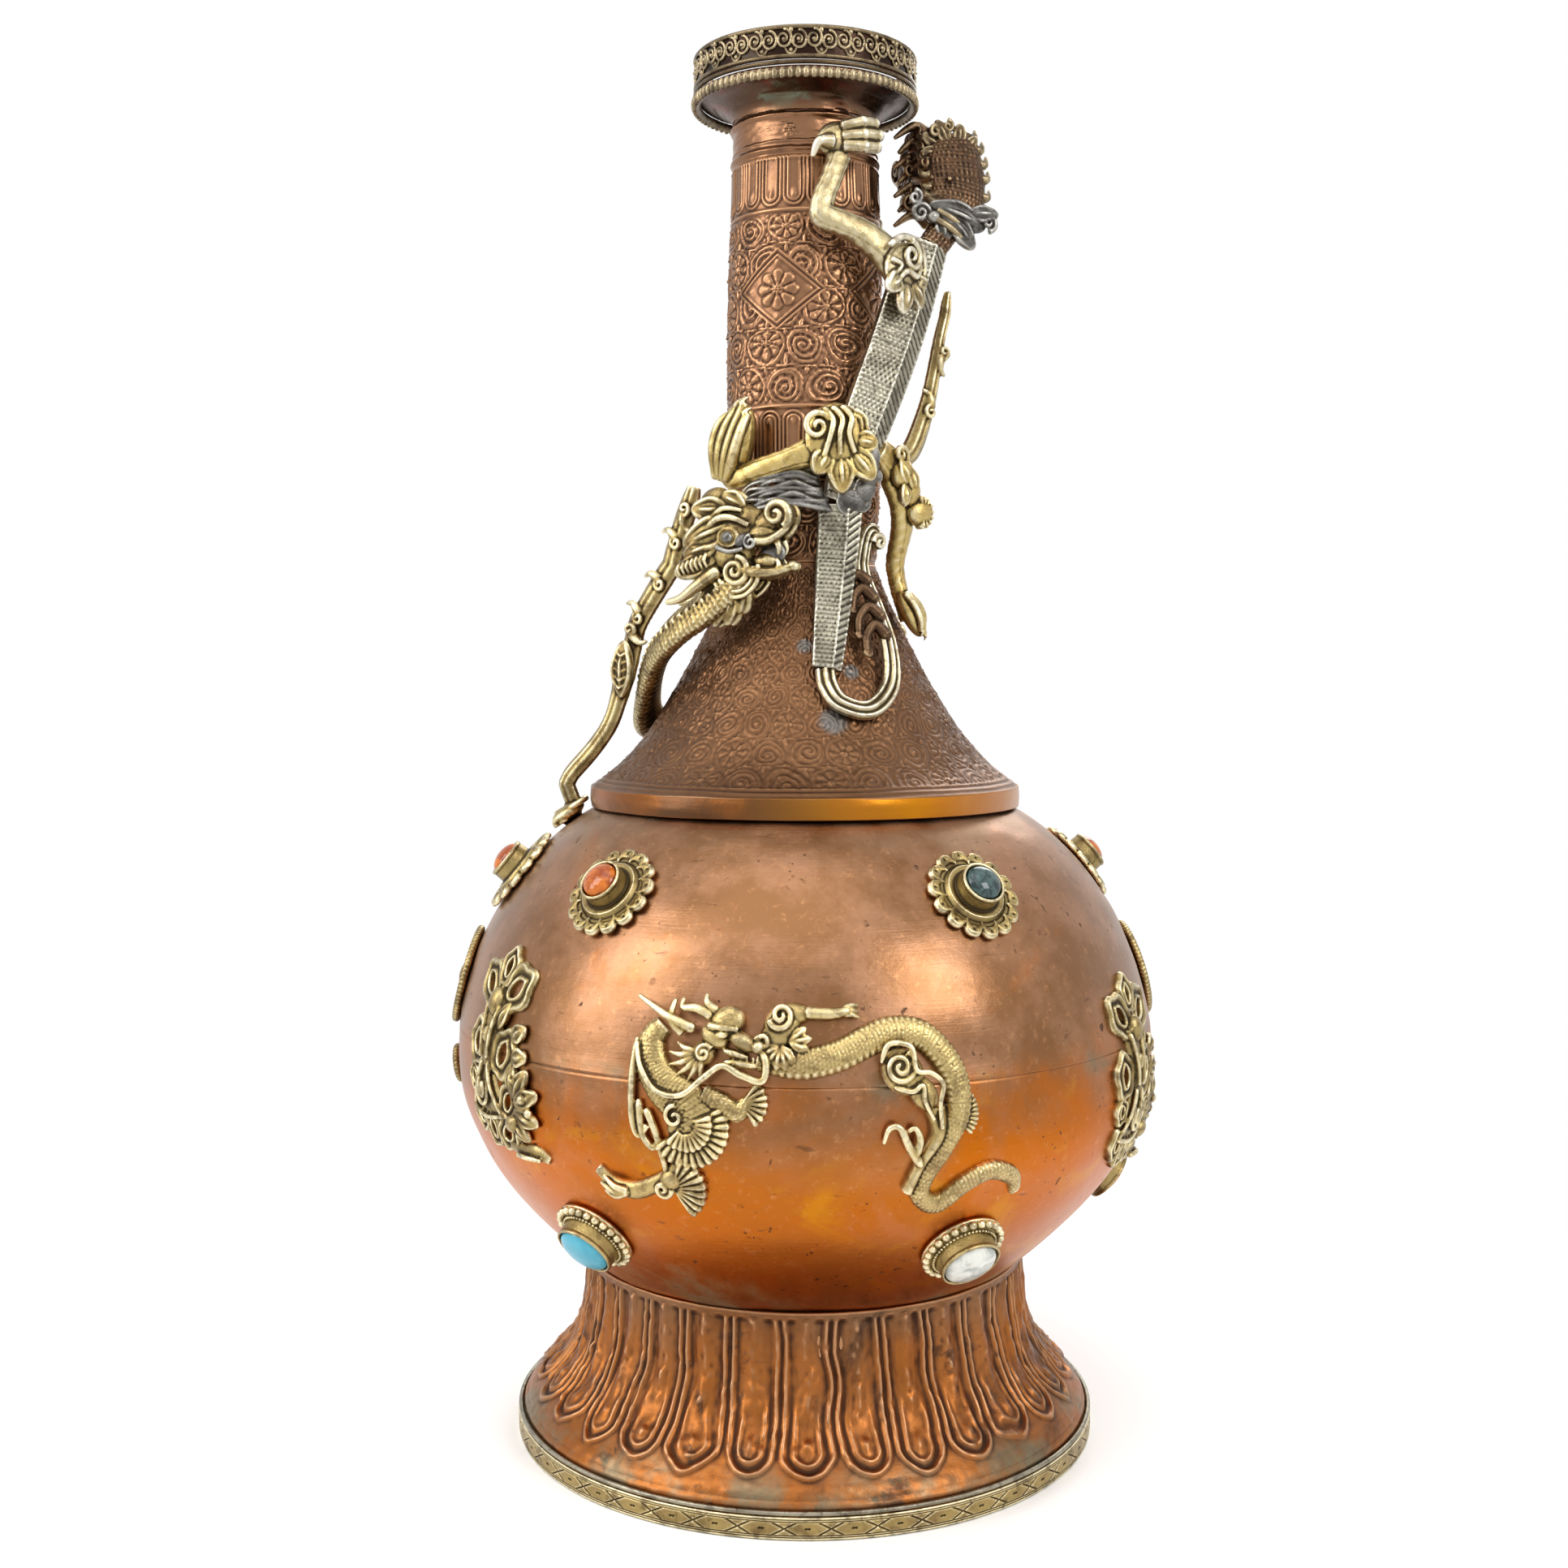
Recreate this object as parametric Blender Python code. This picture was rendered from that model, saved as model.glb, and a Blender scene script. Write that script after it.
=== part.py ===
"""Copper vase with soldered brass dragons, set stones and appliques.

Every soldered or riveted piece is one object. Metres, +Z up, the front faces -Y and
azimuths run from -Y towards +X. The origin is the centre of the underside.
"""

import itertools
import math

import bmesh
import bpy
from mathutils import Vector

for old in list(bpy.data.objects):
    bpy.data.objects.remove(old, do_unlink=True)

MM = 0.001

# Gap kept between pieces that touch
CLEARANCE = 0.0003

# Copper sheet and wire
SHEET = 0.0011
WIRE_RADIUS = 0.0006

# Foot
BASE_RADIUS = 0.0816
RIM_HEIGHT = 0.0055
RIM_THICKNESS = 0.0014
FOOT_WAIST_RADIUS = 0.0606
FLUTE_COUNT = 30
FLUTE_DEPTH = 0.0008
FLUTE_FLAT_SHARE = 0.42
FLARE_MIDDLE = 0.31
FLARE_POWER = 2.5

# Belly, a turned form drawn by two power curves that meet at its equator
BELLY_RADIUS = 0.0971
BELLY_EQUATOR = 0.1074
BELLY_RISE = 0.0780
BELLY_DROP = 0.0904
SHOULDER_CURVE = 1.80
SHOULDER_POWER = 0.35
UNDER_CURVE = 2.0
UNDER_POWER = 0.9
SEAM_RISE = 0.0080
BELLY_MOUTH_RADIUS = 0.0500

# Collar and shoulder cone
COLLAR_RADIUS = 0.0602
COLLAR_HEIGHT = 0.0053
CONE_HEIGHT = 0.0612
CONE_BROAD_SHARE = 0.81
CONE_BROAD_POWER = 1.2
CONE_LIP_POWER = 8.0
CONE_RING_SHARES = (1.0, 0.65, 0.36, 0.16, 0.05, 0.0)

# Neck, sleeve and mouth
NECK_RADIUS = 0.0200
NECK_SWELL = 0.0015
NECK_HEIGHT = 0.1082
SLEEVE_HEIGHT = 0.0110
SLEEVE_RIDGE = 0.0008
MOUTH_RADIUS = 0.0308
FLANGE_HEIGHT = 0.0085
FLANGE_SPREAD_POWER = 2.0
FLANGE_RISE_POWER = 0.8
BEAD_RING_HEIGHT = 0.0036
BEAD_RING_DROP = 0.0040
GALLERY_HEIGHT = 0.0086
GALLERY_THICKNESS = 0.0012
GALLERY_CELLS = 24
GALLERY_PANEL_SHARE = 0.7
GALLERY_RECESS = 0.0006

# Set stones on the belly
UPPER_JEWEL_AZIMUTHS = (-38, 31, 98, 155, -150, -82)
LOWER_JEWEL_AZIMUTHS = (-39.5, 27, 92, 150, -150, -108)
UPPER_JEWEL_RISE = 0.0497
LOWER_JEWEL_RISE = -0.0360
ROSETTE_RADIUS = 0.0128
ROSETTE_LOBES = 12
ROSETTE_LOBE_DEPTH = 0.0006
ROSETTE_EDGE = 0.0010
ROSETTE_RISE = 0.0022
BEZEL_BASE_RADIUS = 0.0112
BEZEL_BASE_EDGE = 0.0014
BEZEL_BASE_RISE = 0.0024
ROSETTE_CUP_RADIUS = 0.0056
BEZEL_CUP_RADIUS = 0.0078
CUP_WALL = 0.0008
CUP_HEIGHT = 0.0062
CUP_DEPTH = 0.0022
STONE_DOME = 0.0026
DOME_SHOULDER_SHARE = 0.72
DOME_TOP_SHARE = 0.25

# Appliques on the belly
RELIEF = 0.0030
BACK_AZIMUTH = 180
EMBLEM_PLACES = ((-54, 0.0), (63, -0.008), (126, 0.0), (-126, -0.008))
MEDALLION_AZIMUTHS = (-87, 94)
MEDALLION_RISE = 0.0195
MEDALLION_RADIUS = 0.0135
DISC_AZIMUTH = -89
DISC_RISE = -0.0060
DISC_RADIUS = 0.0055
MEDALLION_ROPE_SHARE = 0.7
MEDALLION_FIELD_SHARE = 0.6

# Turned pieces have this many facets round
BELLY_STEPS = 36
RIM_STEPS = 2 * FLUTE_COUNT
NECK_STEPS = 28
WIRE_SIDES = 4
SETTING_STEPS = 12

# Front dragon on the belly, as (arc, rise, width) in millimetres from the front of the equator
DRAGON_BODY = (
    (-12, 15.5, 7.0), (-2, 13.7, 7.4), (7, 15.5, 7.4), (19, 20.4, 7.4), (28, 19, 7.2), (34.5, 11, 7.0),
    (35.5, 1, 6.6), (31, -8.5, 6.0), (27.2, -16.5, 5.4), (32.5, -21.5, 5.0), (39.5, -16.5, 4.8),
    (46, -14.2, 4.6), (53, -17, 4.2), (55.5, -21, 3.0),
)
DRAGON_MEMBERS = (
    # skull and snout
    ((-28, 19, 6.0), (-20, 21.5, 9.5), (-11, 17, 6.5)),
    # horn
    ((-25, 22, 3.0), (-34, 24, 2.4), (-43, 26.8, 1.6)),
    # neck behind the head
    ((-31, 21, 4.0), (-39.5, 17, 5.5), (-38.5, 9.5, 6.0), (-29, 4.5, 7.0), (-26.5, -4, 12.0),
     (-27, -9.5, 9.0)),
    # whisker that ties the jaw to the neck
    ((-10, 14, 2.6), (-16, 10.5, 2.6), (-22, 10.5, 2.6), (-30, 5.5, 2.6)),
    # feathered claw below the jaw
    ((-11, 12, 5.0), (-15, 6, 7.5), (-20, 0, 5.0)),
    # lower foot
    ((-27, -6, 4.0), (-28, -13, 6.0), (-38, -16.5, 5.0), (-55, -19.5, 5.0)),
    # raised foreleg
    ((-8, 16, 6.5), (-6, 23, 8.0), (2, 24, 4.6), (11.5, 25, 3.0)),
    # hind thigh and leg
    ((27, 17, 8.0), (22, 11, 9.0), (28, 1, 5.0), (25.5, -9, 3.6), (24, -17, 3.6)),
    # toes of the hind leg
    ((25, -8, 3.0), (20, -3, 3.0), (18, 0.5, 3.0)),
)

# Scroll emblem, in millimetres from its own centre
EMBLEM_SPINE = ((-5.5, 32, 5.0), (-6.5, 20, 5.0), (-9, 9, 6.0), (-7, 0, 9.0), (-2, -9, 7.0),
(10, -14, 5.0))
EMBLEM_MEMBERS = (
    # upper trefoil
    ((-14, 27, 6.5), (-6, 30, 9.0), (2, 25, 6.5)),
    # paired eyes
    ((-17, 8, 7.0), (-9, 9.5, 7.0), (0, 9, 7.0)),
    # skirt and wing
    ((-13, -3, 5.0), (-5, 0, 7.0), (10, 1, 6.0)),
    # rings at the lower end
    ((-4, -5, 6.0), (3, -11, 8.0), (12, -9, 5.0)),
)

# Dragons round the neck, as (azimuth, station, standoff, width, thickness). Station 0 is the collar, 1 the
# neck's foot and 2 the sleeve's top; standoff, width and thickness are in millimetres.
CLIMBING_BODY = (
    (22, 1.15, 6.5, 10, 5.0), (37, 1.316, 6.5, 14, 5.0), (54, 1.497, 9.0, 14.5, 5.0),
    (65, 1.644, 12.0, 14, 5.0),
    (70, 1.722, 14.0, 13, 5.0),
)
CLIMBING_BODY_FACING = 25
CLIMBING_TAIL = (
    (20, 1.125, 6.6, 12, 4.0), (18, 0.99, 6.5, 11, 4.0), (12.5, 0.74, 4.9, 9.5, 3.6),
    (8.5, 0.53, 3.4, 8, 3.0),
)
CLIMBING_TAIL_FACING = 10
CLIMBING_SCROLL = (
    (8, 0.505, 2.9, 3.6, 2.6), (12, 0.385, 2.3, 3.6, 2.6), (24, 0.36, 2.3, 3.6, 2.6),
    (36, 0.47, 3.2, 3.6, 2.6),
    (40, 0.64, 5.0, 3.6, 2.6), (38, 0.80, 6.0, 3.6, 2.6), (35, 0.95, 6.0, 3.6, 2.6),
    (38, 1.05, 6.0, 3.6, 2.6),
    (47, 1.06, 6.0, 2.6, 2.2),
)
CLIMBING_HEAD = (
    (71, 1.715, 14.0, 12, 6.0), (79, 1.79, 19.0, 16, 11.0), (85, 1.86, 21.5, 18, 14.0),
    (93, 1.925, 19.5, 16, 13.0),
    (103, 1.95, 16.5, 11, 9.0), (114, 1.94, 12.5, 7, 6.0),
)
CLIMBING_LEGS = {
    "climbing_foreleg_near": (
        (50, 1.66, 10.0, 11, 7.0), (31, 1.722, 7.5, 7, 6.0), (9, 1.757, 6.6, 5.5, 5.0),
        (15, 1.84, 5.5, 5, 5.0),
        (24, 1.915, 4.2, 9, 4.5),
    ),
    "climbing_foreleg_far": (
        (75, 1.65, 13.0, 8, 7.0), (103, 1.71, 9.5, 6, 5.0), (128, 1.79, 6.0, 5, 5.0),
        (142, 1.84, 3.2, 8, 4.5),
    ),
    "climbing_hindleg_near": (
        (20, 1.25, 8.0, 12, 8.0), (-3, 1.23, 8.0, 7, 6.0), (-25, 1.20, 8.5, 5.5, 5.5),
        (-43, 1.19, 8.0, 5, 5.0),
        (-43, 1.27, 6.0, 5.5, 4.5), (-39, 1.355, 3.0, 8, 4.5),
    ),
    "climbing_hindleg_far": (
        (43, 1.25, 7.0, 7, 6.0), (62, 1.20, 6.5, 11, 7.0), (70, 1.11, 8.0, 9, 6.5),
        (73, 1.0, 6.0, 5, 5.0),
        (73.5, 0.86, 4.6, 4.5, 4.5), (74.5, 0.73, 3.1, 8, 4.5),
    ),
}
CLIMBING_STREAMER = (
    (86, 1.60, 18.0, 5, 3.0), (84, 1.516, 16.0, 5, 3.0), (82, 1.39, 13.5, 4, 3.0),
    (78, 1.295, 10.5, 4, 3.0),
    (68, 1.235, 7.0, 5, 4.0),
)
COILING_BODY = (
    (-42, 0.80, 11.0, 9, 6.0), (-60, 0.71, 12.0, 10, 6.0), (-77, 0.585, 10.5, 10.5, 6.0),
    (-92, 0.42, 7.2, 10.5, 6.0),
    (-108, 0.29, 4.8, 10.5, 6.0), (-135, 0.24, 4.6, 10, 6.0), (-165, 0.30, 4.4, 9, 6.0),
    (-195, 0.42, 4.1, 8, 6.0),
    (-222, 0.55, 3.6, 6, 5.0), (-240, 0.68, 2.8, 3.5, 3.5),
)
COILING_HEAD = (
    (-43, 0.795, 11.5, 12, 9.0), (-33, 0.98, 15.0, 16, 11.0), (-22, 1.07, 14.5, 16, 10.0),
    (-9, 1.10, 12.5, 11, 8.0), (-4, 1.095, 11.5, 6, 6.0),
)
COILING_HEAD_MEMBERS = (
    # lower jaw
    ((-27, 1.01, 14.0, 7, 5.0), (-14, 0.99, 12.5, 5, 4.0), (-5, 1.005, 10.0, 3.5, 3.0)),
    # horn and ear
    ((-30, 1.02, 16.0, 5, 5.0), (-43, 0.985, 19.0, 4, 4.0), (-54, 0.965, 21.0, 2.4, 2.4)),
    # beard
    ((-30, 0.97, 15.0, 8, 5.0), (-32, 0.88, 15.0, 11, 4.0), (-35, 0.79, 14.5, 6, 3.0)),
    # hair behind the cheek and over the brow
    ((-27, 1.07, 15.0, 9, 6.0), (-42, 1.06, 15.5, 12, 5.0), (-53, 1.01, 16.0, 6, 4.0)),
    ((-12, 1.12, 14.5, 7, 5.0), (-28, 1.14, 15.0, 7, 5.0), (-41, 1.14, 14.5, 6, 4.0)),
)
COILING_STREAMER = (
    (-79, 1.18, 10.5, 5, 3.0), (-82, 1.07, 15.0, 5, 3.0), (-84, 0.955, 18.5, 6, 3.0),
    (-87.6, 0.755, 20.5, 5, 3.0),
    (-90, 0.51, 17.0, 7, 3.0), (-90, 0.27, 12.5, 4.5, 3.0), (-90, 0.08, 11.0, 4.5, 3.0),
    (-90, -0.035, 4.0, 6, 3.6),
    (-90, -0.075, 2.6, 8, 3.6),
)
COILING_LEG = (
    (-150, 0.44, 9.0, 8, 6.0), (-163, 0.60, 9.0, 6, 5.0), (-172, 0.80, 6.5, 5, 5.0),
    (-180, 0.93, 3.4, 8, 4.5),
)


def material(name, colour, roughness, metallic):
    made = bpy.data.materials.new(name)
    made.use_nodes = True
    shader = made.node_tree.nodes["Principled BSDF"]
    shader.inputs["Base Color"].default_value = (*colour, 1.0)
    shader.inputs["Roughness"].default_value = roughness
    shader.inputs["Metallic"].default_value = metallic
    return made


FINISHES = {
    "copper": ((0.50, 0.20, 0.10), 0.34, 1.0),
    "copper_dark": ((0.34, 0.14, 0.08), 0.42, 1.0),
    "brass": ((0.58, 0.46, 0.22), 0.34, 1.0),
    "silvered": ((0.62, 0.58, 0.46), 0.36, 1.0),
    "carnelian": ((0.62, 0.13, 0.02), 0.12, 0.0),
    "moss_agate": ((0.10, 0.16, 0.14), 0.10, 0.0),
    "turquoise": ((0.05, 0.42, 0.58), 0.25, 0.0),
    "moonstone": ((0.66, 0.66, 0.60), 0.15, 0.0),
}


def add_mesh(name, mesh, finish):
    """A new object for a mesh, in its own material."""
    piece = bpy.data.objects.new(name, mesh)
    bpy.context.scene.collection.objects.link(piece)
    mesh.materials.append(material(name, *FINISHES[finish]))
    return piece


def smooth(mesh, angle=40):
    mesh.shade_smooth()
    mesh.set_sharp_from_angle(angle=math.radians(angle))


def add_rings(bm, rings, closed):
    """Bridges rings of points. A closed run joins the last ring to the first, an open one is capped."""
    loops = [[bm.verts.new(point) for point in ring] for ring in rings]
    count = len(loops[0])
    pairs = list(zip(loops, loops[1:]))
    if closed:
        pairs.append((loops[-1], loops[0]))
    for low, high in pairs:
        for i in range(count):
            j = (i + 1) % count
            bm.faces.new((low[i], low[j], high[j], high[i]))
    if not closed:
        bm.faces.new(loops[0])
        bm.faces.new(loops[-1])


def ring_piece(name, runs, finish, closed=False):
    """One object from one or more runs of rings."""
    bm = bmesh.new()
    for rings in runs:
        add_rings(bm, rings, closed)
    bmesh.ops.recalc_face_normals(bm, faces=bm.faces)
    mesh = bpy.data.meshes.new(name)
    bm.to_mesh(mesh)
    bm.free()
    smooth(mesh)
    return add_mesh(name, mesh, finish)


def turned(name, outline, finish, steps, closed=True):
    """A turned piece from an outline of (radius, height) that runs down its outer side."""
    mesh = bpy.data.meshes.new(name)
    points = [(radius, 0.0, height) for radius, height in outline]
    edges = [(i, i + 1) for i in range(len(points) - 1)]
    if closed:
        edges.append((len(points) - 1, 0))
    mesh.from_pydata(points, edges, [])
    piece = add_mesh(name, mesh, finish)
    screw = piece.modifiers.new("Turn", "SCREW")
    screw.angle = 2 * math.pi
    screw.steps = steps
    screw.render_steps = steps
    screw.use_merge_vertices = True
    screw.merge_threshold = 0.00001
    return piece


def round_section(radius, height, size, sides=WIRE_SIDES):
    """A small round outline, run down its outer side."""
    turn = 2 * math.pi / sides
    return [(radius + size * math.cos(-i * turn), height + size * math.sin(-i * turn)) for i in range(sides)]


def spaced(start, end, count):
    return [start + (end - start) * i / (count - 1) for i in range(count)]


# Outer form of the vessel

def belly_radius(height):
    if height >= BELLY_EQUATOR:
        part = min((height - BELLY_EQUATOR) / BELLY_RISE, 1.0)
        return BELLY_RADIUS * (1 - part**SHOULDER_CURVE) ** SHOULDER_POWER
    part = min((BELLY_EQUATOR - height) / BELLY_DROP, 1.0)
    return BELLY_RADIUS * (1 - part**UNDER_CURVE) ** UNDER_POWER


def shoulder_height(radius):
    part = (1 - (radius / BELLY_RADIUS) ** (1 / SHOULDER_POWER)) ** (1 / SHOULDER_CURVE)
    return BELLY_EQUATOR + BELLY_RISE * part


def under_height(radius):
    part = (1 - (radius / BELLY_RADIUS) ** (1 / UNDER_POWER)) ** (1 / UNDER_CURVE)
    return BELLY_EQUATOR - BELLY_DROP * part


def flare_share(part):
    """Share of the foot's flare that is left at a part of its height."""
    return 1 / (1 + (part / FLARE_MIDDLE) ** FLARE_POWER)


SEAT = 2 * CLEARANCE
SEAM = BELLY_EQUATOR + SEAM_RISE
LIP_RADIUS = BASE_RADIUS - RIM_THICKNESS - CLEARANCE
FOOT_TOP_RADIUS = FOOT_WAIST_RADIUS + (LIP_RADIUS - FOOT_WAIST_RADIUS) * flare_share(1.0)
FOOT_TOP = under_height(FOOT_TOP_RADIUS - SHEET) - SEAT
FOOT_BOTTOM = SHEET + CLEARANCE
COLLAR_BOTTOM = shoulder_height(COLLAR_RADIUS - SHEET) + SEAT
COLLAR_TOP = COLLAR_BOTTOM + COLLAR_HEIGHT
CONE_BOTTOM = COLLAR_TOP + CLEARANCE
NECK_BOTTOM = CONE_BOTTOM + CONE_HEIGHT
NECK_TOP = NECK_BOTTOM + NECK_HEIGHT
SLEEVE_BOTTOM = NECK_TOP + CLEARANCE
SLEEVE_TOP = SLEEVE_BOTTOM + SLEEVE_HEIGHT
FLANGE_BOTTOM = SLEEVE_TOP + CLEARANCE
FLANGE_TOP = FLANGE_BOTTOM + FLANGE_HEIGHT
BEAD_RING_BOTTOM = FLANGE_TOP - BEAD_RING_DROP
MOUTH_WIRE_BOTTOM = BEAD_RING_BOTTOM + BEAD_RING_HEIGHT + CLEARANCE
GALLERY_BOTTOM = MOUTH_WIRE_BOTTOM + 2 * WIRE_RADIUS + CLEARANCE
GALLERY_INNER = MOUTH_RADIUS - GALLERY_THICKNESS


def foot_radius(height):
    part = max(height - RIM_HEIGHT, 0.0) / (FOOT_TOP - RIM_HEIGHT)
    return FOOT_WAIST_RADIUS + (LIP_RADIUS - FOOT_WAIST_RADIUS) * flare_share(part)


def cone_radius(height):
    rest = 1 - (height - CONE_BOTTOM) / CONE_HEIGHT
    rest = min(max(rest, 0.0), 1.0)
    share = CONE_BROAD_SHARE * rest**CONE_BROAD_POWER + (1 - CONE_BROAD_SHARE) * rest**CONE_LIP_POWER
    return NECK_RADIUS + (COLLAR_RADIUS - NECK_RADIUS) * share


def neck_radius(height):
    part = min(max((height - NECK_BOTTOM) / NECK_HEIGHT, 0.0), 1.0)
    return NECK_RADIUS + NECK_SWELL * math.sin(math.pi * part)


def shell(heights, radius_at, wall):
    """Outline of a sheet that follows radius_at, from its highest outer point down and back up inside."""
    outer = [(radius_at(height), height) for height in heights]
    inner = []
    for i, (radius, height) in enumerate(outer):
        before = outer[max(i - 1, 0)]
        after = outer[min(i + 1, len(outer) - 1)]
        along = Vector((after[0] - before[0], after[1] - before[1])).normalized()
        inner.append((radius + along.y * wall, height - along.x * wall))
    inner[0] = (inner[0][0], outer[0][1])
    inner[-1] = (inner[-1][0], outer[-1][1])
    return outer + inner[::-1]


# Vessel pieces

def make_base_plate():
    plate = LIP_RADIUS
    outline = [(0, SHEET), (plate, SHEET), (plate, 0), (0, 0)]
    turned("base_plate", outline, "copper_dark", BELLY_STEPS, closed=False)


def make_foot_skirt():
    heights = spaced(FOOT_TOP, RIM_HEIGHT, 5) + [FOOT_BOTTOM]
    outline = shell(heights, foot_radius, SHEET)
    outer_count = len(heights)
    rings = []
    across = ((-FLUTE_FLAT_SHARE, 0.0), (0.0, 0.0), (FLUTE_FLAT_SHARE, 0.0), (0.5, FLUTE_DEPTH))
    for flute, (share, groove) in itertools.product(range(FLUTE_COUNT), across):
        turn = 2 * math.pi * (flute + share) / FLUTE_COUNT
        ring = []
        for j, (radius, height) in enumerate(outline):
            fluted = j < outer_count - 2 or j > outer_count + 1
            radius -= groove if fluted else 0.0
            ring.append((radius * math.sin(turn), -radius * math.cos(turn), height))
        rings.append(ring)
    ring_piece("foot_skirt", [rings], "copper", closed=True)


def make_foot_rim():
    inner = BASE_RADIUS - RIM_THICKNESS
    outline = [(BASE_RADIUS, RIM_HEIGHT), (BASE_RADIUS, 0), (inner, 0), (inner, RIM_HEIGHT)]
    turned("foot_rim_band", outline, "brass", RIM_STEPS)
    height = RIM_HEIGHT + CLEARANCE + WIRE_RADIUS
    wire = round_section(LIP_RADIUS + CLEARANCE + WIRE_RADIUS, height, WIRE_RADIUS)
    turned("foot_rim_wire", wire, "silvered", RIM_STEPS)


def make_belly():
    pole = BELLY_EQUATOR - BELLY_DROP
    falls = spaced(0.0, 0.5 * math.pi, 8)
    heights = [pole + (SEAM - pole) * (1 - math.sin(fall)) for fall in falls]
    lower = shell(heights[:-1], belly_radius, SHEET)
    half = len(lower) // 2
    bowl = [(0, pole + SHEET)] + lower[half:] + lower[:half] + [(0, pole)]
    turned("belly_lower", bowl, "copper", BELLY_STEPS, closed=False)
    opening = shoulder_height(BELLY_MOUTH_RADIUS)
    rises = spaced(0.5 * math.pi, 0.0, 7)
    bottom = SEAM + CLEARANCE
    heights = [bottom + (opening - bottom) * math.sin(rise) for rise in rises]
    turned("belly_upper", shell(heights, belly_radius, SHEET), "copper", BELLY_STEPS)


def make_collar_and_cone():
    inner = COLLAR_RADIUS - SHEET
    outline = [
        (COLLAR_RADIUS, COLLAR_TOP),
        (COLLAR_RADIUS, COLLAR_BOTTOM),
        (inner, COLLAR_BOTTOM),
        (inner, COLLAR_TOP),
    ]
    turned("collar_band", outline, "copper", BELLY_STEPS)
    heights = [CONE_BOTTOM + CONE_HEIGHT * share for share in CONE_RING_SHARES]
    outline = shell(heights, cone_radius, SHEET)
    turned("shoulder_cone", outline, "copper_dark", BELLY_STEPS)


def make_neck():
    heights = spaced(NECK_TOP, NECK_BOTTOM + CLEARANCE, 5)
    turned("neck_tube", shell(heights, neck_radius, SHEET), "copper_dark", NECK_STEPS)
    ridge = NECK_RADIUS + SLEEVE_RIDGE
    third = SLEEVE_HEIGHT / 3
    outer = [
        (NECK_RADIUS, SLEEVE_TOP),
        (ridge, SLEEVE_TOP - third / 2),
        (NECK_RADIUS, SLEEVE_TOP - third),
        (NECK_RADIUS, SLEEVE_BOTTOM + third),
        (ridge, SLEEVE_BOTTOM + third / 2),
        (NECK_RADIUS, SLEEVE_BOTTOM),
    ]
    inner = NECK_RADIUS - SHEET
    outline = outer + [(inner, SLEEVE_BOTTOM), (inner, SLEEVE_TOP)]
    turned("neck_sleeve", outline, "copper_dark", NECK_STEPS)


def make_mouth():
    rim = GALLERY_INNER - CLEARANCE
    spread = rim - NECK_RADIUS
    rise = FLANGE_HEIGHT - SHEET
    outer = []
    for part in spaced(1.0, 0.0, 4):
        radius = NECK_RADIUS + spread * part**FLANGE_SPREAD_POWER
        outer.append((radius, FLANGE_BOTTOM + rise * part**FLANGE_RISE_POWER))
    inner = [(radius - (0.0 if radius == rim else SHEET), height + SHEET) for radius, height in outer]
    inner[-1] = (NECK_RADIUS - SHEET, FLANGE_BOTTOM)
    turned("mouth_flange", outer + inner[::-1], "copper_dark", BELLY_STEPS)
    half = BEAD_RING_HEIGHT / 2
    middle = MOUTH_RADIUS - GALLERY_THICKNESS / 2
    section = round_section(middle + CLEARANCE, BEAD_RING_BOTTOM + half, half, 6)
    inside = GALLERY_INNER
    turned("mouth_bead_ring", [(max(r, inside), h) for r, h in section], "brass", BELLY_STEPS)
    wire = round_section(MOUTH_RADIUS - WIRE_RADIUS, MOUTH_WIRE_BOTTOM + WIRE_RADIUS, WIRE_RADIUS)
    turned("mouth_wire", wire, "brass", BELLY_STEPS)
    make_gallery()


def gallery_point(turn, share, radius):
    height = GALLERY_BOTTOM + GALLERY_HEIGHT * share
    angle = 2 * math.pi * turn / GALLERY_CELLS
    return (radius * math.sin(angle), -radius * math.cos(angle), height)


def make_gallery():
    """A chased band: each cell is a frame round a sunk panel."""
    low = (1 - GALLERY_PANEL_SHARE) / 2
    high = 1 - low
    edges = ((0, 0), (1, 0), (1, 1), (0, 1))
    insets = ((low, low), (high, low), (high, high), (low, high))
    floor = MOUTH_RADIUS - GALLERY_RECESS
    bm = bmesh.new()
    for cell in range(GALLERY_CELLS):
        rings = []
        loops = ((edges, GALLERY_INNER), (edges, MOUTH_RADIUS), (insets, MOUTH_RADIUS), (insets, floor))
        for corners, radius in loops:
            rings.append([bm.verts.new(gallery_point(cell + u, v, radius)) for u, v in corners])
        back, frame, opening, panel = rings
        bm.faces.new(back)
        bm.faces.new(panel)
        for i in range(4):
            j = (i + 1) % 4
            bm.faces.new((frame[i], frame[j], opening[j], opening[i]))
            bm.faces.new((opening[i], opening[j], panel[j], panel[i]))
        for i, j in ((0, 1), (2, 3)):
            bm.faces.new((back[i], back[j], frame[j], frame[i]))
    bmesh.ops.remove_doubles(bm, verts=bm.verts, dist=0.00001)
    bmesh.ops.recalc_face_normals(bm, faces=bm.faces)
    mesh = bpy.data.meshes.new("mouth_gallery")
    bm.to_mesh(mesh)
    bm.free()
    add_mesh("mouth_gallery", mesh, "brass")


# Places on the outside of the vessel

def surface_frame(azimuth, height, radius_at):
    """Surface point, outward normal, sideways and upward directions on a turned form."""
    turn = math.radians(azimuth)
    step = 0.0002
    slope = (radius_at(height + step) - radius_at(height - step)) / (2 * step)
    out = Vector((math.sin(turn), -math.cos(turn), 0.0))
    normal = (out - Vector((0, 0, slope))).normalized()
    point = out * radius_at(height) + Vector((0, 0, height))
    side = Vector((math.cos(turn), math.sin(turn), 0.0))
    return point, normal, side, normal.cross(side)


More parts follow.
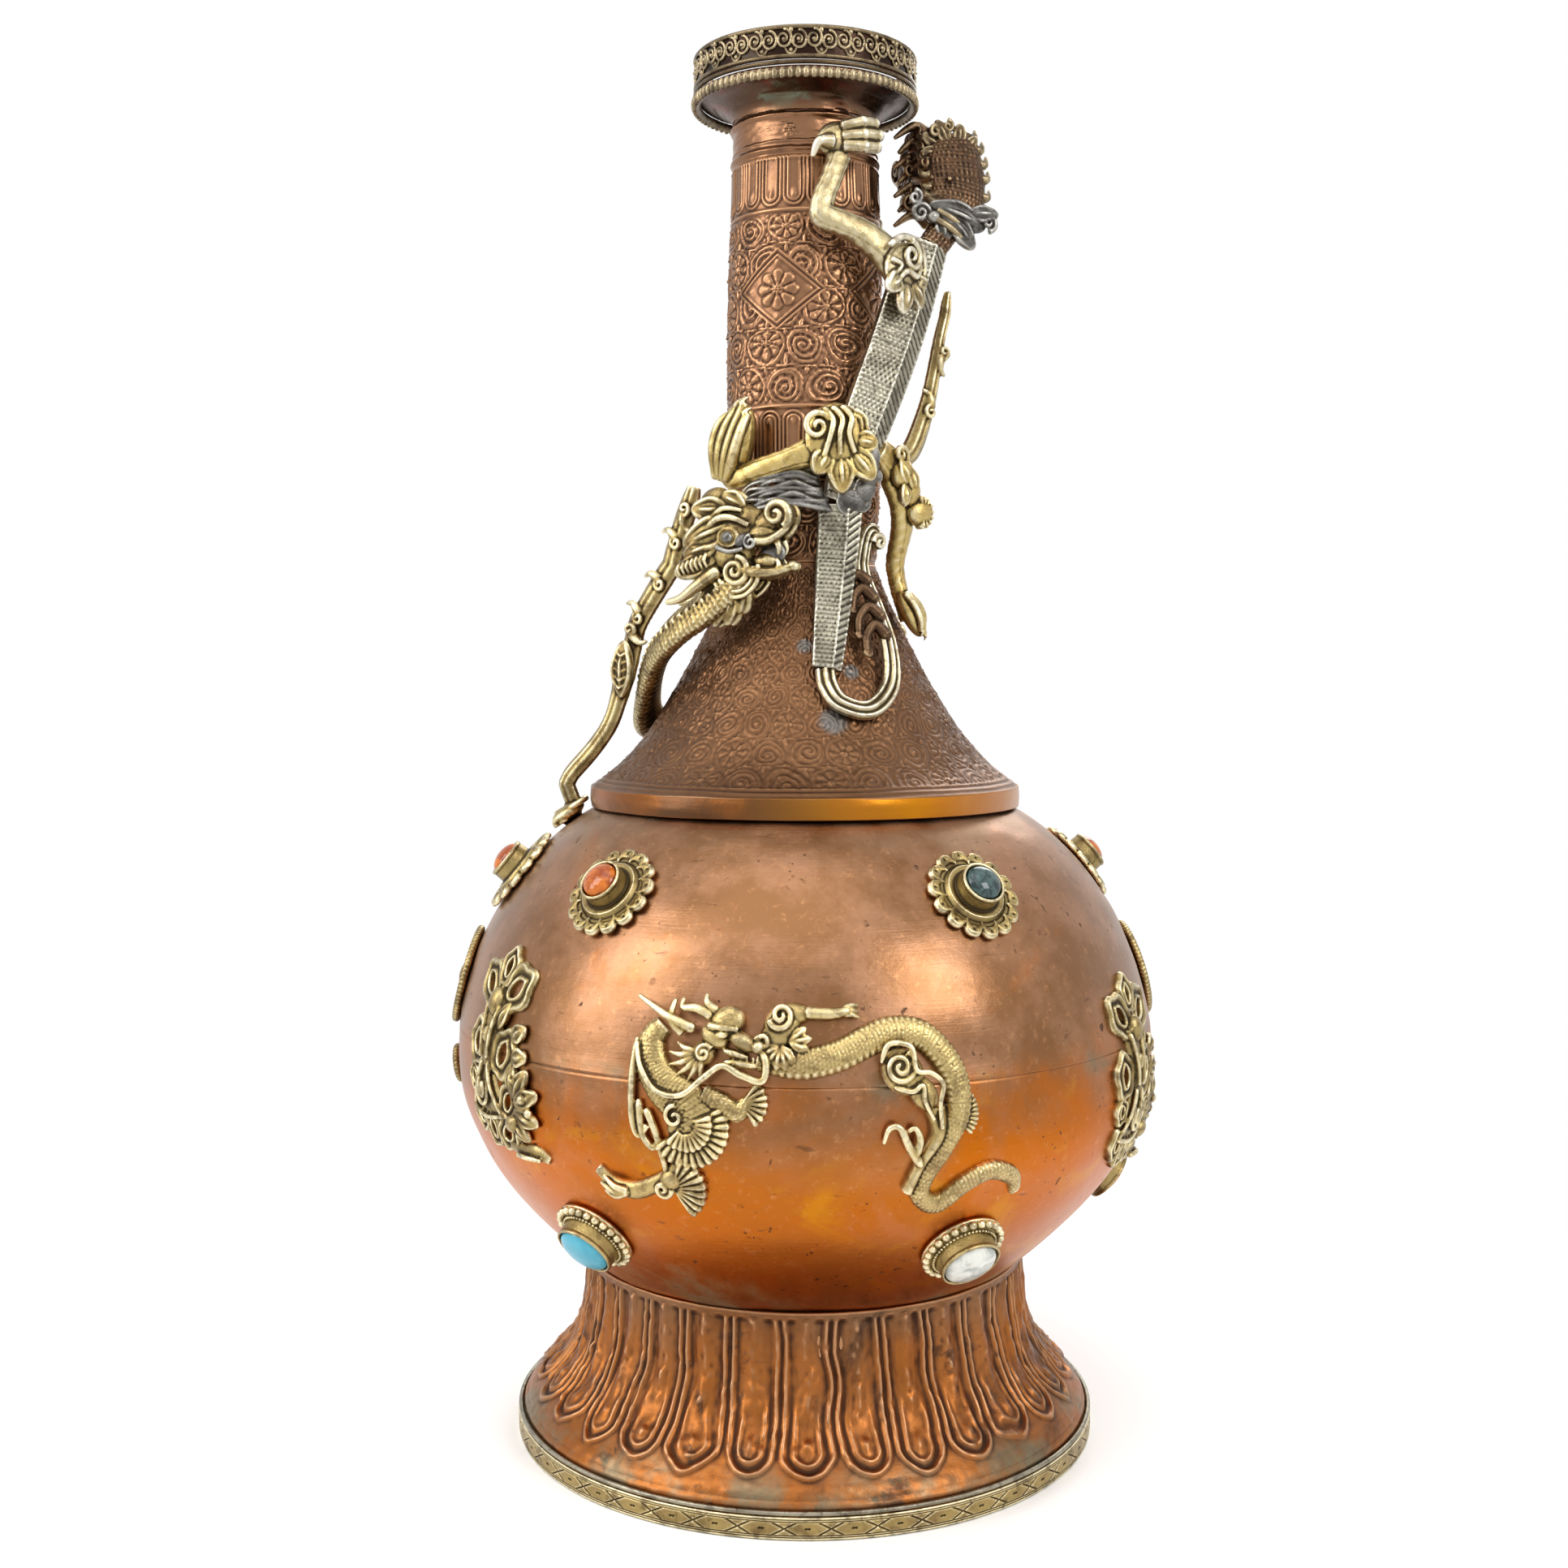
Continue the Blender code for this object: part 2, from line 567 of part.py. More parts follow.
def belly_place(centre, arc, rise, standoff):
    """Point and normal over the belly, arc and rise in metres from the equator at the centre azimuth."""
    azimuth = centre + math.degrees(arc / BELLY_RADIUS)
    point, normal, _, _ = surface_frame(azimuth, BELLY_EQUATOR + rise, belly_radius)
    return point + normal * standoff, normal


def vessel_place(azimuth, station, standoff):
    """Point beside the vessel and the normal there; the station runs from the belly up to the sleeve."""
    if station < 0:
        height = COLLAR_BOTTOM + (COLLAR_BOTTOM - BELLY_EQUATOR) * station
        radius_at = belly_radius
    elif station < 1:
        height = CONE_BOTTOM + CONE_HEIGHT * station
        radius_at = cone_radius
    else:
        height = NECK_BOTTOM + (SLEEVE_TOP - NECK_BOTTOM) * (station - 1)
        radius_at = neck_radius
    point, normal, _, _ = surface_frame(azimuth, height, radius_at)
    turn = math.radians(azimuth)
    out = Vector((math.sin(turn), -math.cos(turn), 0.0))
    return point + out * standoff, normal


def curve_through(rows, count):
    """Rows of numbers along a smooth curve through the given rows."""
    spans = len(rows) - 1
    found = []
    for place in spaced(0.0, spans, count):
        i = min(int(place), spans - 1)
        t = place - i
        four = [rows[min(max(i + k, 0), spans)] for k in (-1, 0, 1, 2)]
        row = []
        for a, b, c, d in zip(*four):
            bend = 2 * a - 5 * b + 4 * c - d + (3 * b - a - 3 * c + d) * t
            row.append(b + 0.5 * t * (c - a + bend * t))
        found.append(row)
    return found


ROUND = ((-0.5, 0.0), (-0.3, -0.42), (0.3, -0.42), (0.5, 0.0), (0.3, 0.42), (-0.3, 0.42))
ROOF = ((-0.5, 0.1), (-0.5, -0.4), (0.5, -0.4), (0.5, 0.0), (0.15, 0.5))
LOW_RELIEF = ((-0.5, 0.0), (-0.5, -0.5), (0.5, -0.5), (0.5, 0.0), (0.25, 0.5), (-0.25, 0.5))


def swept(points, normals, widths, heights, section):
    """Rings of a section carried along points, its upper side turned to the normals."""
    rings = []
    last = len(points) - 1
    for i, point in enumerate(points):
        along = (points[min(i + 1, last)] - points[max(i - 1, 0)]).normalized()
        side = along.cross(normals[i]).normalized()
        up = side.cross(along)
        rings.append([point + side * (x * widths[i]) + up * (y * heights[i]) for x, y in section])
    return rings


def member(path, section=ROUND, facing=None, grow=0.0, rings_per_span=2):
    """Rings of one member of a neck dragon; grow fattens it all round, as a cutter needs."""
    rows = curve_through(path, (len(path) - 1) * rings_per_span + 1)
    points, normals = [], []
    for azimuth, station, standoff, _, _ in rows:
        point, out = vessel_place(azimuth, station, standoff * MM)
        if facing is not None:
            turn = math.radians(facing)
            out = Vector((math.sin(turn), -math.cos(turn), 0.0))
        points.append(point)
        normals.append(out)
    if grow:
        points[0] -= (points[1] - points[0]).normalized() * grow
        points[-1] += (points[-1] - points[-2]).normalized() * grow
    widths = [row[3] * MM + 2 * grow for row in rows]
    heights = [row[4] * MM + 2 * grow for row in rows]
    return swept(points, normals, widths, heights, section)


def hide(cutter):
    cutter.hide_render = True
    cutter.display_type = "WIRE"


def combine(piece, other, operation):
    hide(other)
    change = piece.modifiers.new(operation.title(), "BOOLEAN")
    change.operation = operation
    change.solver = "EXACT"
    change.use_self = operation == "UNION"
    change.object = other


def joined(name, runs, finish):
    """Overlapping runs of rings joined into one body."""
    piece = ring_piece(name, runs[1:], finish)
    combine(piece, ring_piece(name + "_core", runs[:1], finish), "UNION")
    return piece


# Set stones

SEAT_REACH = 0.02
SEAT_ROUNDS = 40


def seated(point, normal):
    """The point moved along the normal on to the belly."""
    low, high = -SEAT_REACH, SEAT_REACH
    for _ in range(SEAT_ROUNDS):
        middle = (low + high) / 2
        place = point + normal * middle
        if math.hypot(place.x, place.y) < belly_radius(place.z):
            low = middle
        else:
            high = middle
    return point + normal * high


def disc_rings(azimuth, height, steps, profile):
    """Rings round a belly normal. A profile row is (radius, height, lobe depth, follows the belly)."""
    centre, normal, side, up = surface_frame(azimuth, height, belly_radius)
    rings = []
    for radius, rise, lobe, follows in profile:
        ring = []
        for i in range(steps):
            turn = 2 * math.pi * i / steps
            reach = radius - (lobe if i % 2 else 0.0)
            place = centre + (side * math.cos(turn) + up * math.sin(turn)) * reach
            if follows:
                place = seated(place, normal)
            ring.append(place + normal * rise)
        rings.append(ring)
    return rings


CUP_BOTTOM = CUP_HEIGHT - CUP_DEPTH
BACK_RING_SHARE = 0.5


def make_setting(name, azimuth, rise, base_radius, cup_radius, edge, base_rise, lobes, lobe_depth):
    """A base plate that follows the belly, with a cup for a stone."""
    inner = cup_radius - CUP_WALL
    profile = (
        (base_radius * BACK_RING_SHARE, CLEARANCE, 0.0, True),
        (base_radius, CLEARANCE, lobe_depth, True),
        (base_radius, CLEARANCE + edge, lobe_depth, True),
        (cup_radius, base_rise, 0.0, False),
        (cup_radius, CUP_HEIGHT, 0.0, False),
        (inner, CUP_HEIGHT, 0.0, False),
        (inner, CUP_BOTTOM, 0.0, False),
    )
    rings = disc_rings(azimuth, BELLY_EQUATOR + rise, 2 * lobes, profile)
    ring_piece(name, [rings], "brass")


def make_stone(name, azimuth, rise, cup_radius, finish):
    """A cabochon that stands in its cup."""
    girdle = cup_radius - CUP_WALL - CLEARANCE
    foot = CUP_BOTTOM + CLEARANCE
    profile = (
        (girdle, foot, 0.0, False),
        (girdle, CUP_HEIGHT, 0.0, False),
        (girdle * DOME_SHOULDER_SHARE, CUP_HEIGHT + STONE_DOME * DOME_SHOULDER_SHARE, 0.0, False),
        (girdle * DOME_TOP_SHARE, CUP_HEIGHT + STONE_DOME, 0.0, False),
    )
    rings = disc_rings(azimuth, BELLY_EQUATOR + rise, SETTING_STEPS, profile)
    ring_piece(name, [rings], finish)


def make_jewels():
    upper = ("carnelian", "moss_agate", "carnelian", "turquoise", "moss_agate", "carnelian")
    lower = ("turquoise", "moonstone", "carnelian", "moss_agate", "moonstone", "turquoise")
    for number, (azimuth, finish) in enumerate(zip(UPPER_JEWEL_AZIMUTHS, upper), 1):
        make_setting(
            f"rosette_{number}", azimuth, UPPER_JEWEL_RISE, ROSETTE_RADIUS, ROSETTE_CUP_RADIUS,
            ROSETTE_EDGE, ROSETTE_RISE, ROSETTE_LOBES, ROSETTE_LOBE_DEPTH,
        )
        make_stone(f"rosette_stone_{number}", azimuth, UPPER_JEWEL_RISE, ROSETTE_CUP_RADIUS, finish)
    for number, (azimuth, finish) in enumerate(zip(LOWER_JEWEL_AZIMUTHS, lower), 1):
        make_setting(
            f"bezel_{number}", azimuth, LOWER_JEWEL_RISE, BEZEL_BASE_RADIUS, BEZEL_CUP_RADIUS,
            BEZEL_BASE_EDGE, BEZEL_BASE_RISE, SETTING_STEPS // 2, 0.0,
        )
        make_stone(f"bezel_stone_{number}", azimuth, LOWER_JEWEL_RISE, BEZEL_CUP_RADIUS, finish)


# Appliques

def relief(centre, path, rings_per_span=1, raised=0.0):
    """Rings of one member that lies on the belly, raised by a length over its drawn place."""
    rows = curve_through(path, (len(path) - 1) * rings_per_span + 1)
    points, normals = [], []
    for arc, rise, _ in rows:
        point, normal = belly_place(centre, arc * MM, rise * MM + raised, CLEARANCE + RELIEF / 2)
        points.append(point)
        normals.append(normal)
    widths = [row[2] * MM for row in rows]
    return swept(points, normals, widths, [RELIEF] * len(rows), LOW_RELIEF)


def make_medallion(name, azimuth, rise, radius):
    """A round plate with a raised border."""
    profile = (
        (radius * BACK_RING_SHARE, CLEARANCE, 0.0, True),
        (radius, CLEARANCE, 0.0, True),
        (radius, CLEARANCE + RELIEF, 0.0, True),
        (radius * MEDALLION_ROPE_SHARE, CLEARANCE + RELIEF, 0.0, True),
        (radius * MEDALLION_FIELD_SHARE, CLEARANCE + RELIEF / 2, 0.0, True),
    )
    ring_piece(name, [disc_rings(azimuth, BELLY_EQUATOR + rise, SETTING_STEPS, profile)], "brass")


def make_appliques():
    for name, centre in (("front_dragon", 0), ("back_dragon", BACK_AZIMUTH)):
        runs = [relief(centre, DRAGON_BODY, rings_per_span=2)]
        runs += [relief(centre, path) for path in DRAGON_MEMBERS]
        joined(name, runs, "brass")
    for number, (centre, raised) in enumerate(EMBLEM_PLACES, 1):
        runs = [relief(centre, path, raised=raised) for path in (EMBLEM_SPINE, *EMBLEM_MEMBERS)]
        joined(f"scroll_emblem_{number}", runs, "brass")
    for number, azimuth in enumerate(MEDALLION_AZIMUTHS, 1):
        make_medallion(f"rope_medallion_{number}", azimuth, MEDALLION_RISE, MEDALLION_RADIUS)
    make_medallion("small_disc", DISC_AZIMUTH, DISC_RISE, DISC_RADIUS)


# Dragons round the neck

def make_climbing_dragon():
    body = ring_piece("climbing_body", [member(CLIMBING_BODY, ROOF, CLIMBING_BODY_FACING)], "silvered")
    tail = ring_piece("climbing_tail", [member(CLIMBING_TAIL, ROOF, CLIMBING_TAIL_FACING)], "silvered")
    body_cutter = ring_piece(
        "climbing_body_room", [member(CLIMBING_BODY, ROOF, CLIMBING_BODY_FACING, grow=CLEARANCE)], "silvered"
    )
    tail_cutter = ring_piece(
        "climbing_tail_room", [member(CLIMBING_TAIL, ROOF, CLIMBING_TAIL_FACING, grow=CLEARANCE)], "silvered"
    )
    combine(tail, body_cutter, "DIFFERENCE")
    scroll = ring_piece("climbing_tail_scroll", [member(CLIMBING_SCROLL)], "brass")
    combine(scroll, tail_cutter, "DIFFERENCE")
    head = ring_piece("climbing_head", [member(CLIMBING_HEAD)], "brass")
    combine(head, body_cutter, "DIFFERENCE")
    for name, path in CLIMBING_LEGS.items():
        leg = ring_piece(name, [member(path)], "brass")
        combine(leg, body_cutter, "DIFFERENCE")
        combine(leg, tail_cutter, "DIFFERENCE")
    streamer = ring_piece("climbing_streamer", [member(CLIMBING_STREAMER)], "brass")
    far_leg = CLIMBING_LEGS["climbing_hindleg_far"]
    leg_cutter = ring_piece("climbing_hindleg_room", [member(far_leg, grow=CLEARANCE)], "brass")
    combine(streamer, leg_cutter, "DIFFERENCE")
    combine(streamer, body_cutter, "DIFFERENCE")


def make_coiling_dragon():
    ring_piece("coiling_body", [member(COILING_BODY)], "brass")
    cutter = ring_piece("coiling_body_room", [member(COILING_BODY, grow=CLEARANCE)], "brass")
    runs = [member(COILING_HEAD)] + [member(path) for path in COILING_HEAD_MEMBERS]
    head = joined("coiling_head", runs, "brass")
    combine(head, cutter, "DIFFERENCE")
    ring_piece("coiling_streamer", [member(COILING_STREAMER)], "brass")
    leg = ring_piece("coiling_leg", [member(COILING_LEG)], "brass")
    combine(leg, cutter, "DIFFERENCE")


make_base_plate()
make_foot_skirt()
make_foot_rim()
make_belly()
make_collar_and_cone()
make_neck()
make_mouth()
make_jewels()
make_appliques()
make_climbing_dragon()
make_coiling_dragon()
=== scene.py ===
"""Looks of the copper vase: finer forms, procedural finishes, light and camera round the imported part."""

import math

import bmesh
import bpy
import numpy as np
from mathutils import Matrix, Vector


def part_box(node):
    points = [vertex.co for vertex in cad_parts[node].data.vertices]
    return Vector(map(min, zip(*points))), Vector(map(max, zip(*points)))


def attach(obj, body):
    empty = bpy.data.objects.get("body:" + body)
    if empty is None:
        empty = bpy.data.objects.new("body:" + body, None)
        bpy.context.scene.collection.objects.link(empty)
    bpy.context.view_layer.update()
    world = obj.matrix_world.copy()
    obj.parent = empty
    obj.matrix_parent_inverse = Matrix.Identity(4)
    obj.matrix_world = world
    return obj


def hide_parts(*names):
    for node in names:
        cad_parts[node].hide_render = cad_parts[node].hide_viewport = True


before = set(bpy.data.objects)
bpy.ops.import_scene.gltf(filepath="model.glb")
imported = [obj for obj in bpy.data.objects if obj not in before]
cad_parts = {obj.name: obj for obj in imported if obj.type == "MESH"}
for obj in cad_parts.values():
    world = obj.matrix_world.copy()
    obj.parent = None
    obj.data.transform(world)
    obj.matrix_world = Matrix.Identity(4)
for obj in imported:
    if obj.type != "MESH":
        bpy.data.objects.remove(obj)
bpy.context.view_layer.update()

MM = 0.001
TAU = 2 * math.pi
UP = np.array([0.0, 0.0, 1.0])

# Sizes of the vessel's profile in metres
SHEET = 0.0011
GAP = 0.0003
FOOT_WAIST_RADIUS = 0.0606
FLARE_MIDDLE = 0.31
FLARE_POWER = 2.5
BELLY_RADIUS = 0.0971
BELLY_EQUATOR = 0.1074
BELLY_RISE = 0.0780
BELLY_DROP = 0.0904
SHOULDER_CURVE = 1.80
SHOULDER_POWER = 0.35
UNDER_CURVE = 2.0
UNDER_POWER = 0.9
CONE_BROAD_SHARE = 0.81
CONE_BROAD_POWER = 1.2
CONE_LIP_POWER = 8.0
NECK_SWELL = 0.0015
NECK_RADIUS = 0.0200


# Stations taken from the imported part

def span(node):
    """Heights of a node's lowest and highest points."""
    low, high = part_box(node)
    return low[2], high[2]


def radius_of(node):
    """Radius of a round node about the axis."""
    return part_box(node)[1][0]


FOOT_BOTTOM, FOOT_TOP = span("foot_skirt")
RIM_HEIGHT = span("foot_rim_band")[1]
BASE_RADIUS = radius_of("foot_rim_band")
LIP_RADIUS = radius_of("foot_skirt")
BELLY_BOTTOM, SEAM = span("belly_lower")
BELLY_TOP = span("belly_upper")[1]
COLLAR_BOTTOM, COLLAR_TOP = span("collar_band")
COLLAR_RADIUS = radius_of("collar_band")
CONE_BOTTOM, CONE_TOP = span("shoulder_cone")
NECK_BOTTOM, NECK_TOP = span("neck_tube")
SLEEVE_BOTTOM, SLEEVE_TOP = span("neck_sleeve")
FLANGE_BOTTOM, FLANGE_TOP = span("mouth_flange")
FLANGE_RADIUS = radius_of("mouth_flange")
MOUTH_RADIUS = radius_of("mouth_gallery")
GALLERY_BOTTOM, GALLERY_TOP = span("mouth_gallery")
BEAD_RING_BOTTOM, BEAD_RING_TOP = span("mouth_bead_ring")

# Photograph, in pixels of a square picture, and the camera found from it in metres and radians
PHOTO_SIZE = 1932
FOCAL_PIXELS = 2278
CAMERA_PLACE = (-0.0058, -0.5214, 0.2134)
CAMERA_PITCH = 0.0632
SENSOR = 36.0
CLIP_START = 0.01

# Jewels
UPPER_JEWEL_AZIMUTHS = (-38, 31, 98, 155, -150, -82)
LOWER_JEWEL_AZIMUTHS = (-39.5, 27, 92, 150, -150, -108)
UPPER_STONES = ("carnelian", "moss_agate", "carnelian", "turquoise", "moss_agate", "carnelian")
LOWER_STONES = ("turquoise", "moonstone", "carnelian", "moss_agate", "moonstone", "turquoise")
UPPER_JEWEL_RISE = 0.0497
LOWER_JEWEL_RISE = -0.0360
ROSETTE_RADIUS = 0.0128
ROSETTE_LOBES = 14
ROSETTE_NOTCH = 1.9 * MM
ROSETTE_CUP_RADIUS = 0.0056
BEZEL_BASE_RADIUS = 0.0112
BEZEL_BEADS = 26
BEZEL_GRAINS = 52
BEZEL_CUP_RADIUS = 0.0078
CUP_WALL = 0.0007
CUP_HEIGHT = 0.0062
CUP_DEPTH = 0.0022
STONE_DOME = 0.0026
SETTING_BACK = 0.4 * MM
ROSETTE_COLUMNS = 252
BEZEL_COLUMNS = 144
STONE_COLUMNS = 96
STONE_ROWS = 22

# Appliques on the belly
EMBLEM_PLACES = ((-54, 0.0), (63, -0.008), (126, 0.0), (-126, -0.008))
MEDALLION_AZIMUTHS = (-87, 94)
MEDALLION_RISE = 0.0195
MEDALLION_RADIUS = 0.0135
MEDALLION_BEADS = 72
MEDALLION_PETALS = 12
DISC_AZIMUTH = -89
DISC_RISE = -0.0060
DISC_RADIUS = 0.0055
DISC_BEADS = 28
DISC_PETALS = 6

# Ornament counts
PETALS = 30
RIM_CROSSES = 44
LAPPETS = 20
NECK_SCROLLS = 12
CONE_SCROLLS = 30
MOUTH_BEADS = 92
GALLERY_CELLS = 24

# Bands of the foot, the neck and the sleeve
PETAL_FOOT = 6.5 * MM
NECK_FRIEZE = 28 * MM
LOWER_LAPPETS = 12.5 * MM
UPPER_LAPPETS = 13.5 * MM
LOZENGE_TURN = 0.233
LOZENGE_DROP = 35.6 * MM
LOZENGE_HALF_WIDTH = 12.8
LOZENGE_HALF_HEIGHT = 11.0
SLEEVE_STAMP_TURN = 0.035

# Depths of chased relief in millimetres and of its sunk ground; the cone's at the neck and at the collar
PETAL_RELIEF = 0.78
PETAL_SINK = 0.65
ENGRAVING = 0.30
CONE_RELIEF = (0.34, 0.26)
CONE_SINK = 0.25
NECK_RELIEF = 0.50
NECK_SINK = 0.2
STAMP_RELIEF = 0.3
SLEEVE_SINK = 0.1

# Rows and columns of the turned meshes
BELLY_MESH = (150, 384)
FOOT_MESH = (150, PETALS * 40)
RIM_MESH = (34, RIM_CROSSES * 26)
COLLAR_MESH = (24, 256)
CONE_MESH = (170, CONE_SCROLLS * 32)
NECK_MESH = (330, 420)
SLEEVE_MESH = (70, 360)
FLANGE_MESH = (60, 256)
GALLERY_WALL_MESH = (30, 200)
PROFILE_SAMPLES = 4000
INSIDE_THINNING = 10
PLATE_COLUMNS = 128
FOOT_WIRE_COLUMNS = 256
MOUTH_WIRE_COLUMNS = 200
BEAD_BACKING_COLUMNS = 160

# How relief is marked for the finishes, as (turns of smoothing, depth)
PETAL_SHADE = (14, 0.26 * MM)
STRIP_SHADE = (10, 0.12 * MM)
CONE_SHADE = (12, 0.20 * MM)
NECK_SHADE = (10, 0.18 * MM)
SLEEVE_SHADE = (10, 0.3 * MM)
FLANGE_SHADE = (8, 0.3 * MM)
TEETH_SHADE = (5, 0.25 * MM)
FILIGREE_SHADE = (4, 0.2 * MM)
GALLERY_WALL_SHADE = (3, 0.3 * MM)
ROSETTE_SHADE = (12, 0.22 * MM)
BEZEL_SHADE = (8, 0.25 * MM)
# The same on castings, which are modelled in millimetres
BELLY_DRAGON_SHADE = (40, 0.26)
EMBLEM_SHADE = (24, 0.26)
PLAQUE_SHADE = (12, 0.2)
NECK_DRAGON_SHADE = (36, 0.26)

# Voxel sizes, in millimetres, at which the castings on the belly are fused
BELLY_DRAGON_VOXEL = 0.24
EMBLEM_VOXEL = 0.26
MEDALLION_VOXEL = 0.24
DISC_VOXEL = 0.18

# Stage: lights as (name, direction from the vase, distance, size, power)
LIGHTS = (
    ("left_front", (-0.73, -0.40, 0.55), 1.0, 0.46, 3.2),
    ("right_front", (0.60, -0.62, 0.50), 1.0, 0.40, 3.3),
    ("top_fill", (-0.15, -0.40, 0.90), 1.1, 0.90, 3.2),
    ("left_edge", (-0.93, -0.32, 0.18), 1.0, 0.35, 1.6),
    ("back_fill", (0.3, 0.9, 0.7), 1.2, 0.6, 5.0),
)
LIGHT_AIM = (0.0, 0.0, 0.17)
WORLD_LIGHT = 0.85
FLOOR_SIZE = 6.0
FLOOR_DROP = 0.0004
FLOOR_COLOUR = (0.95, 0.95, 0.95)
FLOOR_FADE = (0.16, 0.36)


# Node graphs

class Graph:
    """A material's node tree with short ways to add and join nodes."""

    def __init__(self, name):
        self.material = bpy.data.materials.new(name)
        self.material.use_nodes = True
        self.tree = self.material.node_tree
        self.shader = self.tree.nodes["Principled BSDF"]

    def put(self, socket, value):
        if isinstance(value, bpy.types.NodeSocket):
            self.tree.links.new(value, socket)
        elif isinstance(value, tuple) and len(value) == 3 and socket.type == "RGBA":
            socket.default_value = (*value, 1.0)
        else:
            socket.default_value = value

    def add(self, kind, inputs, **settings):
        node = self.tree.nodes.new(kind)
        for name, value in settings.items():
            setattr(node, name, value)
        for name, value in inputs.items():
            self.put(node.inputs[name], value)
        return node

    def place(self):
        return self.add("ShaderNodeTexCoord", {}).outputs["Object"]

    def axis(self, name):
        """How far a point lies along X, Y or Z."""
        return self.add("ShaderNodeSeparateXYZ", {0: self.place()}).outputs[name]

    def near(self, point, reach):
        """1 close to a point and 0 beyond the reach, with a ragged edge."""
        away = self.add("ShaderNodeVectorMath", {0: self.place(), 1: point}, operation="DISTANCE")
        ragged = self.plus(away.outputs["Value"], self.noise(240, 4, 0.6), 0.6 * reach)
        return self.step(ragged, 1.45 * reach, 0.85 * reach)

    def noise(self, scale, detail=5.0, rough=0.55, stretch=None, twist=0.0):
        place = self.place()
        if stretch:
            place = self.add("ShaderNodeMapping", {"Vector": place, "Scale": stretch}).outputs[0]
        inputs = {"Vector": place, "Scale": scale, "Detail": detail, "Roughness": rough, "Distortion": twist}
        return self.add("ShaderNodeTexNoise", inputs).outputs[0]

    def maths(self, operation, a, b=0.0):
        return self.add("ShaderNodeMath", {0: a, 1: b}, operation=operation).outputs[0]

    def times(self, a, b):
        return self.maths("MULTIPLY", a, b)

    def plus(self, value, share, amount):
        """The value with some of a share added."""
        return self.maths("ADD", value, self.times(share, amount))

    def total(self, value, parts):
        """The value with (share, amount) parts added."""
        for share, amount in parts:
            value = self.plus(value, share, amount)
        return value

    def step(self, value, low, high):
        """0 below low, 1 above high and smooth between; low may be the larger number."""
        inputs = {"Value": value, "From Min": low, "From Max": high}
        node = self.add("ShaderNodeMapRange", inputs, interpolation_type="SMOOTHSTEP")
        return node.outputs[0]

    def mix(self, share, a, b):
        node = self.add("ShaderNodeMix", {}, data_type="RGBA")
        for socket, value in ((0, share), (6, a), (7, b)):
            self.put(node.inputs[socket], value)
        return node.outputs[2]

    def layered(self, colour, layers):
        """The colour under layers of (share, amount, other colour), the last on top."""
        for share, amount, other in layers:
            colour = self.mix(self.times(share, amount), colour, other)
        return colour

    def relief(self):
        return self.add("ShaderNodeAttribute", {}, attribute_name="relief").outputs["Fac"]

    def bump(self, height, distance):
        bump = self.add("ShaderNodeBump", {"Height": height, "Distance": distance, "Strength": 1.0})
        self.put(self.shader.inputs["Normal"], bump.outputs[0])

    def finish(self, colour, roughness, metallic=1.0, **others):
        self.put(self.shader.inputs["Base Color"], colour)
        self.put(self.shader.inputs["Roughness"], roughness)
        self.put(self.shader.inputs["Metallic"], metallic)
        for name, value in others.items():
            self.put(self.shader.inputs[name.replace("_", " ")], value)
        return self.material


# Finishes

COPPER_BROWN = (0.235, 0.112, 0.050)
COPPER_PINK = (0.350, 0.180, 0.098)
COPPER_ORANGE = (0.50, 0.128, 0.006)
COPPER_RUST = (0.41, 0.125, 0.018)
COPPER_BRIGHT = (0.66, 0.32, 0.14)
COPPER_ROSE = (0.48, 0.160, 0.055)
COPPER_AMBER = (0.56, 0.215, 0.008)
COPPER_DARK = (0.045, 0.022, 0.015)
COPPER_MATT = (0.122, 0.058, 0.028)
COPPER_WORN = (0.222, 0.112, 0.054)
COPPER_RIDGE = (0.50, 0.272, 0.140)
COPPER_STAIN = (0.055, 0.032, 0.022)
COPPER_SCALE = (0.165, 0.038, 0.026)
COPPER_BLACK = (0.016, 0.010, 0.008)
VERDIGRIS = (0.16, 0.20, 0.14)
SOLDER_GREY = (0.135, 0.150, 0.150)
# Solder spots on the cone, as (place, reach)
SOLDER_SPOTS = (
    ((-0.0005, -0.0299, 0.219), 0.0024),
    ((0.0120, -0.0313, 0.2123), 0.0025),
    ((0.0072, -0.0406, 0.1994), 0.0042),
)


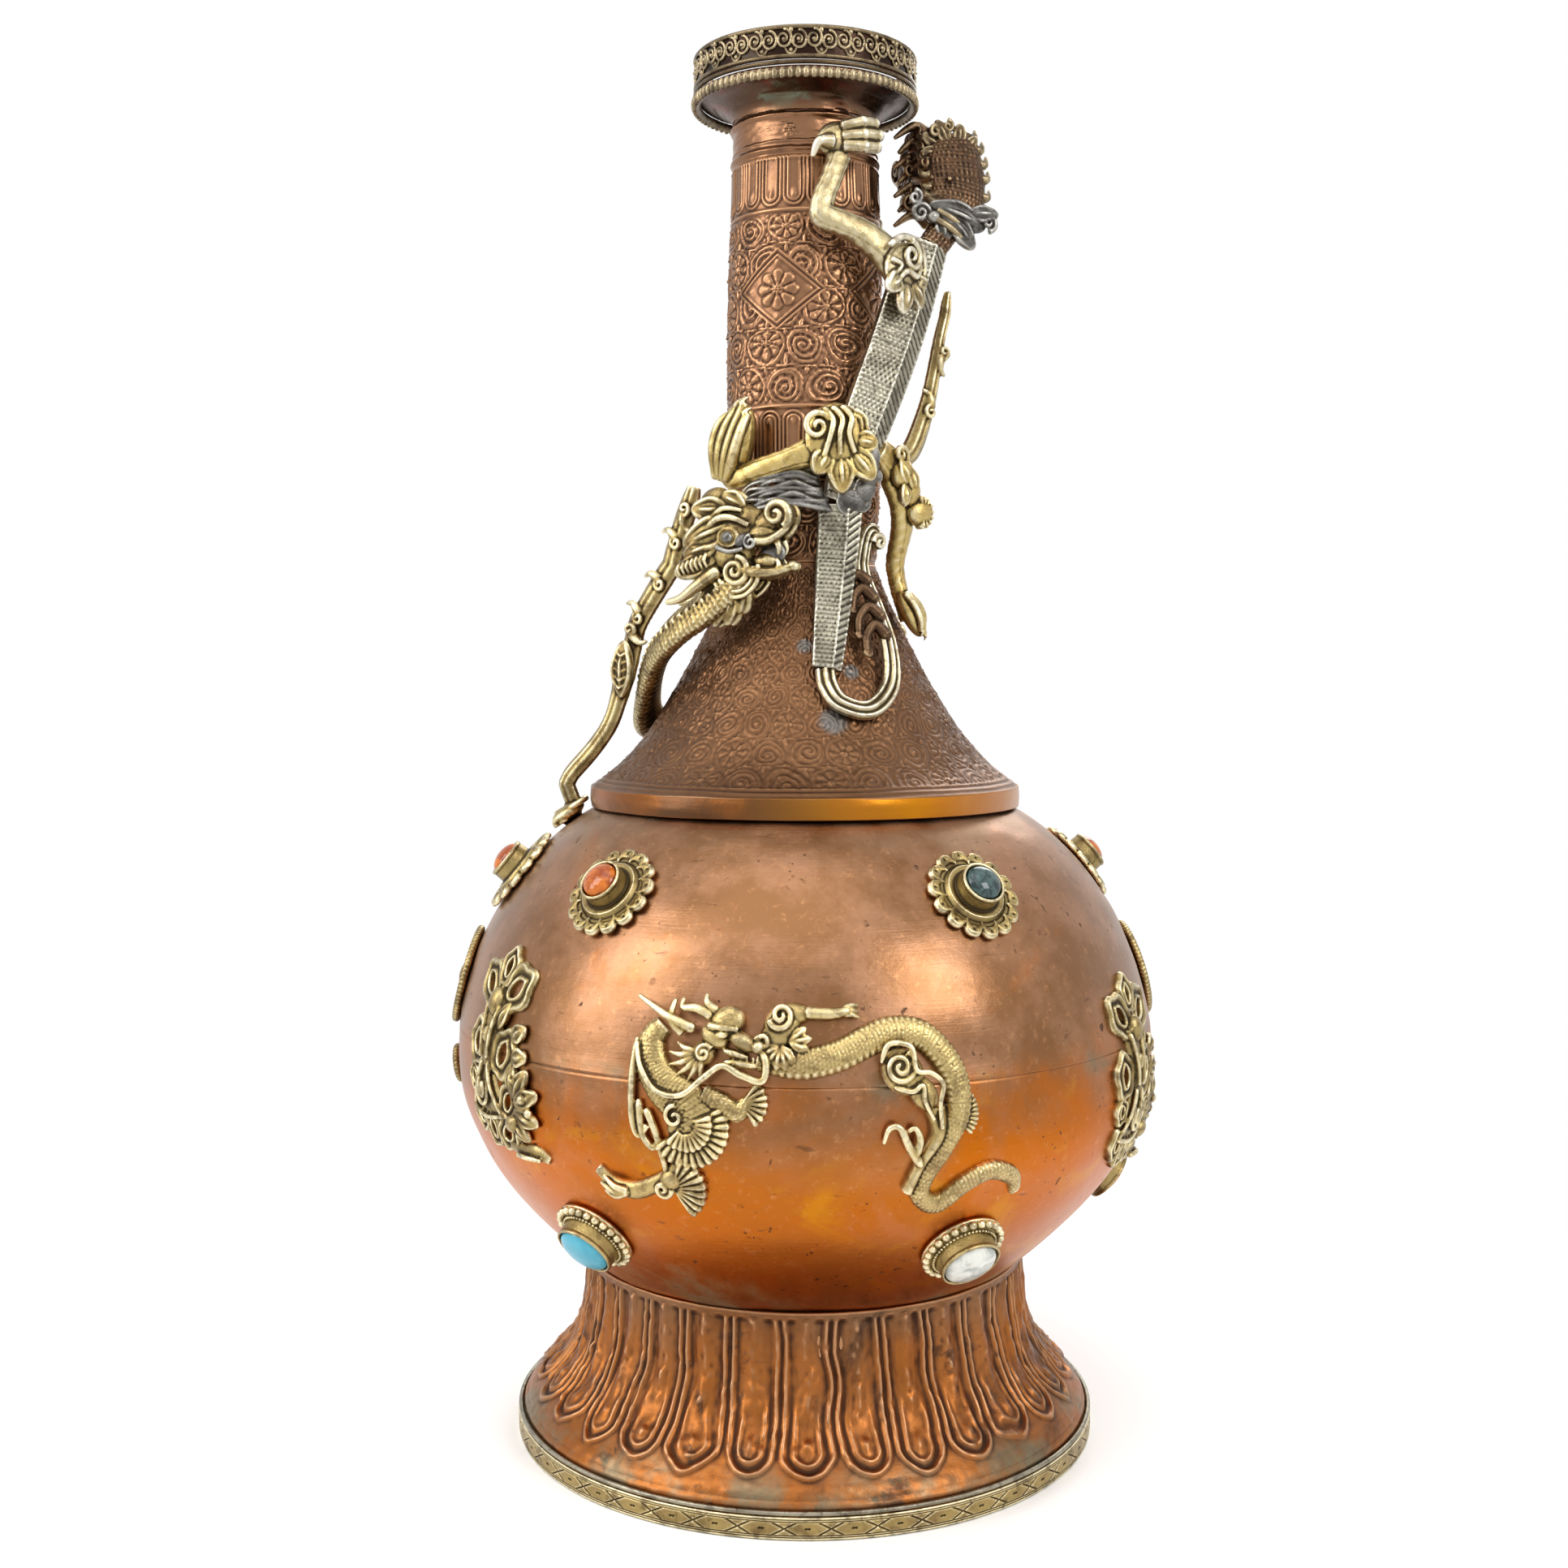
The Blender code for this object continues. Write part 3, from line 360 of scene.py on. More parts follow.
def belly_copper():
    """Brown and pink above the seam, orange and amber below it, with specks, streaks and green stains."""
    g = Graph("belly_copper")
    height = g.axis("Z")
    cloud = g.noise(16, 6, 0.6, twist=0.6)
    patch = g.noise(48, 6, 0.65)
    fine = g.noise(420, 4, 0.7)
    wavy = g.plus(height, g.maths("SUBTRACT", cloud, 0.5), 0.08)
    upper = g.mix(g.step(patch, 0.38, 0.66), COPPER_BROWN, COPPER_PINK)
    # Below the seam the copper is orange and amber, partly its own tone and partly a painted reflection of
    # the pale floor
    warm = g.mix(g.step(cloud, 0.35, 0.7), COPPER_ORANGE, COPPER_RUST)
    blush = g.step(g.noise(27, 6, 0.6, twist=1.2), 0.52, 0.66)
    amber = g.step(g.noise(34, 5, 0.6, twist=0.9), 0.54, 0.68)
    warm = g.layered(warm, ((blush, 0.55, COPPER_ROSE), (amber, 0.7, COPPER_AMBER)))
    colour = g.mix(g.step(wavy, SEAM + 4 * MM, SEAM - 22 * MM), upper, warm)
    specks = g.times(g.step(g.noise(260, 3, 0.5), 0.66, 0.72), g.step(patch, 0.45, 0.62))
    streaks = g.step(g.noise(120, 4, 0.6, stretch=(1.0, 1.0, 3.5), twist=0.4), 0.66, 0.73)
    pits = g.times(g.step(g.noise(620, 2, 0.5), 0.68, 0.73), g.step(patch, 0.50, 0.60))
    colour = g.layered(colour, (
        (g.step(cloud, 0.56, 0.72), 0.55, COPPER_ORANGE),
        (g.step(fine, 0.55, 0.75), 0.35, COPPER_BRIGHT),
        (specks, 0.75, COPPER_DARK),
        (streaks, 0.45, COPPER_STAIN),
        (pits, 0.85, COPPER_DARK),
    ))
    collar = g.step(height, COLLAR_BOTTOM - 0.2 * MM, COLLAR_BOTTOM + 0.4 * MM)
    across = g.axis("X")
    # Painted light on the collar: painted shade to the left, lighter to the right and a painted highlight at
    # the far right
    collar_shade_and_highlight = g.mix(g.step(across, -25 * MM, 35 * MM), COPPER_MATT, COPPER_AMBER)
    collar_shade_and_highlight = g.mix(g.step(across, 30 * MM, 56 * MM), collar_shade_and_highlight, COPPER_RIDGE)
    glow = g.times(g.step(cloud, 0.44, 0.66), 0.75)
    colour = g.mix(collar, colour, g.mix(glow, collar_shade_and_highlight, COPPER_RUST))
    seam_line = g.step(g.maths("ABSOLUTE", g.maths("SUBTRACT", height, SEAM)), 5 * MM, 0.4 * MM)
    seam_stain = g.times(seam_line, g.step(g.noise(30, 5, 0.6), 0.50, 0.66))
    under_collar = g.step(wavy, COLLAR_BOTTOM - 9 * MM, COLLAR_BOTTOM + 2 * MM)
    collar_stain = g.times(under_collar, g.maths("SUBTRACT", 1.0, collar))
    foot_stain = g.step(wavy, FOOT_TOP + 11 * MM, FOOT_TOP)
    stain = g.maths("MAXIMUM", seam_stain, g.maths("MAXIMUM", g.times(collar_stain, 0.35), foot_stain))
    stain = g.times(stain, g.step(patch, 0.34, 0.6))
    colour = g.mix(g.times(stain, 0.62), colour, VERDIGRIS)
    scratch = g.noise(90, 3, 0.6, stretch=(1.0, 1.0, 26.0))
    g.bump(g.plus(fine, scratch, 0.5), 0.06 * MM)
    return g.finish(colour, g.total(0.24, ((patch, 0.16), (stain, 0.25), (specks, 0.25))))


def worked_copper():
    """Matt copper: pinker on the neck and rusty on the foot; dark at the mouth, partly soot and partly
    painted shade under the flange, and near black behind the filigree as painted shade; darker in its
    hollows, partly tarnish and partly painted shade; lighter on its ridges, partly wear and partly a painted
    highlight.
    """
    g = Graph("worked_copper")
    height = g.axis("Z")
    relief = g.relief()
    cloud = g.noise(38, 6, 0.62)
    fine = g.noise(520, 4, 0.7)
    neck = g.step(height, CONE_TOP - 12 * MM, CONE_TOP + 24 * MM)
    foot = g.step(g.plus(height, cloud, 0.03), FOOT_TOP + 20 * MM, FOOT_TOP)
    blot = g.times(g.step(g.noise(75, 5, 0.65, twist=0.5), 0.57, 0.66), foot)
    low = g.step(height, RIM_HEIGHT + 13 * MM, RIM_HEIGHT + 3 * MM)
    grey = g.times(low, g.step(g.noise(55, 5, 0.62), 0.42, 0.62))
    # Above the sleeve the mouth is darkened, partly soot and partly painted shade under the flange
    mouth_soot_and_shade = g.step(height, SLEEVE_TOP - 1 * MM, SLEEVE_TOP + 4 * MM)
    scale = g.times(mouth_soot_and_shade, g.step(g.noise(85, 5, 0.62, twist=0.7), 0.50, 0.64))
    bloom = g.times(mouth_soot_and_shade, g.step(g.noise(62, 5, 0.65, twist=0.9), 0.54, 0.66))
    above = g.step(height, COLLAR_TOP - 1 * MM, COLLAR_TOP)
    cone = g.times(above, g.step(height, CONE_TOP + 6 * MM, CONE_TOP - 14 * MM))
    strength = g.maths("SUBTRACT", 1.0, g.times(cone, 0.62))
    hollow = g.times(g.step(relief, 0.08, -0.70), strength)
    ridge = g.times(g.step(relief, 0.20, 0.95), strength)
    solder = [(g.near(place, reach), 0.75, SOLDER_GREY) for place, reach in SOLDER_SPOTS]
    colour = g.layered(g.mix(g.step(cloud, 0.36, 0.66), COPPER_MATT, COPPER_WORN), (
        (neck, 0.6, COPPER_PINK),
        (foot, 0.62, COPPER_RUST),
        (g.step(g.noise(24, 6, 0.65, twist=0.8), 0.55, 0.70), 0.72, COPPER_STAIN),
        (blot, 0.80, COPPER_STAIN),
        (grey, 0.60, VERDIGRIS),
        (g.step(fine, 0.5, 0.8), 0.6, COPPER_WORN),
        (mouth_soot_and_shade, 0.85, COPPER_STAIN),
        (scale, 0.70, COPPER_SCALE),
        (bloom, 0.55, VERDIGRIS),
        # The gallery's backing wall is painted near black: painted shade behind the filigree
        (g.step(height, GALLERY_BOTTOM + 0.5 * MM, GALLERY_BOTTOM + 1.5 * MM), 0.85, COPPER_BLACK),
        (cone, 0.40, COPPER_MATT),
        *solder,
        # Hollows darker, partly tarnish and partly painted shade; ridges lighter, partly wear and partly a
        # painted highlight
        (hollow, 0.90, COPPER_DARK),
        (ridge, 0.72, COPPER_RIDGE),
    ))
    g.bump(fine, 0.10 * MM)
    return g.finish(colour, g.total(0.28, ((fine, 0.24), (neck, -0.11), (hollow, 0.22))))


def cast_metal(name, metal, ridge_wear_and_highlight, tarnish, hollow_dirt_and_shade, tarnish_share):
    """Cast and chased metal: lighter on the ridges, partly wear and partly a painted highlight;
    darker in the hollows, partly dirt and partly painted shade.
    """
    g = Graph(name)
    relief = g.relief()
    fine = g.noise(900, 4, 0.7)
    grime = tuple(0.55 * a + 0.45 * b for a, b in zip(tarnish, hollow_dirt_and_shade))
    hollow = g.step(relief, 0.14, -0.55)
    colour = g.layered(metal, (
        (g.step(g.noise(70, 6, 0.62), 0.42, 0.68), tarnish_share, tarnish),
        # Ridges lighter: partly wear, partly a painted highlight
        (g.step(relief, 0.20, 0.90), 0.8, ridge_wear_and_highlight),
        (g.step(g.noise(210, 6, 0.68, twist=0.8), 0.47, 0.64), 0.66, grime),
        # Hollows darker: partly dirt, partly painted shade
        (hollow, 0.93, hollow_dirt_and_shade),
    ))
    g.bump(g.maths("ADD", fine, g.noise(2600, 2, 0.6)), 0.09 * MM)
    return g.finish(colour, g.total(0.22, ((fine, 0.20), (hollow, 0.28))))


def carnelian():
    g = Graph("carnelian")
    cloud = g.noise(190, 4, 0.55, twist=0.8)
    colour = g.mix(g.step(cloud, 0.34, 0.66), (0.22, 0.026, 0.002), (0.58, 0.150, 0.008))
    return g.finish(colour, 0.08, 0.0)


def moss_agate():
    g = Graph("moss_agate")
    cloud = g.noise(300, 6, 0.65, twist=1.6)
    colour = g.mix(g.step(cloud, 0.38, 0.62), (0.008, 0.022, 0.023), (0.058, 0.105, 0.100))
    specks = g.step(g.noise(420, 4, 0.6), 0.60, 0.72)
    colour = g.layered(colour, ((specks, 0.6, (0.05, 0.028, 0.016)),))
    return g.finish(colour, 0.08, 0.0)


def turquoise():
    g = Graph("turquoise")
    cloud = g.noise(300, 5, 0.6)
    colour = g.mix(cloud, (0.035, 0.29, 0.42), (0.10, 0.45, 0.56))
    web = g.step(g.noise(420, 4, 0.7, twist=1.5), 0.60, 0.68)
    colour = g.layered(colour, ((web, 0.35, (0.05, 0.13, 0.14)),))
    return g.finish(colour, 0.26, 0.0)


def moonstone():
    g = Graph("moonstone")
    cloud = g.noise(210, 4, 0.6, twist=0.8)
    colour = g.mix(g.step(cloud, 0.36, 0.64), (0.40, 0.42, 0.39), (0.74, 0.74, 0.68))
    return g.finish(colour, 0.12, 0.0, Subsurface_Weight=0.4, Subsurface_Radius=(0.002, 0.002, 0.002))


# Ridge colours are partly wear and partly a painted highlight; hollow colours partly dirt and partly painted
# shade
BRASS_WEAR_AND_HIGHLIGHT = (0.96, 0.86, 0.57)
BRASS_DIRT_AND_SHADE = (0.026, 0.017, 0.010)
SILVER_DIRT_AND_SHADE = (0.030, 0.025, 0.020)
ANTIQUE_DIRT_AND_SHADE = (0.018, 0.012, 0.008)
# Cast metals, as (metal, ridges: wear and painted highlight, tarnish, hollows: dirt and painted shade, share
# of tarnish)
CAST_METALS = {
    "brass": ((0.385, 0.285, 0.112), BRASS_WEAR_AND_HIGHLIGHT, (0.20, 0.130, 0.056), BRASS_DIRT_AND_SHADE, 0.7),
    "silvered_brass": ((0.38, 0.350, 0.265), (0.84, 0.81, 0.69), (0.15, 0.125, 0.088), SILVER_DIRT_AND_SHADE, 0.75),
    "bright_brass": ((0.52, 0.390, 0.160), BRASS_WEAR_AND_HIGHLIGHT, (0.29, 0.190, 0.080), BRASS_DIRT_AND_SHADE, 0.6),
    "pale_brass": ((0.52, 0.435, 0.250), (0.96, 0.92, 0.78), (0.36, 0.255, 0.110), BRASS_DIRT_AND_SHADE, 0.6),
    "gold_brass": ((0.58, 0.440, 0.170), (0.96, 0.88, 0.62), (0.42, 0.265, 0.070), BRASS_DIRT_AND_SHADE, 0.6),
    "antique_brass": ((0.155, 0.110, 0.060), (0.50, 0.40, 0.245), (0.070, 0.044, 0.025), ANTIQUE_DIRT_AND_SHADE, 0.7),
    "brown_cast": ((0.120, 0.066, 0.036), (0.40, 0.275, 0.155), (0.060, 0.034, 0.021), ANTIQUE_DIRT_AND_SHADE, 0.7),
    "grey_cast": ((0.150, 0.142, 0.128), (0.58, 0.56, 0.51), (0.055, 0.050, 0.045), ANTIQUE_DIRT_AND_SHADE, 0.7),
}
FINISHES = {name: cast_metal(name, *metal) for name, metal in CAST_METALS.items()}
for make_finish in (belly_copper, worked_copper, carnelian, moss_agate, turquoise, moonstone):
    FINISHES[make_finish.__name__] = make_finish()


# Meshes from arrays

def mesh_object(name, points, faces):
    mesh = bpy.data.meshes.new(name)
    mesh.from_pydata(points, [], faces)
    mesh.update()
    shape = bpy.data.objects.new(name, mesh)
    bpy.context.scene.collection.objects.link(shape)
    return shape


def outward(shape):
    """Turns the faces of a closed mesh outward and shades it smooth."""
    bm = bmesh.new()
    bm.from_mesh(shape.data)
    bmesh.ops.recalc_face_normals(bm, faces=bm.faces)
    bm.to_mesh(shape.data)
    bm.free()
    shape.data.shade_smooth()
    return shape


def grid_faces(rows, columns, wrap_rows, wrap_columns, first=0):
    index = np.arange(rows * columns).reshape(rows, columns) + first
    if wrap_rows:
        index = np.vstack([index, index[:1]])
    if wrap_columns:
        index = np.hstack([index, index[:, :1]])
    corners = [index[:-1, :-1], index[:-1, 1:], index[1:, 1:], index[1:, :-1]]
    return np.stack(corners, -1).reshape(-1, 4)


def lofted(runs, wrap_rows=False):
    """Points and faces of closed rings stacked in runs of (rows, columns, 3), with flat caps on open ends."""
    points, faces = [], []
    first = 0
    for run in runs:
        run = np.asarray(run, dtype=float)
        rows, columns = run.shape[:2]
        points.append(run.reshape(-1, 3))
        faces.extend(grid_faces(rows, columns, wrap_rows, True, first).tolist())
        if not wrap_rows:
            faces.append(list(range(first, first + columns)))
            faces.append(list(range(first + rows * columns - 1, first + (rows - 1) * columns - 1, -1)))
        first += rows * columns
    return np.concatenate(points), faces


def solid(name, runs, wrap_rows=False):
    """A closed smooth mesh from stacked rings."""
    return outward(mesh_object(name, *lofted(runs, wrap_rows)))


def vertex_rows(mesh, what="co"):
    """Places or normals of a mesh's vertices, one row each."""
    found = np.empty(len(mesh.vertices) * 3)
    mesh.vertices.foreach_get(what, found)
    return found.reshape(-1, 3)


def mark_relief(shape, reach, depth):
    """Writes how far each vertex stands above (1) or below (-1) its smoothed surroundings."""
    mesh = shape.data
    place = vertex_rows(mesh)
    normal = vertex_rows(mesh, "normal")
    count = len(place)
    ends = np.empty(len(mesh.edges) * 2, dtype=np.int64)
    mesh.edges.foreach_get("vertices", ends)
    start, end = ends[0::2], ends[1::2]
    valence = np.maximum(np.bincount(ends, minlength=count), 1)
    calm = place.copy()
    for turn in range(reach):
        if turn == reach // 4:
            near = calm.copy()
        for axis in range(3):
            total = np.bincount(start, calm[end, axis], count) + np.bincount(end, calm[start, axis], count)
            calm[:, axis] = 0.4 * calm[:, axis] + 0.6 * total / valence
    small = ((place - near) * normal).sum(1) / (0.5 * depth)
    broad = ((place - calm) * normal).sum(1) / (1.6 * depth)
    rise = np.clip(0.5 * small + 0.8 * broad, -1, 1)
    layer = mesh.attributes.new("relief", "FLOAT", "POINT")
    layer.data.foreach_set("value", rise.astype(np.float32))


def place_piece(shape, slot, node, shade=None, finish=None):
    """Marks the relief if a shade is given, gives a piece the named finish or else its slot's,
    hangs it under the root and hides the imported node.
    """
    if shade:
        mark_relief(shape, *shade)
    shape.data.materials.clear()
    shape.data.materials.append(FINISHES[finish or slot])
    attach(shape, "root")
    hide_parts(node)


# Angles, directions and lengths

def circle(count):
    """Angles evenly round a full turn."""
    return TAU * np.arange(count) / count


def unit(rows):
    return rows / np.linalg.norm(rows, axis=1, keepdims=True)


def directions(path):
    """Unit directions along a path of points."""
    return unit(np.gradient(path, axis=0))


def steps_along(path):
    """Lengths of the steps of a path of points."""
    return np.linalg.norm(np.diff(path, axis=0), axis=1)


def running(steps):
    """Running total of steps, from 0."""
    return np.concatenate([[0], np.cumsum(steps)])


def on_band(turn, height, radius):
    """Point at a turn about the axis from the front."""
    return np.array([radius * math.sin(turn), -radius * math.cos(turn), height])


def spokes(turn, side, up):
    """Directions at some turns in the plane of two directions."""
    return np.cos(turn)[:, None] * side + np.sin(turn)[:, None] * up


# Profiles of the vessel

def belly_radius(height):
    upper = np.clip((height - BELLY_EQUATOR) / BELLY_RISE, 0, 1)
    lower = np.clip((BELLY_EQUATOR - height) / BELLY_DROP, 0, 1)
    above = (1 - upper**SHOULDER_CURVE) ** SHOULDER_POWER
    below = (1 - lower**UNDER_CURVE) ** UNDER_POWER
    return BELLY_RADIUS * above * below


def foot_radius(height):
    part = np.clip((height - RIM_HEIGHT) / (FOOT_TOP - RIM_HEIGHT), 0, 1)
    return FOOT_WAIST_RADIUS + (LIP_RADIUS - FOOT_WAIST_RADIUS) / (1 + (part / FLARE_MIDDLE) ** FLARE_POWER)


def cone_radius(height):
    left = 1 - np.clip((height - CONE_BOTTOM) / (CONE_TOP - CONE_BOTTOM), 0, 1)
    share = CONE_BROAD_SHARE * left**CONE_BROAD_POWER + (1 - CONE_BROAD_SHARE) * left**CONE_LIP_POWER
    return NECK_RADIUS + (COLLAR_RADIUS - NECK_RADIUS) * share


def neck_radius(height):
    part = np.clip((height - CONE_TOP) / (NECK_TOP - CONE_TOP), 0, 1)
    return NECK_RADIUS + NECK_SWELL * np.sin(np.pi * part)


def even_profile(radius_at, low, high, count):
    """(radius, height) points evenly spaced along a profile."""
    fine = np.linspace(low, high, PROFILE_SAMPLES)
    radius = radius_at(fine)
    run = running(np.hypot(np.diff(radius), np.diff(fine)))
    height = np.interp(np.linspace(0, run[-1], count), run, fine)
    return np.stack([radius_at(height), height], -1)


def profile_normals(profile):
    along = np.gradient(profile, axis=0)
    return unit(np.stack([along[:, 1], -along[:, 0]], -1))


def turned_points(radius, height, columns):
    turn = circle(columns)
    return np.stack([radius * np.sin(turn), -radius * np.cos(turn), height + 0 * turn], -1)


def turned_grid(profile, columns, rise):
    """Points of a turned surface lifted along its normals by rise of shape (rows, columns)."""
    across = profile_normals(profile)
    radius = profile[:, :1] + across[:, :1] * rise
    height = profile[:, 1:] + across[:, 1:] * rise
    return turned_points(radius, height, columns)


def turned_sheet(name, profile, columns, rise=None, wall=SHEET):
    """A sheet-metal form: the outside carries the relief and the inside is smooth."""
    flat = np.zeros((len(profile), columns))
    outer = turned_grid(profile, columns, flat if rise is None else rise)
    inner = turned_grid(profile, columns, flat - wall)
    pick = np.linspace(len(profile) - 1, 0, len(profile) // INSIDE_THINNING + 2).astype(int)
    return solid(name, [np.concatenate([outer, inner[pick]])], True)


def turned_ring(name, outline, columns):
    """A closed outline of (radius, height) points turned about the axis."""
    outline = np.asarray(outline)
    return solid(name, [turned_points(outline[:, :1], outline[:, 1:], columns)], True)


def upright(radius, heights):
    """Profile of a plain cylinder."""
    return np.stack([np.full(len(heights), radius), heights], -1)


def wire_outline(radius, height, size, sides=16):
    turn = circle(sides)
    return np.stack([radius + size * np.cos(turn), height + size * np.sin(turn)], -1)


def make_wire(name, node, columns, slot, finish=None):
    """A round wire ring in the place of a node."""
    low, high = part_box(node)
    size = 0.5 * (high[2] - low[2])
    outline = wire_outline(high[0] - size, 0.5 * (low[2] + high[2]), size)
    place_piece(turned_ring(name, outline, columns), slot, node, finish=finish)


# Relief patterns; each returns heights between about -1 and 1

def line(distance, width):
    return np.exp(-((distance / width) ** 2))


def inside(distance, edge, soft):
    """1 where distance is under the edge, falling to 0 over the soft width."""
    return np.clip((edge - distance) / soft + 0.5, 0, 1)


def tongue(x, y):
    """A petal or lappet one unit wide with its round end at y = 0, with double outline and a drop boss."""
    spine = np.where(y < 0.46, np.hypot(x, 0.46 - y), np.abs(x))
    body = 0.55 * np.sqrt(np.clip(1 - (spine / 0.47) ** 2, 0, 1))
    outlines = 0.75 * line(spine - 0.42, 0.055) + 0.5 * line(spine - 0.25, 0.045)
    groove = -0.45 * line(spine - 0.335, 0.045)
    drop = 0.75 * np.exp(-((x / 0.10) ** 2) - ((y - 0.46) / 0.20) ** 2)
    return body + outlines + groove + drop


def lotus(x, y):
    """A long petal one unit wide, pointed at y = 0, with a raised edge, a rib and a drop in its end."""
    tip = (np.abs(x) ** 1.7 + np.clip(0.5 - y, 0, None) ** 1.7) ** (1 / 1.7)
    body = 0.40 * np.sqrt(np.clip(1 - (tip / 0.47) ** 2, 0, 1))
    edge = 0.85 * line(tip - 0.415, 0.050) - 0.40 * line(tip - 0.31, 0.055)
    nested = 0.55 * line(tip - 0.215, 0.045) * np.clip((1.5 - y) / 0.5, 0, 1)
    drop = 0.95 * np.exp(-((x / 0.10) ** 2) - ((y - 0.56) / 0.17) ** 2)
    rib = (0.95 * line(x, 0.11) - 0.35 * line(np.abs(x) - 0.24, 0.06)) * np.clip((y - 0.9) / 0.4, 0, 1)
    return body + edge + nested + drop + rib


def flower(x, y, petals, size):
    """A round flower with a ring and a boss at its middle."""
    reach = np.hypot(x, y) / size
    angle = np.arctan2(y, x)
    lobe = 0.80 + 0.20 * np.abs(np.cos(0.5 * petals * angle))
    body = inside(reach, lobe, 0.12) * (0.55 + 0.45 * np.abs(np.cos(0.5 * petals * angle)))
    veins = -0.5 * line(np.abs(np.sin(0.5 * petals * angle)) - 1, 0.10) * inside(reach, 0.8, 0.1)
    middle = 0.9 * line(reach, 0.22) - 0.5 * line(reach - 0.33, 0.07)
    return body + veins + middle


def scroll(x, y, hand, size):
    """A coiled tendril with a boss in the middle and a ring round it."""
    reach = np.hypot(x, y) / size
    turns = reach * 2.6 - hand * np.arctan2(y, x) / TAU
    arm = line(turns - np.round(turns), 0.20) * inside(reach, 0.90, 0.1)
    return 0.85 * arm + 0.9 * line(reach, 0.16) + 0.7 * line(reach - 0.98, 0.09)


def leaf_fill(x, y):
    """Three-lobed leaves and dots in the corners between round motifs."""
    dx = np.abs(x) - 0.5
    dy = np.abs(y) - 0.5
    reach = np.hypot(dx, dy)
    angle = np.arctan2(dy, dx)
    lobes = 0.20 * (0.62 + 0.38 * np.cos(4 * angle))
    return 0.85 * inside(reach, lobes, 0.05) + 0.6 * line(reach, 0.05)


def scroll_ground(u, v):
    """A ground of scrolls and flowers in staggered cells one unit wide."""
    row = np.floor(v)
    shifted = u + 0.5 * (row % 2)
    column = np.floor(shifted)
    x = shifted - column - 0.5
    y = v - row - 0.5
    odd = (row + column) % 2
    coil = scroll(x, y, np.where(odd > 0, 1, -1), 0.43)
    bloom = flower(x, y, 8, 0.40) + 0.7 * line(np.hypot(x, y) - 0.46, 0.04)
    pick = (column + 2 * row) % 3
    return np.where(pick < 1, bloom, coil) + leaf_fill(x, y)


def cell_rows(profile, columns):
    """Running coordinate up a turned surface, in cells that stay square at every radius."""
    radius = 0.5 * (profile[1:, 0] + profile[:-1, 0])
    return (running(steps_along(profile) / radius) * columns / TAU)[:, None]


def cells_round(count, columns):
    """Running coordinate round a turned surface, in cells."""
    return (count * np.arange(columns) / columns)[None, :]


def fade(values, low, high, soft):
    """1 between low and high, falling to 0 over the soft width at both ends."""
    return np.clip((values - low) / soft, 0, 1) * np.clip((high - values) / soft, 0, 1)


def smooth_noise(rows, columns, coarse_rows, coarse_columns, seed):
    """Gentle random dents that join round the turn."""
    coarse = np.random.default_rng(seed).normal(size=(coarse_rows, coarse_columns))
    coarse = np.hstack([coarse, coarse[:, :2]])
    down = np.linspace(0, coarse_rows - 1.001, rows)
    across = np.linspace(0, coarse_columns, columns, endpoint=False)
    i, j = down.astype(int), across.astype(int)
    a = down - i
    b = across - j
    a = (a * a * (3 - 2 * a))[:, None]
    b = (b * b * (3 - 2 * b))[None, :]
    near = coarse[np.ix_(i, j)] * (1 - b) + coarse[np.ix_(i, j + 1)] * b
    far = coarse[np.ix_(i + 1, j)] * (1 - b) + coarse[np.ix_(i + 1, j + 1)] * b
    return near * (1 - a) + far * a


def dented(mesh, *layers):
    """Random dents over (rows, columns), from layers of (coarse rows, coarse columns, seed, depth)."""
    return sum(depth * smooth_noise(*mesh, rows, columns, seed) for rows, columns, seed, depth in layers)


# Vessel

def make_belly():
    """Two hammered halves that meet in a raised lip at the seam."""
    rows, columns = BELLY_MESH
    for name, node, low, high, seed in (
        ("belly_bowl", "belly_lower", BELLY_BOTTOM + 0.2 * MM, SEAM + 0.1 * MM, 3),
        ("belly_dome", "belly_upper", SEAM + 0.15 * MM, BELLY_TOP, 5),
    ):
        profile = even_profile(belly_radius, low, high, rows)
        dents = dented(BELLY_MESH, (16, 44, seed, 0.07), (6, 12, seed, 0.16))
        edge = np.clip(np.abs(profile[:, 1] - SEAM) / (4 * MM), 0, 1)[:, None]
        lip = 0.10 * line((profile[:, 1] - SEAM) / MM, 1.2)[:, None]
        piece = turned_sheet(name, profile, columns, (dents * edge + lip) * MM)
        place_piece(piece, "belly_copper", node)


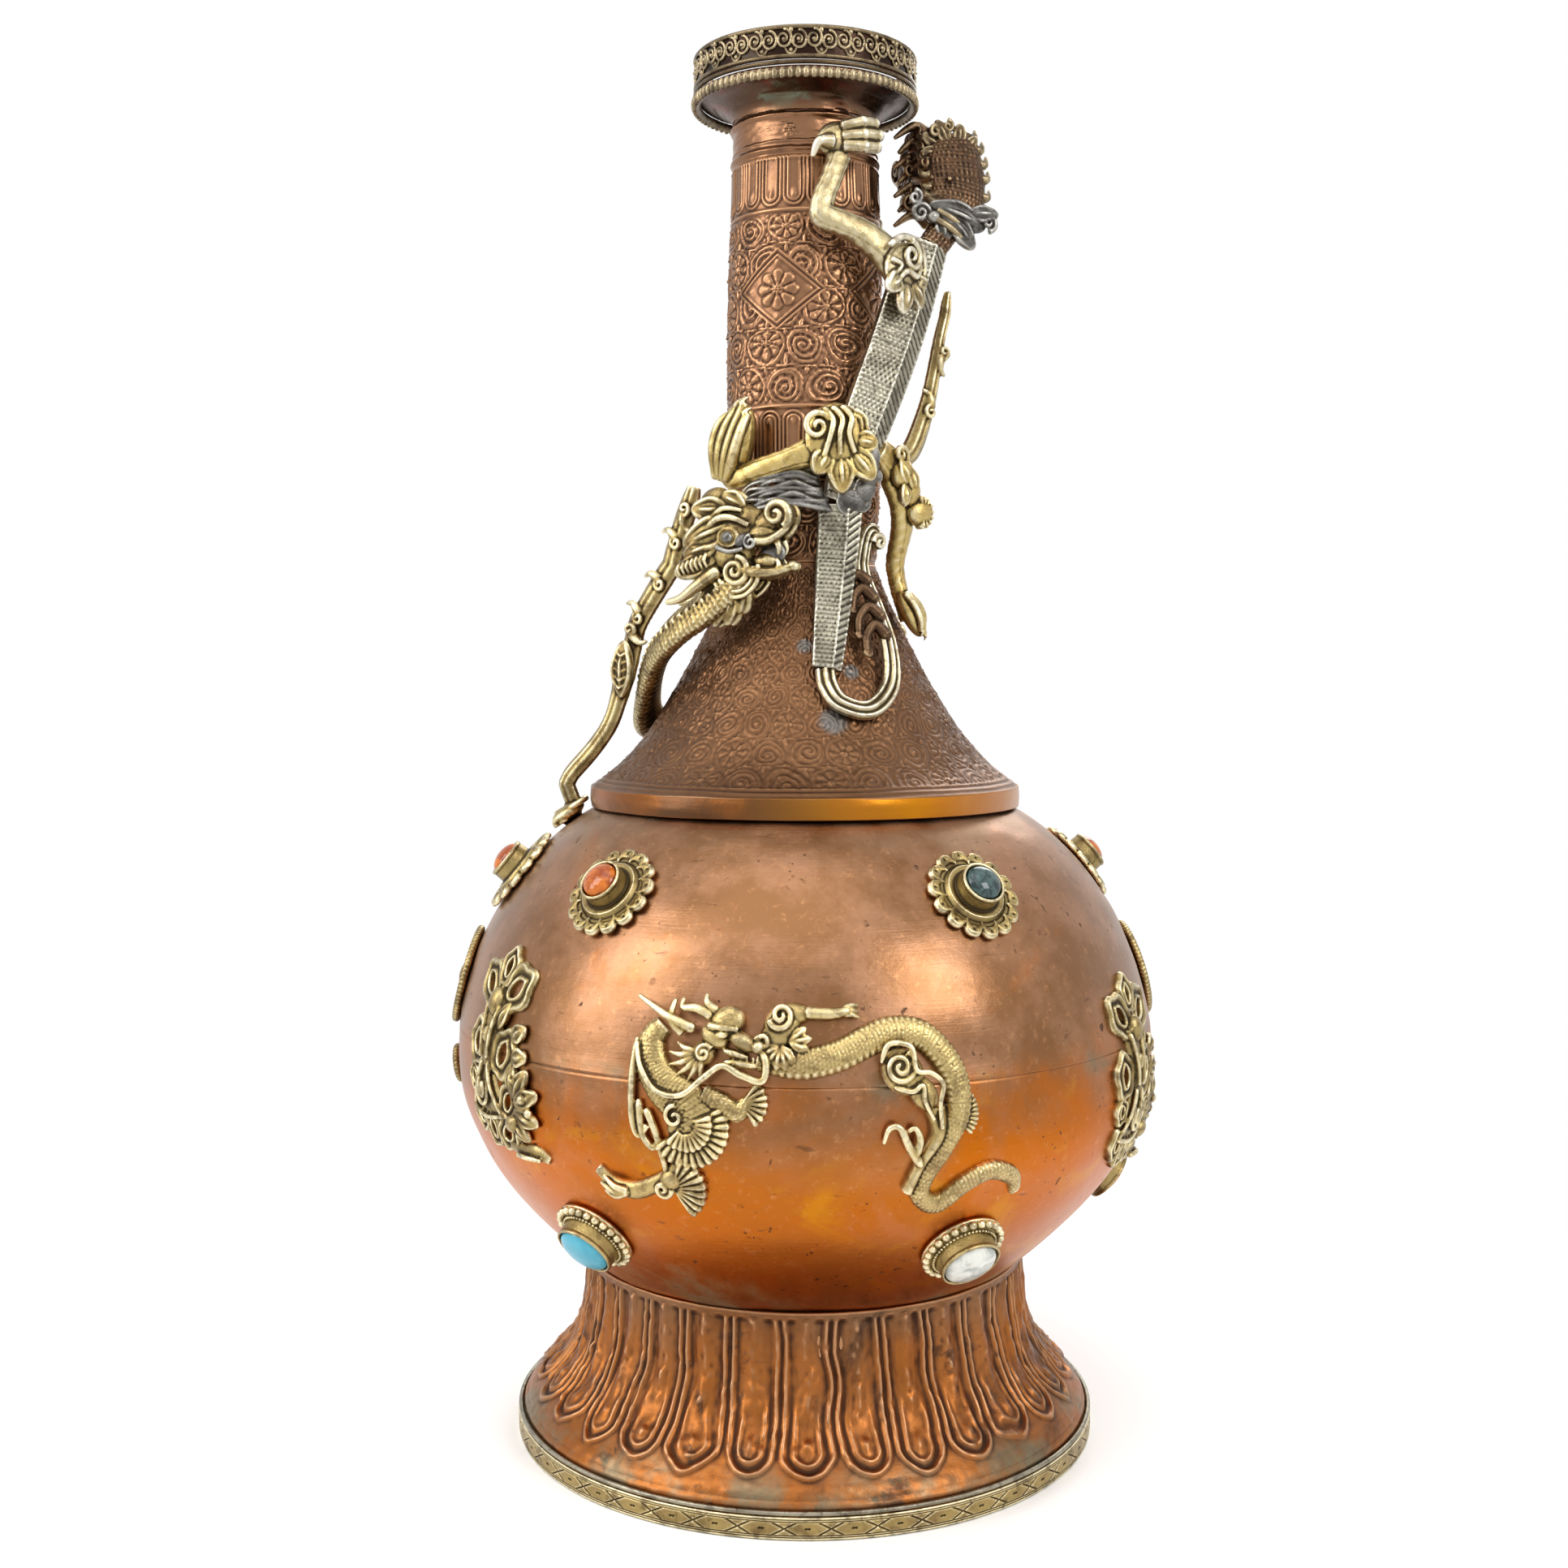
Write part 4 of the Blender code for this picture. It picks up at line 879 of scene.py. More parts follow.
def make_foot():
    """Lotus petals on a plain edge, the engraved rim under them and the plate that closes the foot."""
    rows, columns = FOOT_MESH
    profile = even_profile(foot_radius, FOOT_BOTTOM, FOOT_TOP + 2 * GAP, rows)
    v = cell_rows(profile, PETALS)
    u = cells_round(PETALS, columns)
    petal_end = np.interp(RIM_HEIGHT + PETAL_FOOT, profile[:, 1], v[:, 0])
    wander = dented(FOOT_MESH, (7, 60, 21, 0.05))
    y = v - petal_end + wander
    below = 0.55 * np.clip(1 + y / 0.5, 0, 1) * np.clip(-y / 0.2, 0, 1)
    petals = np.where(y > -0.08, lotus(u - np.round(u) + wander, y), 0) + below
    hammered = 1 + dented(FOOT_MESH, (26, 240, 23, 0.22))
    plain = fade(profile[:, 1], RIM_HEIGHT + 2.2 * MM, FOOT_TOP - 0.8 * MM, 1.2 * MM)[:, None]
    dents = dented(FOOT_MESH, (8, 30, 9, 0.12), (30, 200, 11, 0.04))
    rise = (petals * hammered * PETAL_RELIEF - PETAL_SINK) * plain + dents
    piece = turned_sheet("foot_petals", profile, columns, rise * MM)
    place_piece(piece, "worked_copper", "foot_skirt", PETAL_SHADE)
    make_foot_rim()
    edge = LIP_RADIUS - GAP
    plate = [(1 * MM, 0.0), (edge, 0.0), (edge, SHEET), (1 * MM, SHEET)]
    place_piece(turned_ring("foot_plate", plate, PLATE_COLUMNS), "worked_copper", "base_plate")


def make_foot_rim():
    """Brass strip engraved with crosses between double lines, and the wire above it."""
    rows, columns = RIM_MESH
    height = np.linspace(0.0, RIM_HEIGHT, rows)
    v = np.abs(height / RIM_HEIGHT - 0.5)[:, None]
    u = cells_round(RIM_CROSSES, columns)
    x = np.abs((u - np.floor(u) - 0.5) * 2.1)
    cross = line(x - v * 1.9, 0.075) * inside(v, 0.27, 0.04)
    dot = line(np.hypot(x - 1.0, v * 1.8), 0.10)
    bands = line(v - 0.31, 0.022) + line(v - 0.40, 0.022)
    edge = 0.5 * line(v - 0.5, 0.05)
    dents = dented(RIM_MESH, (4, 60, 2, 0.03))
    rise = -(cross + dot + bands) * ENGRAVING - edge * ENGRAVING + dents
    piece = turned_sheet("foot_strip", upright(BASE_RADIUS - 0.15 * MM, height), columns, rise * MM, 1.0 * MM)
    place_piece(piece, "brass", "foot_rim_band", STRIP_SHADE)
    make_wire("foot_wire", "foot_rim_wire", FOOT_WIRE_COLUMNS, "silvered_brass")


def make_collar():
    """Polished strip, a little fuller in the middle than at its edges."""
    rows, columns = COLLAR_MESH
    swell = 0.25 * MM
    profile = upright(COLLAR_RADIUS, np.linspace(COLLAR_BOTTOM, COLLAR_TOP + GAP, rows))
    profile[:, 0] += swell * np.sin(np.pi * np.linspace(0, 1, rows)) - swell
    dents = dented(COLLAR_MESH, (4, 40, 8, 0.05)) * MM
    piece = turned_sheet("collar_strip", profile, columns, dents, SHEET - swell)
    place_piece(piece, "belly_copper", "collar_band")


def make_cone():
    """Scroll ground that fades at both ends, with two border lines at the foot."""
    rows, columns = CONE_MESH
    profile = even_profile(cone_radius, CONE_BOTTOM, CONE_TOP, rows)
    u = cells_round(CONE_SCROLLS, columns) + dented(CONE_MESH, (14, 40, 31, 0.07))
    v = cell_rows(profile, CONE_SCROLLS) + dented(CONE_MESH, (14, 40, 32, 0.07))
    ground = scroll_ground(u, v) + dented(CONE_MESH, (80, 330, 14, 0.16))
    run = np.linspace(0, 1, rows)
    ground = ground * fade(run, 0.05, 0.985, 0.02)[:, None]
    border = (line(run - 0.03, 0.008) + line(run - 0.055, 0.006))[:, None]
    depth = np.interp(profile[:, 0], (NECK_RADIUS, COLLAR_RADIUS), CONE_RELIEF)[:, None]
    dents = dented(CONE_MESH, (10, 26, 4, 0.10))
    rise = ((ground + border) * depth + dents - CONE_SINK) * MM
    piece = turned_sheet("shoulder_repousse", profile, columns, rise)
    place_piece(piece, "worked_copper", "shoulder_cone", CONE_SHADE)


def neck_lozenge(turn, height):
    """Field and relief of a lozenge panel on each quarter of the neck, with a flower and four dots in it."""
    quarter = (turn * 4 + 0.5 + LOZENGE_TURN) % 1 - 0.5
    dx = np.abs((quarter * TAU * NECK_RADIUS / 4 / MM)[None, :])
    dy = np.abs((height - (NECK_TOP - LOZENGE_DROP)) / MM)
    lozenge = dx / LOZENGE_HALF_WIDTH + dy / LOZENGE_HALF_HEIGHT
    rims = line(lozenge - 0.97, 0.045) + 0.8 * line(lozenge - 0.82, 0.035)
    dots = 0.7 * line(np.hypot(dx - 8.0, dy), 0.9) + 0.7 * line(np.hypot(dx, dy - 7.3), 0.8)
    return inside(lozenge, 1.0, 0.05), flower(dx, dy, 8, 5.4) + rims + dots


def make_neck():
    """Scroll ground between two bands of lappets, with lozenge panels and fine lines over them."""
    rows, columns = NECK_MESH
    profile = even_profile(neck_radius, NECK_BOTTOM - GAP, NECK_TOP + GAP, rows)
    height = profile[:, 1][:, None]
    turn = np.arange(columns) / columns
    circumference = TAU * NECK_RADIUS
    lappet = circumference / LAPPETS
    u = (LAPPETS * turn)[None, :]
    x = u - np.floor(u) - 0.5
    stand = CONE_TOP + NECK_FRIEZE
    upper_y = (height - (NECK_TOP - UPPER_LAPPETS)) / lappet
    upper = tongue(x, upper_y) * (upper_y > -0.02) * (height < NECK_TOP - 1.0 * MM)
    lower_y = (stand + LOWER_LAPPETS - height) / lappet
    lower = tongue(x, lower_y) * (lower_y > -0.02) * (height > stand)
    stray_u = dented(NECK_MESH, (20, 16, 33, 0.06))
    stray_v = dented(NECK_MESH, (20, 16, 34, 0.06))
    cell = circumference / NECK_SCROLLS
    ground = scroll_ground((NECK_SCROLLS * turn)[None, :] + stray_u, (height - CONE_TOP) / cell + stray_v)
    ground = ground + dented(NECK_MESH, (150, 190, 35, 0.14))
    middle = fade(height, stand + LOWER_LAPPETS + 2 * MM, NECK_TOP - UPPER_LAPPETS - 2 * MM, 0.8 * MM)
    bottom = fade(height, CONE_TOP + 1.0 * MM, stand - 1.5 * MM, 0.8 * MM)
    pattern = ground * np.maximum(middle, bottom) + upper + lower
    field, panel = neck_lozenge(turn, height)
    pattern = pattern * (1 - field) + panel * field
    lower_edge = stand + LOWER_LAPPETS + 1.1 * MM
    upper_edge = NECK_TOP - UPPER_LAPPETS - 1.1 * MM
    for mark in (stand - 0.4 * MM, lower_edge, upper_edge, NECK_TOP - 0.6 * MM):
        pattern = pattern + 0.8 * line((height - mark) / MM, 0.45)
    dents = dented(NECK_MESH, (12, 10, 6, 0.10))
    piece = turned_sheet("neck_repousse", profile, columns, (pattern * NECK_RELIEF + dents - NECK_SINK) * MM)
    place_piece(piece, "worked_copper", "neck_tube", NECK_SHADE)
    make_sleeve()


def make_sleeve():
    """Plain sleeve with a ridge at each end, a fine one between and one stamped flower."""
    rows, columns = SLEEVE_MESH
    profile = upright(NECK_RADIUS, np.linspace(SLEEVE_BOTTOM - GAP, SLEEVE_TOP + 2 * GAP, rows))
    part = np.linspace(0, 1, rows)[:, None]
    ridges = 0.8 * line(part - 0.88, 0.06) + 0.8 * line(part - 0.12, 0.06) + 0.3 * line(part - 0.30, 0.03)
    turn = np.arange(columns) / columns
    across = ((turn + SLEEVE_STAMP_TURN + 0.5) % 1 - 0.5)[None, :] * TAU * NECK_RADIUS / MM
    stamp = flower(across, (part - 0.52) * (SLEEVE_TOP - SLEEVE_BOTTOM) / MM, 6, 1.7)
    rough = dented(SLEEVE_MESH, (20, 60, 12, 0.05), (6, 16, 11, 0.08))
    rise = (ridges + stamp * STAMP_RELIEF + rough - SLEEVE_SINK) * MM
    piece = turned_sheet("neck_plain_sleeve", profile, columns, rise)
    place_piece(piece, "worked_copper", "neck_sleeve", SLEEVE_SHADE)


# Mouth

def flange_profile(count):
    part = np.linspace(0, 1, count)
    radius = NECK_RADIUS + (FLANGE_RADIUS - NECK_RADIUS) * part**2
    rise = FLANGE_TOP - FLANGE_BOTTOM - SHEET
    return np.stack([radius, FLANGE_BOTTOM + rise * part**0.8], -1)


def make_mouth():
    """Trumpet of sheet under the wire, the teeth and the chased band."""
    rows, columns = FLANGE_MESH
    profile = flange_profile(rows)
    outer = turned_grid(profile, columns, dented(FLANGE_MESH, (10, 26, 21, 0.08)) * MM)
    inner = turned_grid(profile + np.array([0.0, SHEET]), columns, np.zeros(FLANGE_MESH))
    shape = solid("mouth_trumpet", [np.concatenate([outer, inner[::-1]])], True)
    place_piece(shape, "worked_copper", "mouth_flange", FLANGE_SHADE)
    make_wire("mouth_round_wire", "mouth_wire", MOUTH_WIRE_COLUMNS, "brass", "antique_brass")
    make_mouth_beads()
    make_gallery()


def ball(centre, out, up, size, rings=7, sides=10):
    """Rings of a bead; size is (outward, sideways, upward) half widths."""
    side = np.cross(up, out)
    turn = circle(sides)
    grid = []
    for tilt in np.linspace(-0.49 * np.pi, 0.49 * np.pi, rings):
        flat = np.cos(tilt)
        x = np.cos(turn)[:, None] * out * size[0] * flat + np.sin(turn)[:, None] * side * size[1] * flat
        grid.append(centre + x + up * size[2] * np.sin(tilt))
    return np.array(grid)


# Directions that no wire runs along, from which its rings are turned
WIRE_GUIDE = (0.31, 0.2, 0.93)
FLAT_GUIDE = (0.05, 0.02, 1.0)


def tube(path, size, sides=8, guide=WIRE_GUIDE):
    """Rings of a round wire along a path; size is one radius or one per point."""
    path = np.asarray(path, dtype=float)
    along = directions(path)
    side = unit(np.cross(along, np.broadcast_to(np.asarray(guide), path.shape)))
    over = np.cross(side, along)
    turn = circle(sides)
    size = np.broadcast_to(size, len(path))[:, None, None]
    around = np.cos(turn)[None, :, None] * side[:, None] + np.sin(turn)[None, :, None] * over[:, None]
    return path[:, None] + size * around


def make_mouth_beads():
    """Row of upright teeth under the mouth wire, on a plain backing ring."""
    middle = 0.5 * (BEAD_RING_BOTTOM + BEAD_RING_TOP)
    half = 0.5 * (BEAD_RING_TOP - BEAD_RING_BOTTOM)
    radius = MOUTH_RADIUS - 0.3 * MM
    wide = 0.48 * TAU * radius / MOUTH_BEADS
    runs = []
    for turn in circle(MOUTH_BEADS):
        out = on_band(turn, 0.0, 1.0)
        runs.append(ball(out * radius + UP * middle, out, UP, (0.95 * MM, wide, half), 9, 12))
    shape = solid("mouth_teeth", runs)
    outline = wire_outline(radius - 0.55 * MM, middle, half * 0.75)
    join([shape, turned_ring("mouth_backing", outline, BEAD_BACKING_COLUMNS)])
    place_piece(shape, "brass", "mouth_bead_ring", TEETH_SHADE, "antique_brass")


def join(shapes):
    """Makes the shapes one, under the name of the first."""
    bpy.ops.object.select_all(action="DESELECT")
    for shape in shapes:
        shape.select_set(True)
    bpy.context.view_layer.objects.active = shapes[0]
    bpy.ops.object.join()


def gallery_scroll(turn, hand, wide, tall, radius):
    """One of a pair of facing scrolls, with a boss in its middle."""
    path = []
    for t in np.linspace(0, 1, 30):
        angle = hand * (0.5 * np.pi - t * 3.1 * np.pi)
        coil = 0.30 * tall * (1 - 0.78 * t)
        x = hand * 0.25 * wide + coil * np.cos(angle) * 0.9
        z = GALLERY_BOTTOM + 0.56 * tall + hand * 0.02 * tall + coil * np.sin(angle) * hand
        path.append(on_band(turn + x / radius, z, radius))
    eye = turn + hand * 0.25 * TAU / GALLERY_CELLS
    middle = on_band(eye, GALLERY_BOTTOM + 0.56 * tall, radius)
    boss = ball(middle, on_band(eye, 0.0, 1.0), UP, (0.75 * MM, 0.62 * MM, 0.62 * MM))
    return [tube(path, np.linspace(0.50, 0.36, 30) * MM), boss]


def gallery_leaf(turn, hand, tall, radius):
    """A leaf that rises to one side from between two pairs of scrolls."""
    path = []
    for s in np.linspace(0, 1, 10):
        height = GALLERY_BOTTOM + tall * (0.12 + 0.24 * s**2)
        path.append(on_band(turn + hand * s * 0.22 * TAU / GALLERY_CELLS, height, radius))
    return tube(path, np.linspace(0.55, 0.25, 10) * MM)


def make_gallery():
    """Chased band: pairs of facing scrolls, leaves and bosses between two wires, on a backing wall."""
    runs = []
    radius = MOUTH_RADIUS - 0.6 * MM
    tall = GALLERY_TOP - GALLERY_BOTTOM
    cell = TAU / GALLERY_CELLS
    for i in range(GALLERY_CELLS):
        between = cell * (i + 0.5)
        for hand in (-1, 1):
            runs += gallery_scroll(cell * i, hand, cell * radius, tall, radius)
            runs.append(gallery_leaf(between, hand, tall, radius))
        for share, size in ((0.84, 0.70 * MM), (0.50, 0.62 * MM), (0.24, 0.55 * MM)):
            centre = on_band(between, GALLERY_BOTTOM + share * tall, radius)
            runs.append(ball(centre, on_band(between, 0.0, 1.0), UP, (size, size, 1.25 * size)))
    shape = solid("mouth_filigree", runs)
    rims = [shape]
    for name, share, size in (("filigree_top", 0.93, 0.58), ("filigree_foot", 0.07, 0.55)):
        outline = wire_outline(radius, GALLERY_BOTTOM + share * tall, size * MM, 12)
        rims.append(turned_ring(name, outline, MOUTH_WIRE_COLUMNS))
    join(rims)
    place_piece(shape, "brass", "mouth_gallery", FILIGREE_SHADE, "antique_brass")
    rows, columns = GALLERY_WALL_MESH
    backing = upright(radius - 0.2 * MM, np.linspace(GALLERY_BOTTOM, GALLERY_TOP - 0.6 * MM, rows))
    wall = turned_sheet("mouth_backing_wall", backing, columns, wall=0.35 * MM)
    place_piece(wall, "worked_copper", "mouth_gallery", GALLERY_WALL_SHADE)


# Places on the vessel

SLOPE_STEP = 0.2 * MM


def surface_frame(azimuth, height, radius_at):
    """Surface point, outward normal, sideways and upward directions on a turned form."""
    turn = math.radians(azimuth)
    slope = float(radius_at(height + SLOPE_STEP) - radius_at(height - SLOPE_STEP)) / (2 * SLOPE_STEP)
    normal = on_band(turn, -slope, 1.0)
    normal /= np.linalg.norm(normal)
    side = np.array([math.cos(turn), math.sin(turn), 0.0])
    return on_band(turn, height, float(radius_at(height))), normal, side, np.cross(normal, side)


def belly_drop(reach):
    """How far the belly falls away from its tangent plane at a small distance."""
    return reach**2 / (2 * BELLY_RADIUS)


# Jewels

CUP_BOTTOM = CUP_HEIGHT - CUP_DEPTH


def disc_rows(azimuth, height, outline, columns, lobes):
    """Rings of a round setting from (radius, rise, notched share) rows; lobes notch its edge."""
    point, normal, side, up = surface_frame(azimuth, height, belly_radius)
    turn = circle(columns)
    out = spokes(turn, side, up)
    notch = (1 - np.abs(np.sin(0.5 * lobes * turn))) ** 1.7
    dimple = np.exp(-((np.cos(0.5 * lobes * turn) / 0.28) ** 2))
    rows = []
    for radius, rise, share in outline:
        reach = radius - share * ROSETTE_NOTCH * notch
        low = np.clip(1 - rise / (3 * MM), 0, 1)
        lift = rise - belly_drop(reach) * low
        if lobes:
            lift = lift - 0.35 * MM * dimple * math.exp(-(((radius - outline[0][0]) / MM + 1.7) / 0.5) ** 2)
        rows.append(point + reach[:, None] * out + lift[:, None] * normal)
    return np.array(rows)


def filled_outline(points, step=0.22 * MM):
    """The same outline with points close together, so that edges keep their shape when smooth."""
    found = []
    for a, b in zip(points[:-1], points[1:]):
        a, b = np.array(a), np.array(b)
        count = max(int(np.hypot(*(b - a)[:2]) / step), 1)
        found += [tuple(a + (b - a) * t) for t in np.arange(count) / count]
    return found + [tuple(points[-1])]


def bead_circle(azimuth, height, radius, rise, count, size):
    """Rings of beads in a circle round a jewel."""
    point, normal, side, up = surface_frame(azimuth, height, belly_radius)
    runs = []
    for out in spokes(circle(count), side, up):
        centre = point + out * radius + normal * (rise - belly_drop(radius))
        runs.append(ball(centre, out, normal, (size, size, size)))
    return runs


def cup_outline(radius, foot):
    inner = radius - CUP_WALL
    return [
        (radius + 0.5 * MM, foot, 0),
        (radius + 0.1 * MM, foot + 0.5 * MM, 0),
        (radius - 0.1 * MM, CUP_HEIGHT - 1.0 * MM, 0),
        (radius + 0.1 * MM, CUP_HEIGHT - 0.6 * MM, 0),
        (radius + 0.05 * MM, CUP_HEIGHT - 0.1 * MM, 0),
        (radius - 0.35 * MM, CUP_HEIGHT + 0.1 * MM, 0),
        (inner, CUP_HEIGHT - 0.2 * MM, 0),
        (inner, CUP_BOTTOM, 0),
        (0.2 * MM, CUP_BOTTOM, 0),
    ]


def setting(name, azimuth, height, outline, back, columns, lobes=0):
    """A setting whose front and back are turned from outlines, on the belly at an azimuth and height."""
    front = disc_rows(azimuth, height, filled_outline(outline), columns, lobes)
    under = disc_rows(azimuth, height, back, columns, lobes)
    return solid(name, [np.concatenate([under, front])])


def make_rosette(number, azimuth, height):
    """Notched plate with a dimple in each lobe, a sunk ring, a stepped ring and a tall cup."""
    edge = ROSETTE_RADIUS
    outline = [
        (edge, 0.75 * MM, 1),
        (edge - 0.1 * MM, 1.25 * MM, 1),
        (edge - 0.7 * MM, 1.75 * MM, 1),
        (edge - 1.7 * MM, 1.85 * MM, 1),
        (edge - 2.7 * MM, 1.65 * MM, 0.9),
        (edge - 3.2 * MM, 1.25 * MM, 0.2),
        (edge - 4.3 * MM, 1.15 * MM, 0),
        (edge - 4.7 * MM, 1.6 * MM, 0),
        (edge - 5.2 * MM, 2.2 * MM, 0),
        (edge - 5.9 * MM, 2.2 * MM, 0),
    ] + cup_outline(ROSETTE_CUP_RADIUS, 2.0 * MM)
    back = [(0.2 * MM, SETTING_BACK, 0), (edge - 0.4 * MM, SETTING_BACK, 1)]
    name = f"rosette_form_{number}"
    shape = setting(name, azimuth, height, outline, back, ROSETTE_COLUMNS, ROSETTE_LOBES)
    place_piece(shape, "brass", f"rosette_{number}", ROSETTE_SHADE)


def make_bezel(number, azimuth, height):
    """Low plate with a ring of round beads and a fine ring of grains round a wide cup."""
    edge = BEZEL_BASE_RADIUS
    outline = [
        (edge - 0.4 * MM, 0.7 * MM, 0),
        (edge - 0.3 * MM, 1.0 * MM, 0),
        (edge - 0.8 * MM, 1.3 * MM, 0),
        (edge - 2.2 * MM, 1.5 * MM, 0),
    ] + cup_outline(BEZEL_CUP_RADIUS, 1.7 * MM)
    back = [(0.2 * MM, SETTING_BACK, 0), (edge - 0.6 * MM, SETTING_BACK, 0)]
    shape = setting(f"bezel_form_{number}", azimuth, height, outline, back, BEZEL_COLUMNS)
    beads = bead_circle(azimuth, height, edge - 1.2 * MM, 1.9 * MM, BEZEL_BEADS, 1.1 * MM)
    beads += bead_circle(azimuth, height, BEZEL_CUP_RADIUS + 0.5 * MM, 2.6 * MM, BEZEL_GRAINS, 0.42 * MM)
    join([shape, solid("bezel_beads", beads)])
    place_piece(shape, "brass", f"bezel_{number}", BEZEL_SHADE)


def make_stone(kind, number, azimuth, height, cup, slot):
    """A cabochon that stands a little proud of its cup."""
    point, normal, side, up = surface_frame(azimuth, height, belly_radius)
    out = spokes(circle(STONE_COLUMNS), side, up)
    edge = cup - CUP_WALL - 0.25 * MM
    foot = CUP_BOTTOM + GAP
    base = CUP_HEIGHT - 0.6 * MM
    rows = [point + 0.05 * MM * out + foot * normal, point + edge * out + foot * normal]
    for tilt in np.linspace(0, 0.497 * np.pi, STONE_ROWS):
        rows.append(point + edge * np.cos(tilt) * out + (base + STONE_DOME * np.sin(tilt)) * normal)
    place_piece(solid(f"{kind}_gem_{number}", [rows]), slot, f"{kind}_stone_{number}")


def make_jewels():
    """Settings and their stones, in an upper and a lower row."""
    for kind, make_setting, azimuths, rise, cup, stones in (
        ("rosette", make_rosette, UPPER_JEWEL_AZIMUTHS, UPPER_JEWEL_RISE, ROSETTE_CUP_RADIUS, UPPER_STONES),
        ("bezel", make_bezel, LOWER_JEWEL_AZIMUTHS, LOWER_JEWEL_RISE, BEZEL_CUP_RADIUS, LOWER_STONES),
    ):
        height = BELLY_EQUATOR + rise
        for number, (azimuth, stone) in enumerate(zip(azimuths, stones), 1):
            make_setting(number, azimuth, height)
            make_stone(kind, number, azimuth, height, cup, stone)


# Cast reliefs, modelled flat in millimetres and then laid on the belly

def through(rows, count):
    """Rows of numbers along a smooth curve through the given rows."""
    rows = np.asarray(rows, dtype=float)
    spans = len(rows) - 1
    place = np.linspace(0, spans, count)
    i = np.minimum(place.astype(int), spans - 1)
    t = (place - i)[:, None]
    a, b, c, d = (rows[np.clip(i + k, 0, spans)] for k in (-1, 0, 1, 2))
    bend = 2 * a - 5 * b + 4 * c - d + (3 * b - a - 3 * c + d) * t
    return b + 0.5 * t * (c - a + bend * t)


def fish_scales(along, across):
    """Overlapping round-tipped scales; the height runs from 0 to 1."""
    row = np.floor(along)
    late = along - row + 1
    shifted = across + 0.5 * ((row - 1) % 2)
    dx = shifted - np.floor(shifted) - 0.5
    tip = 1 + 0.55 * np.sqrt(np.clip(1 - 4 * dx**2, 0, 1))
    return np.where(late < tip, late, late - 1) / 1.55


def ribs(along):
    """Rounded ribs with narrow grooves between them."""
    return np.abs(np.sin(np.pi * along)) ** 0.6


def flat_strip(path, texture=None, steps_per_mm=3.0, sides=23, sink=0.5):
    """Rings of a raised strip along (x, y, width, height) rows; texture(along, across) adds height in mm."""
    rows = np.asarray(path, dtype=float)
    length = steps_along(rows[:, :2]).sum()
    rows = through(rows, max(int(length * steps_per_mm), 8))
    centre, width, height = rows[:, :2], rows[:, 2], rows[:, 3]
    along = directions(centre)
    side = np.stack([-along[:, 1], along[:, 0]], -1)
    run = running(steps_along(centre))
    turn = np.linspace(0, np.pi, sides)
    across = -np.cos(turn)
    lift = height[:, None] * np.sin(turn) ** 0.8
    reach = 0.5 * width[:, None] * across
    if texture:
        extra = texture(run[:, None] + 0 * reach, reach)
        lift = lift + extra * np.sin(turn) ** 0.5
        reach = reach + extra * across * 0.5
    top = np.concatenate([centre[:, None] + side[:, None] * reach[..., None], lift[..., None]], -1)
    under = np.stack([top[:, -1], top[:, 0]], 1)
    under[..., 2] = -sink
    return np.concatenate([top, under], 1)


def flat_pod(x, y, z, along, across, tall, angle=0.0):
    """Rings of an ellipsoid lying at an angle in degrees."""
    turn = math.radians(angle)
    first = np.array([math.cos(turn), math.sin(turn), 0.0])
    return ball(np.array([x, y, z], dtype=float), UP, first, (tall, across, along), 13, 18)


def flat_lock(path, thick, thin, steps=20):
    """Rings of a tapering round strand through (x, y, z) points, full in the middle like a flame."""
    part = np.linspace(0, 1, steps)
    size = (thick + (thin - thick) * part) * np.clip(part * 6 + 0.55, 0, 1)
    return tube(through(path, steps), size, 12, FLAT_GUIDE)


def flat_coil(x, y, z, size, turns, start, hand, thick, thin=None):
    """Rings of a raised spiral line that winds in to its middle."""
    part = np.linspace(0, 1, int(26 * turns))
    angle = math.radians(start) + hand * TAU * turns * part
    reach = size * (1 - 0.9 * part)
    path = np.stack([x + reach * np.cos(angle), y + reach * np.sin(angle), z + 0.5 * part], -1)
    return tube(path, np.linspace(thick, thin or thick * 0.7, len(part)), 10, FLAT_GUIDE)


def flat_fan(count, inner, outer, thick, z):
    """Rings of a full round of petals."""
    runs = []
    for angle in np.linspace(0, 360 - 360 / count, count):
        turn = math.radians(angle)
        reach = 0.5 * (inner + outer)
        long = 0.55 * (outer - inner)
        runs.append(flat_pod(reach * math.cos(turn), reach * math.sin(turn), z, long, thick, 0.95, angle))
    return runs


def flat_shell(x, y, start, end, count, inner, outer, z, tall=0.9):
    """Rings of a ribbed shell between two angles in degrees, scalloped at its outer edge."""
    angle = np.radians(np.linspace(start, end, count * 8 + 1))
    wave = np.abs(np.sin(np.linspace(0, count * np.pi, count * 8 + 1)))
    rings = []
    for part, lift in ((1.0, -0.6), (1.0, 0.1), (0.97, 0.7), (0.8, 1.0), (0.5, 0.9), (0.2, 0.8), (0.0, 0.6)):
        reach = inner + (outer - inner) * part * (0.90 + 0.10 * wave * part)
        height = z + tall * lift * (0.45 + 0.55 * wave if lift > 0 else 1.0)
        rings.append(np.stack([x + reach * np.cos(angle), y + reach * np.sin(angle), height + 0 * angle], -1))
    under = rings[-1] * [1, 1, 0] + [0, 0, z - 0.6 * tall]
    return np.swapaxes(np.array([*rings, under]), 0, 1)


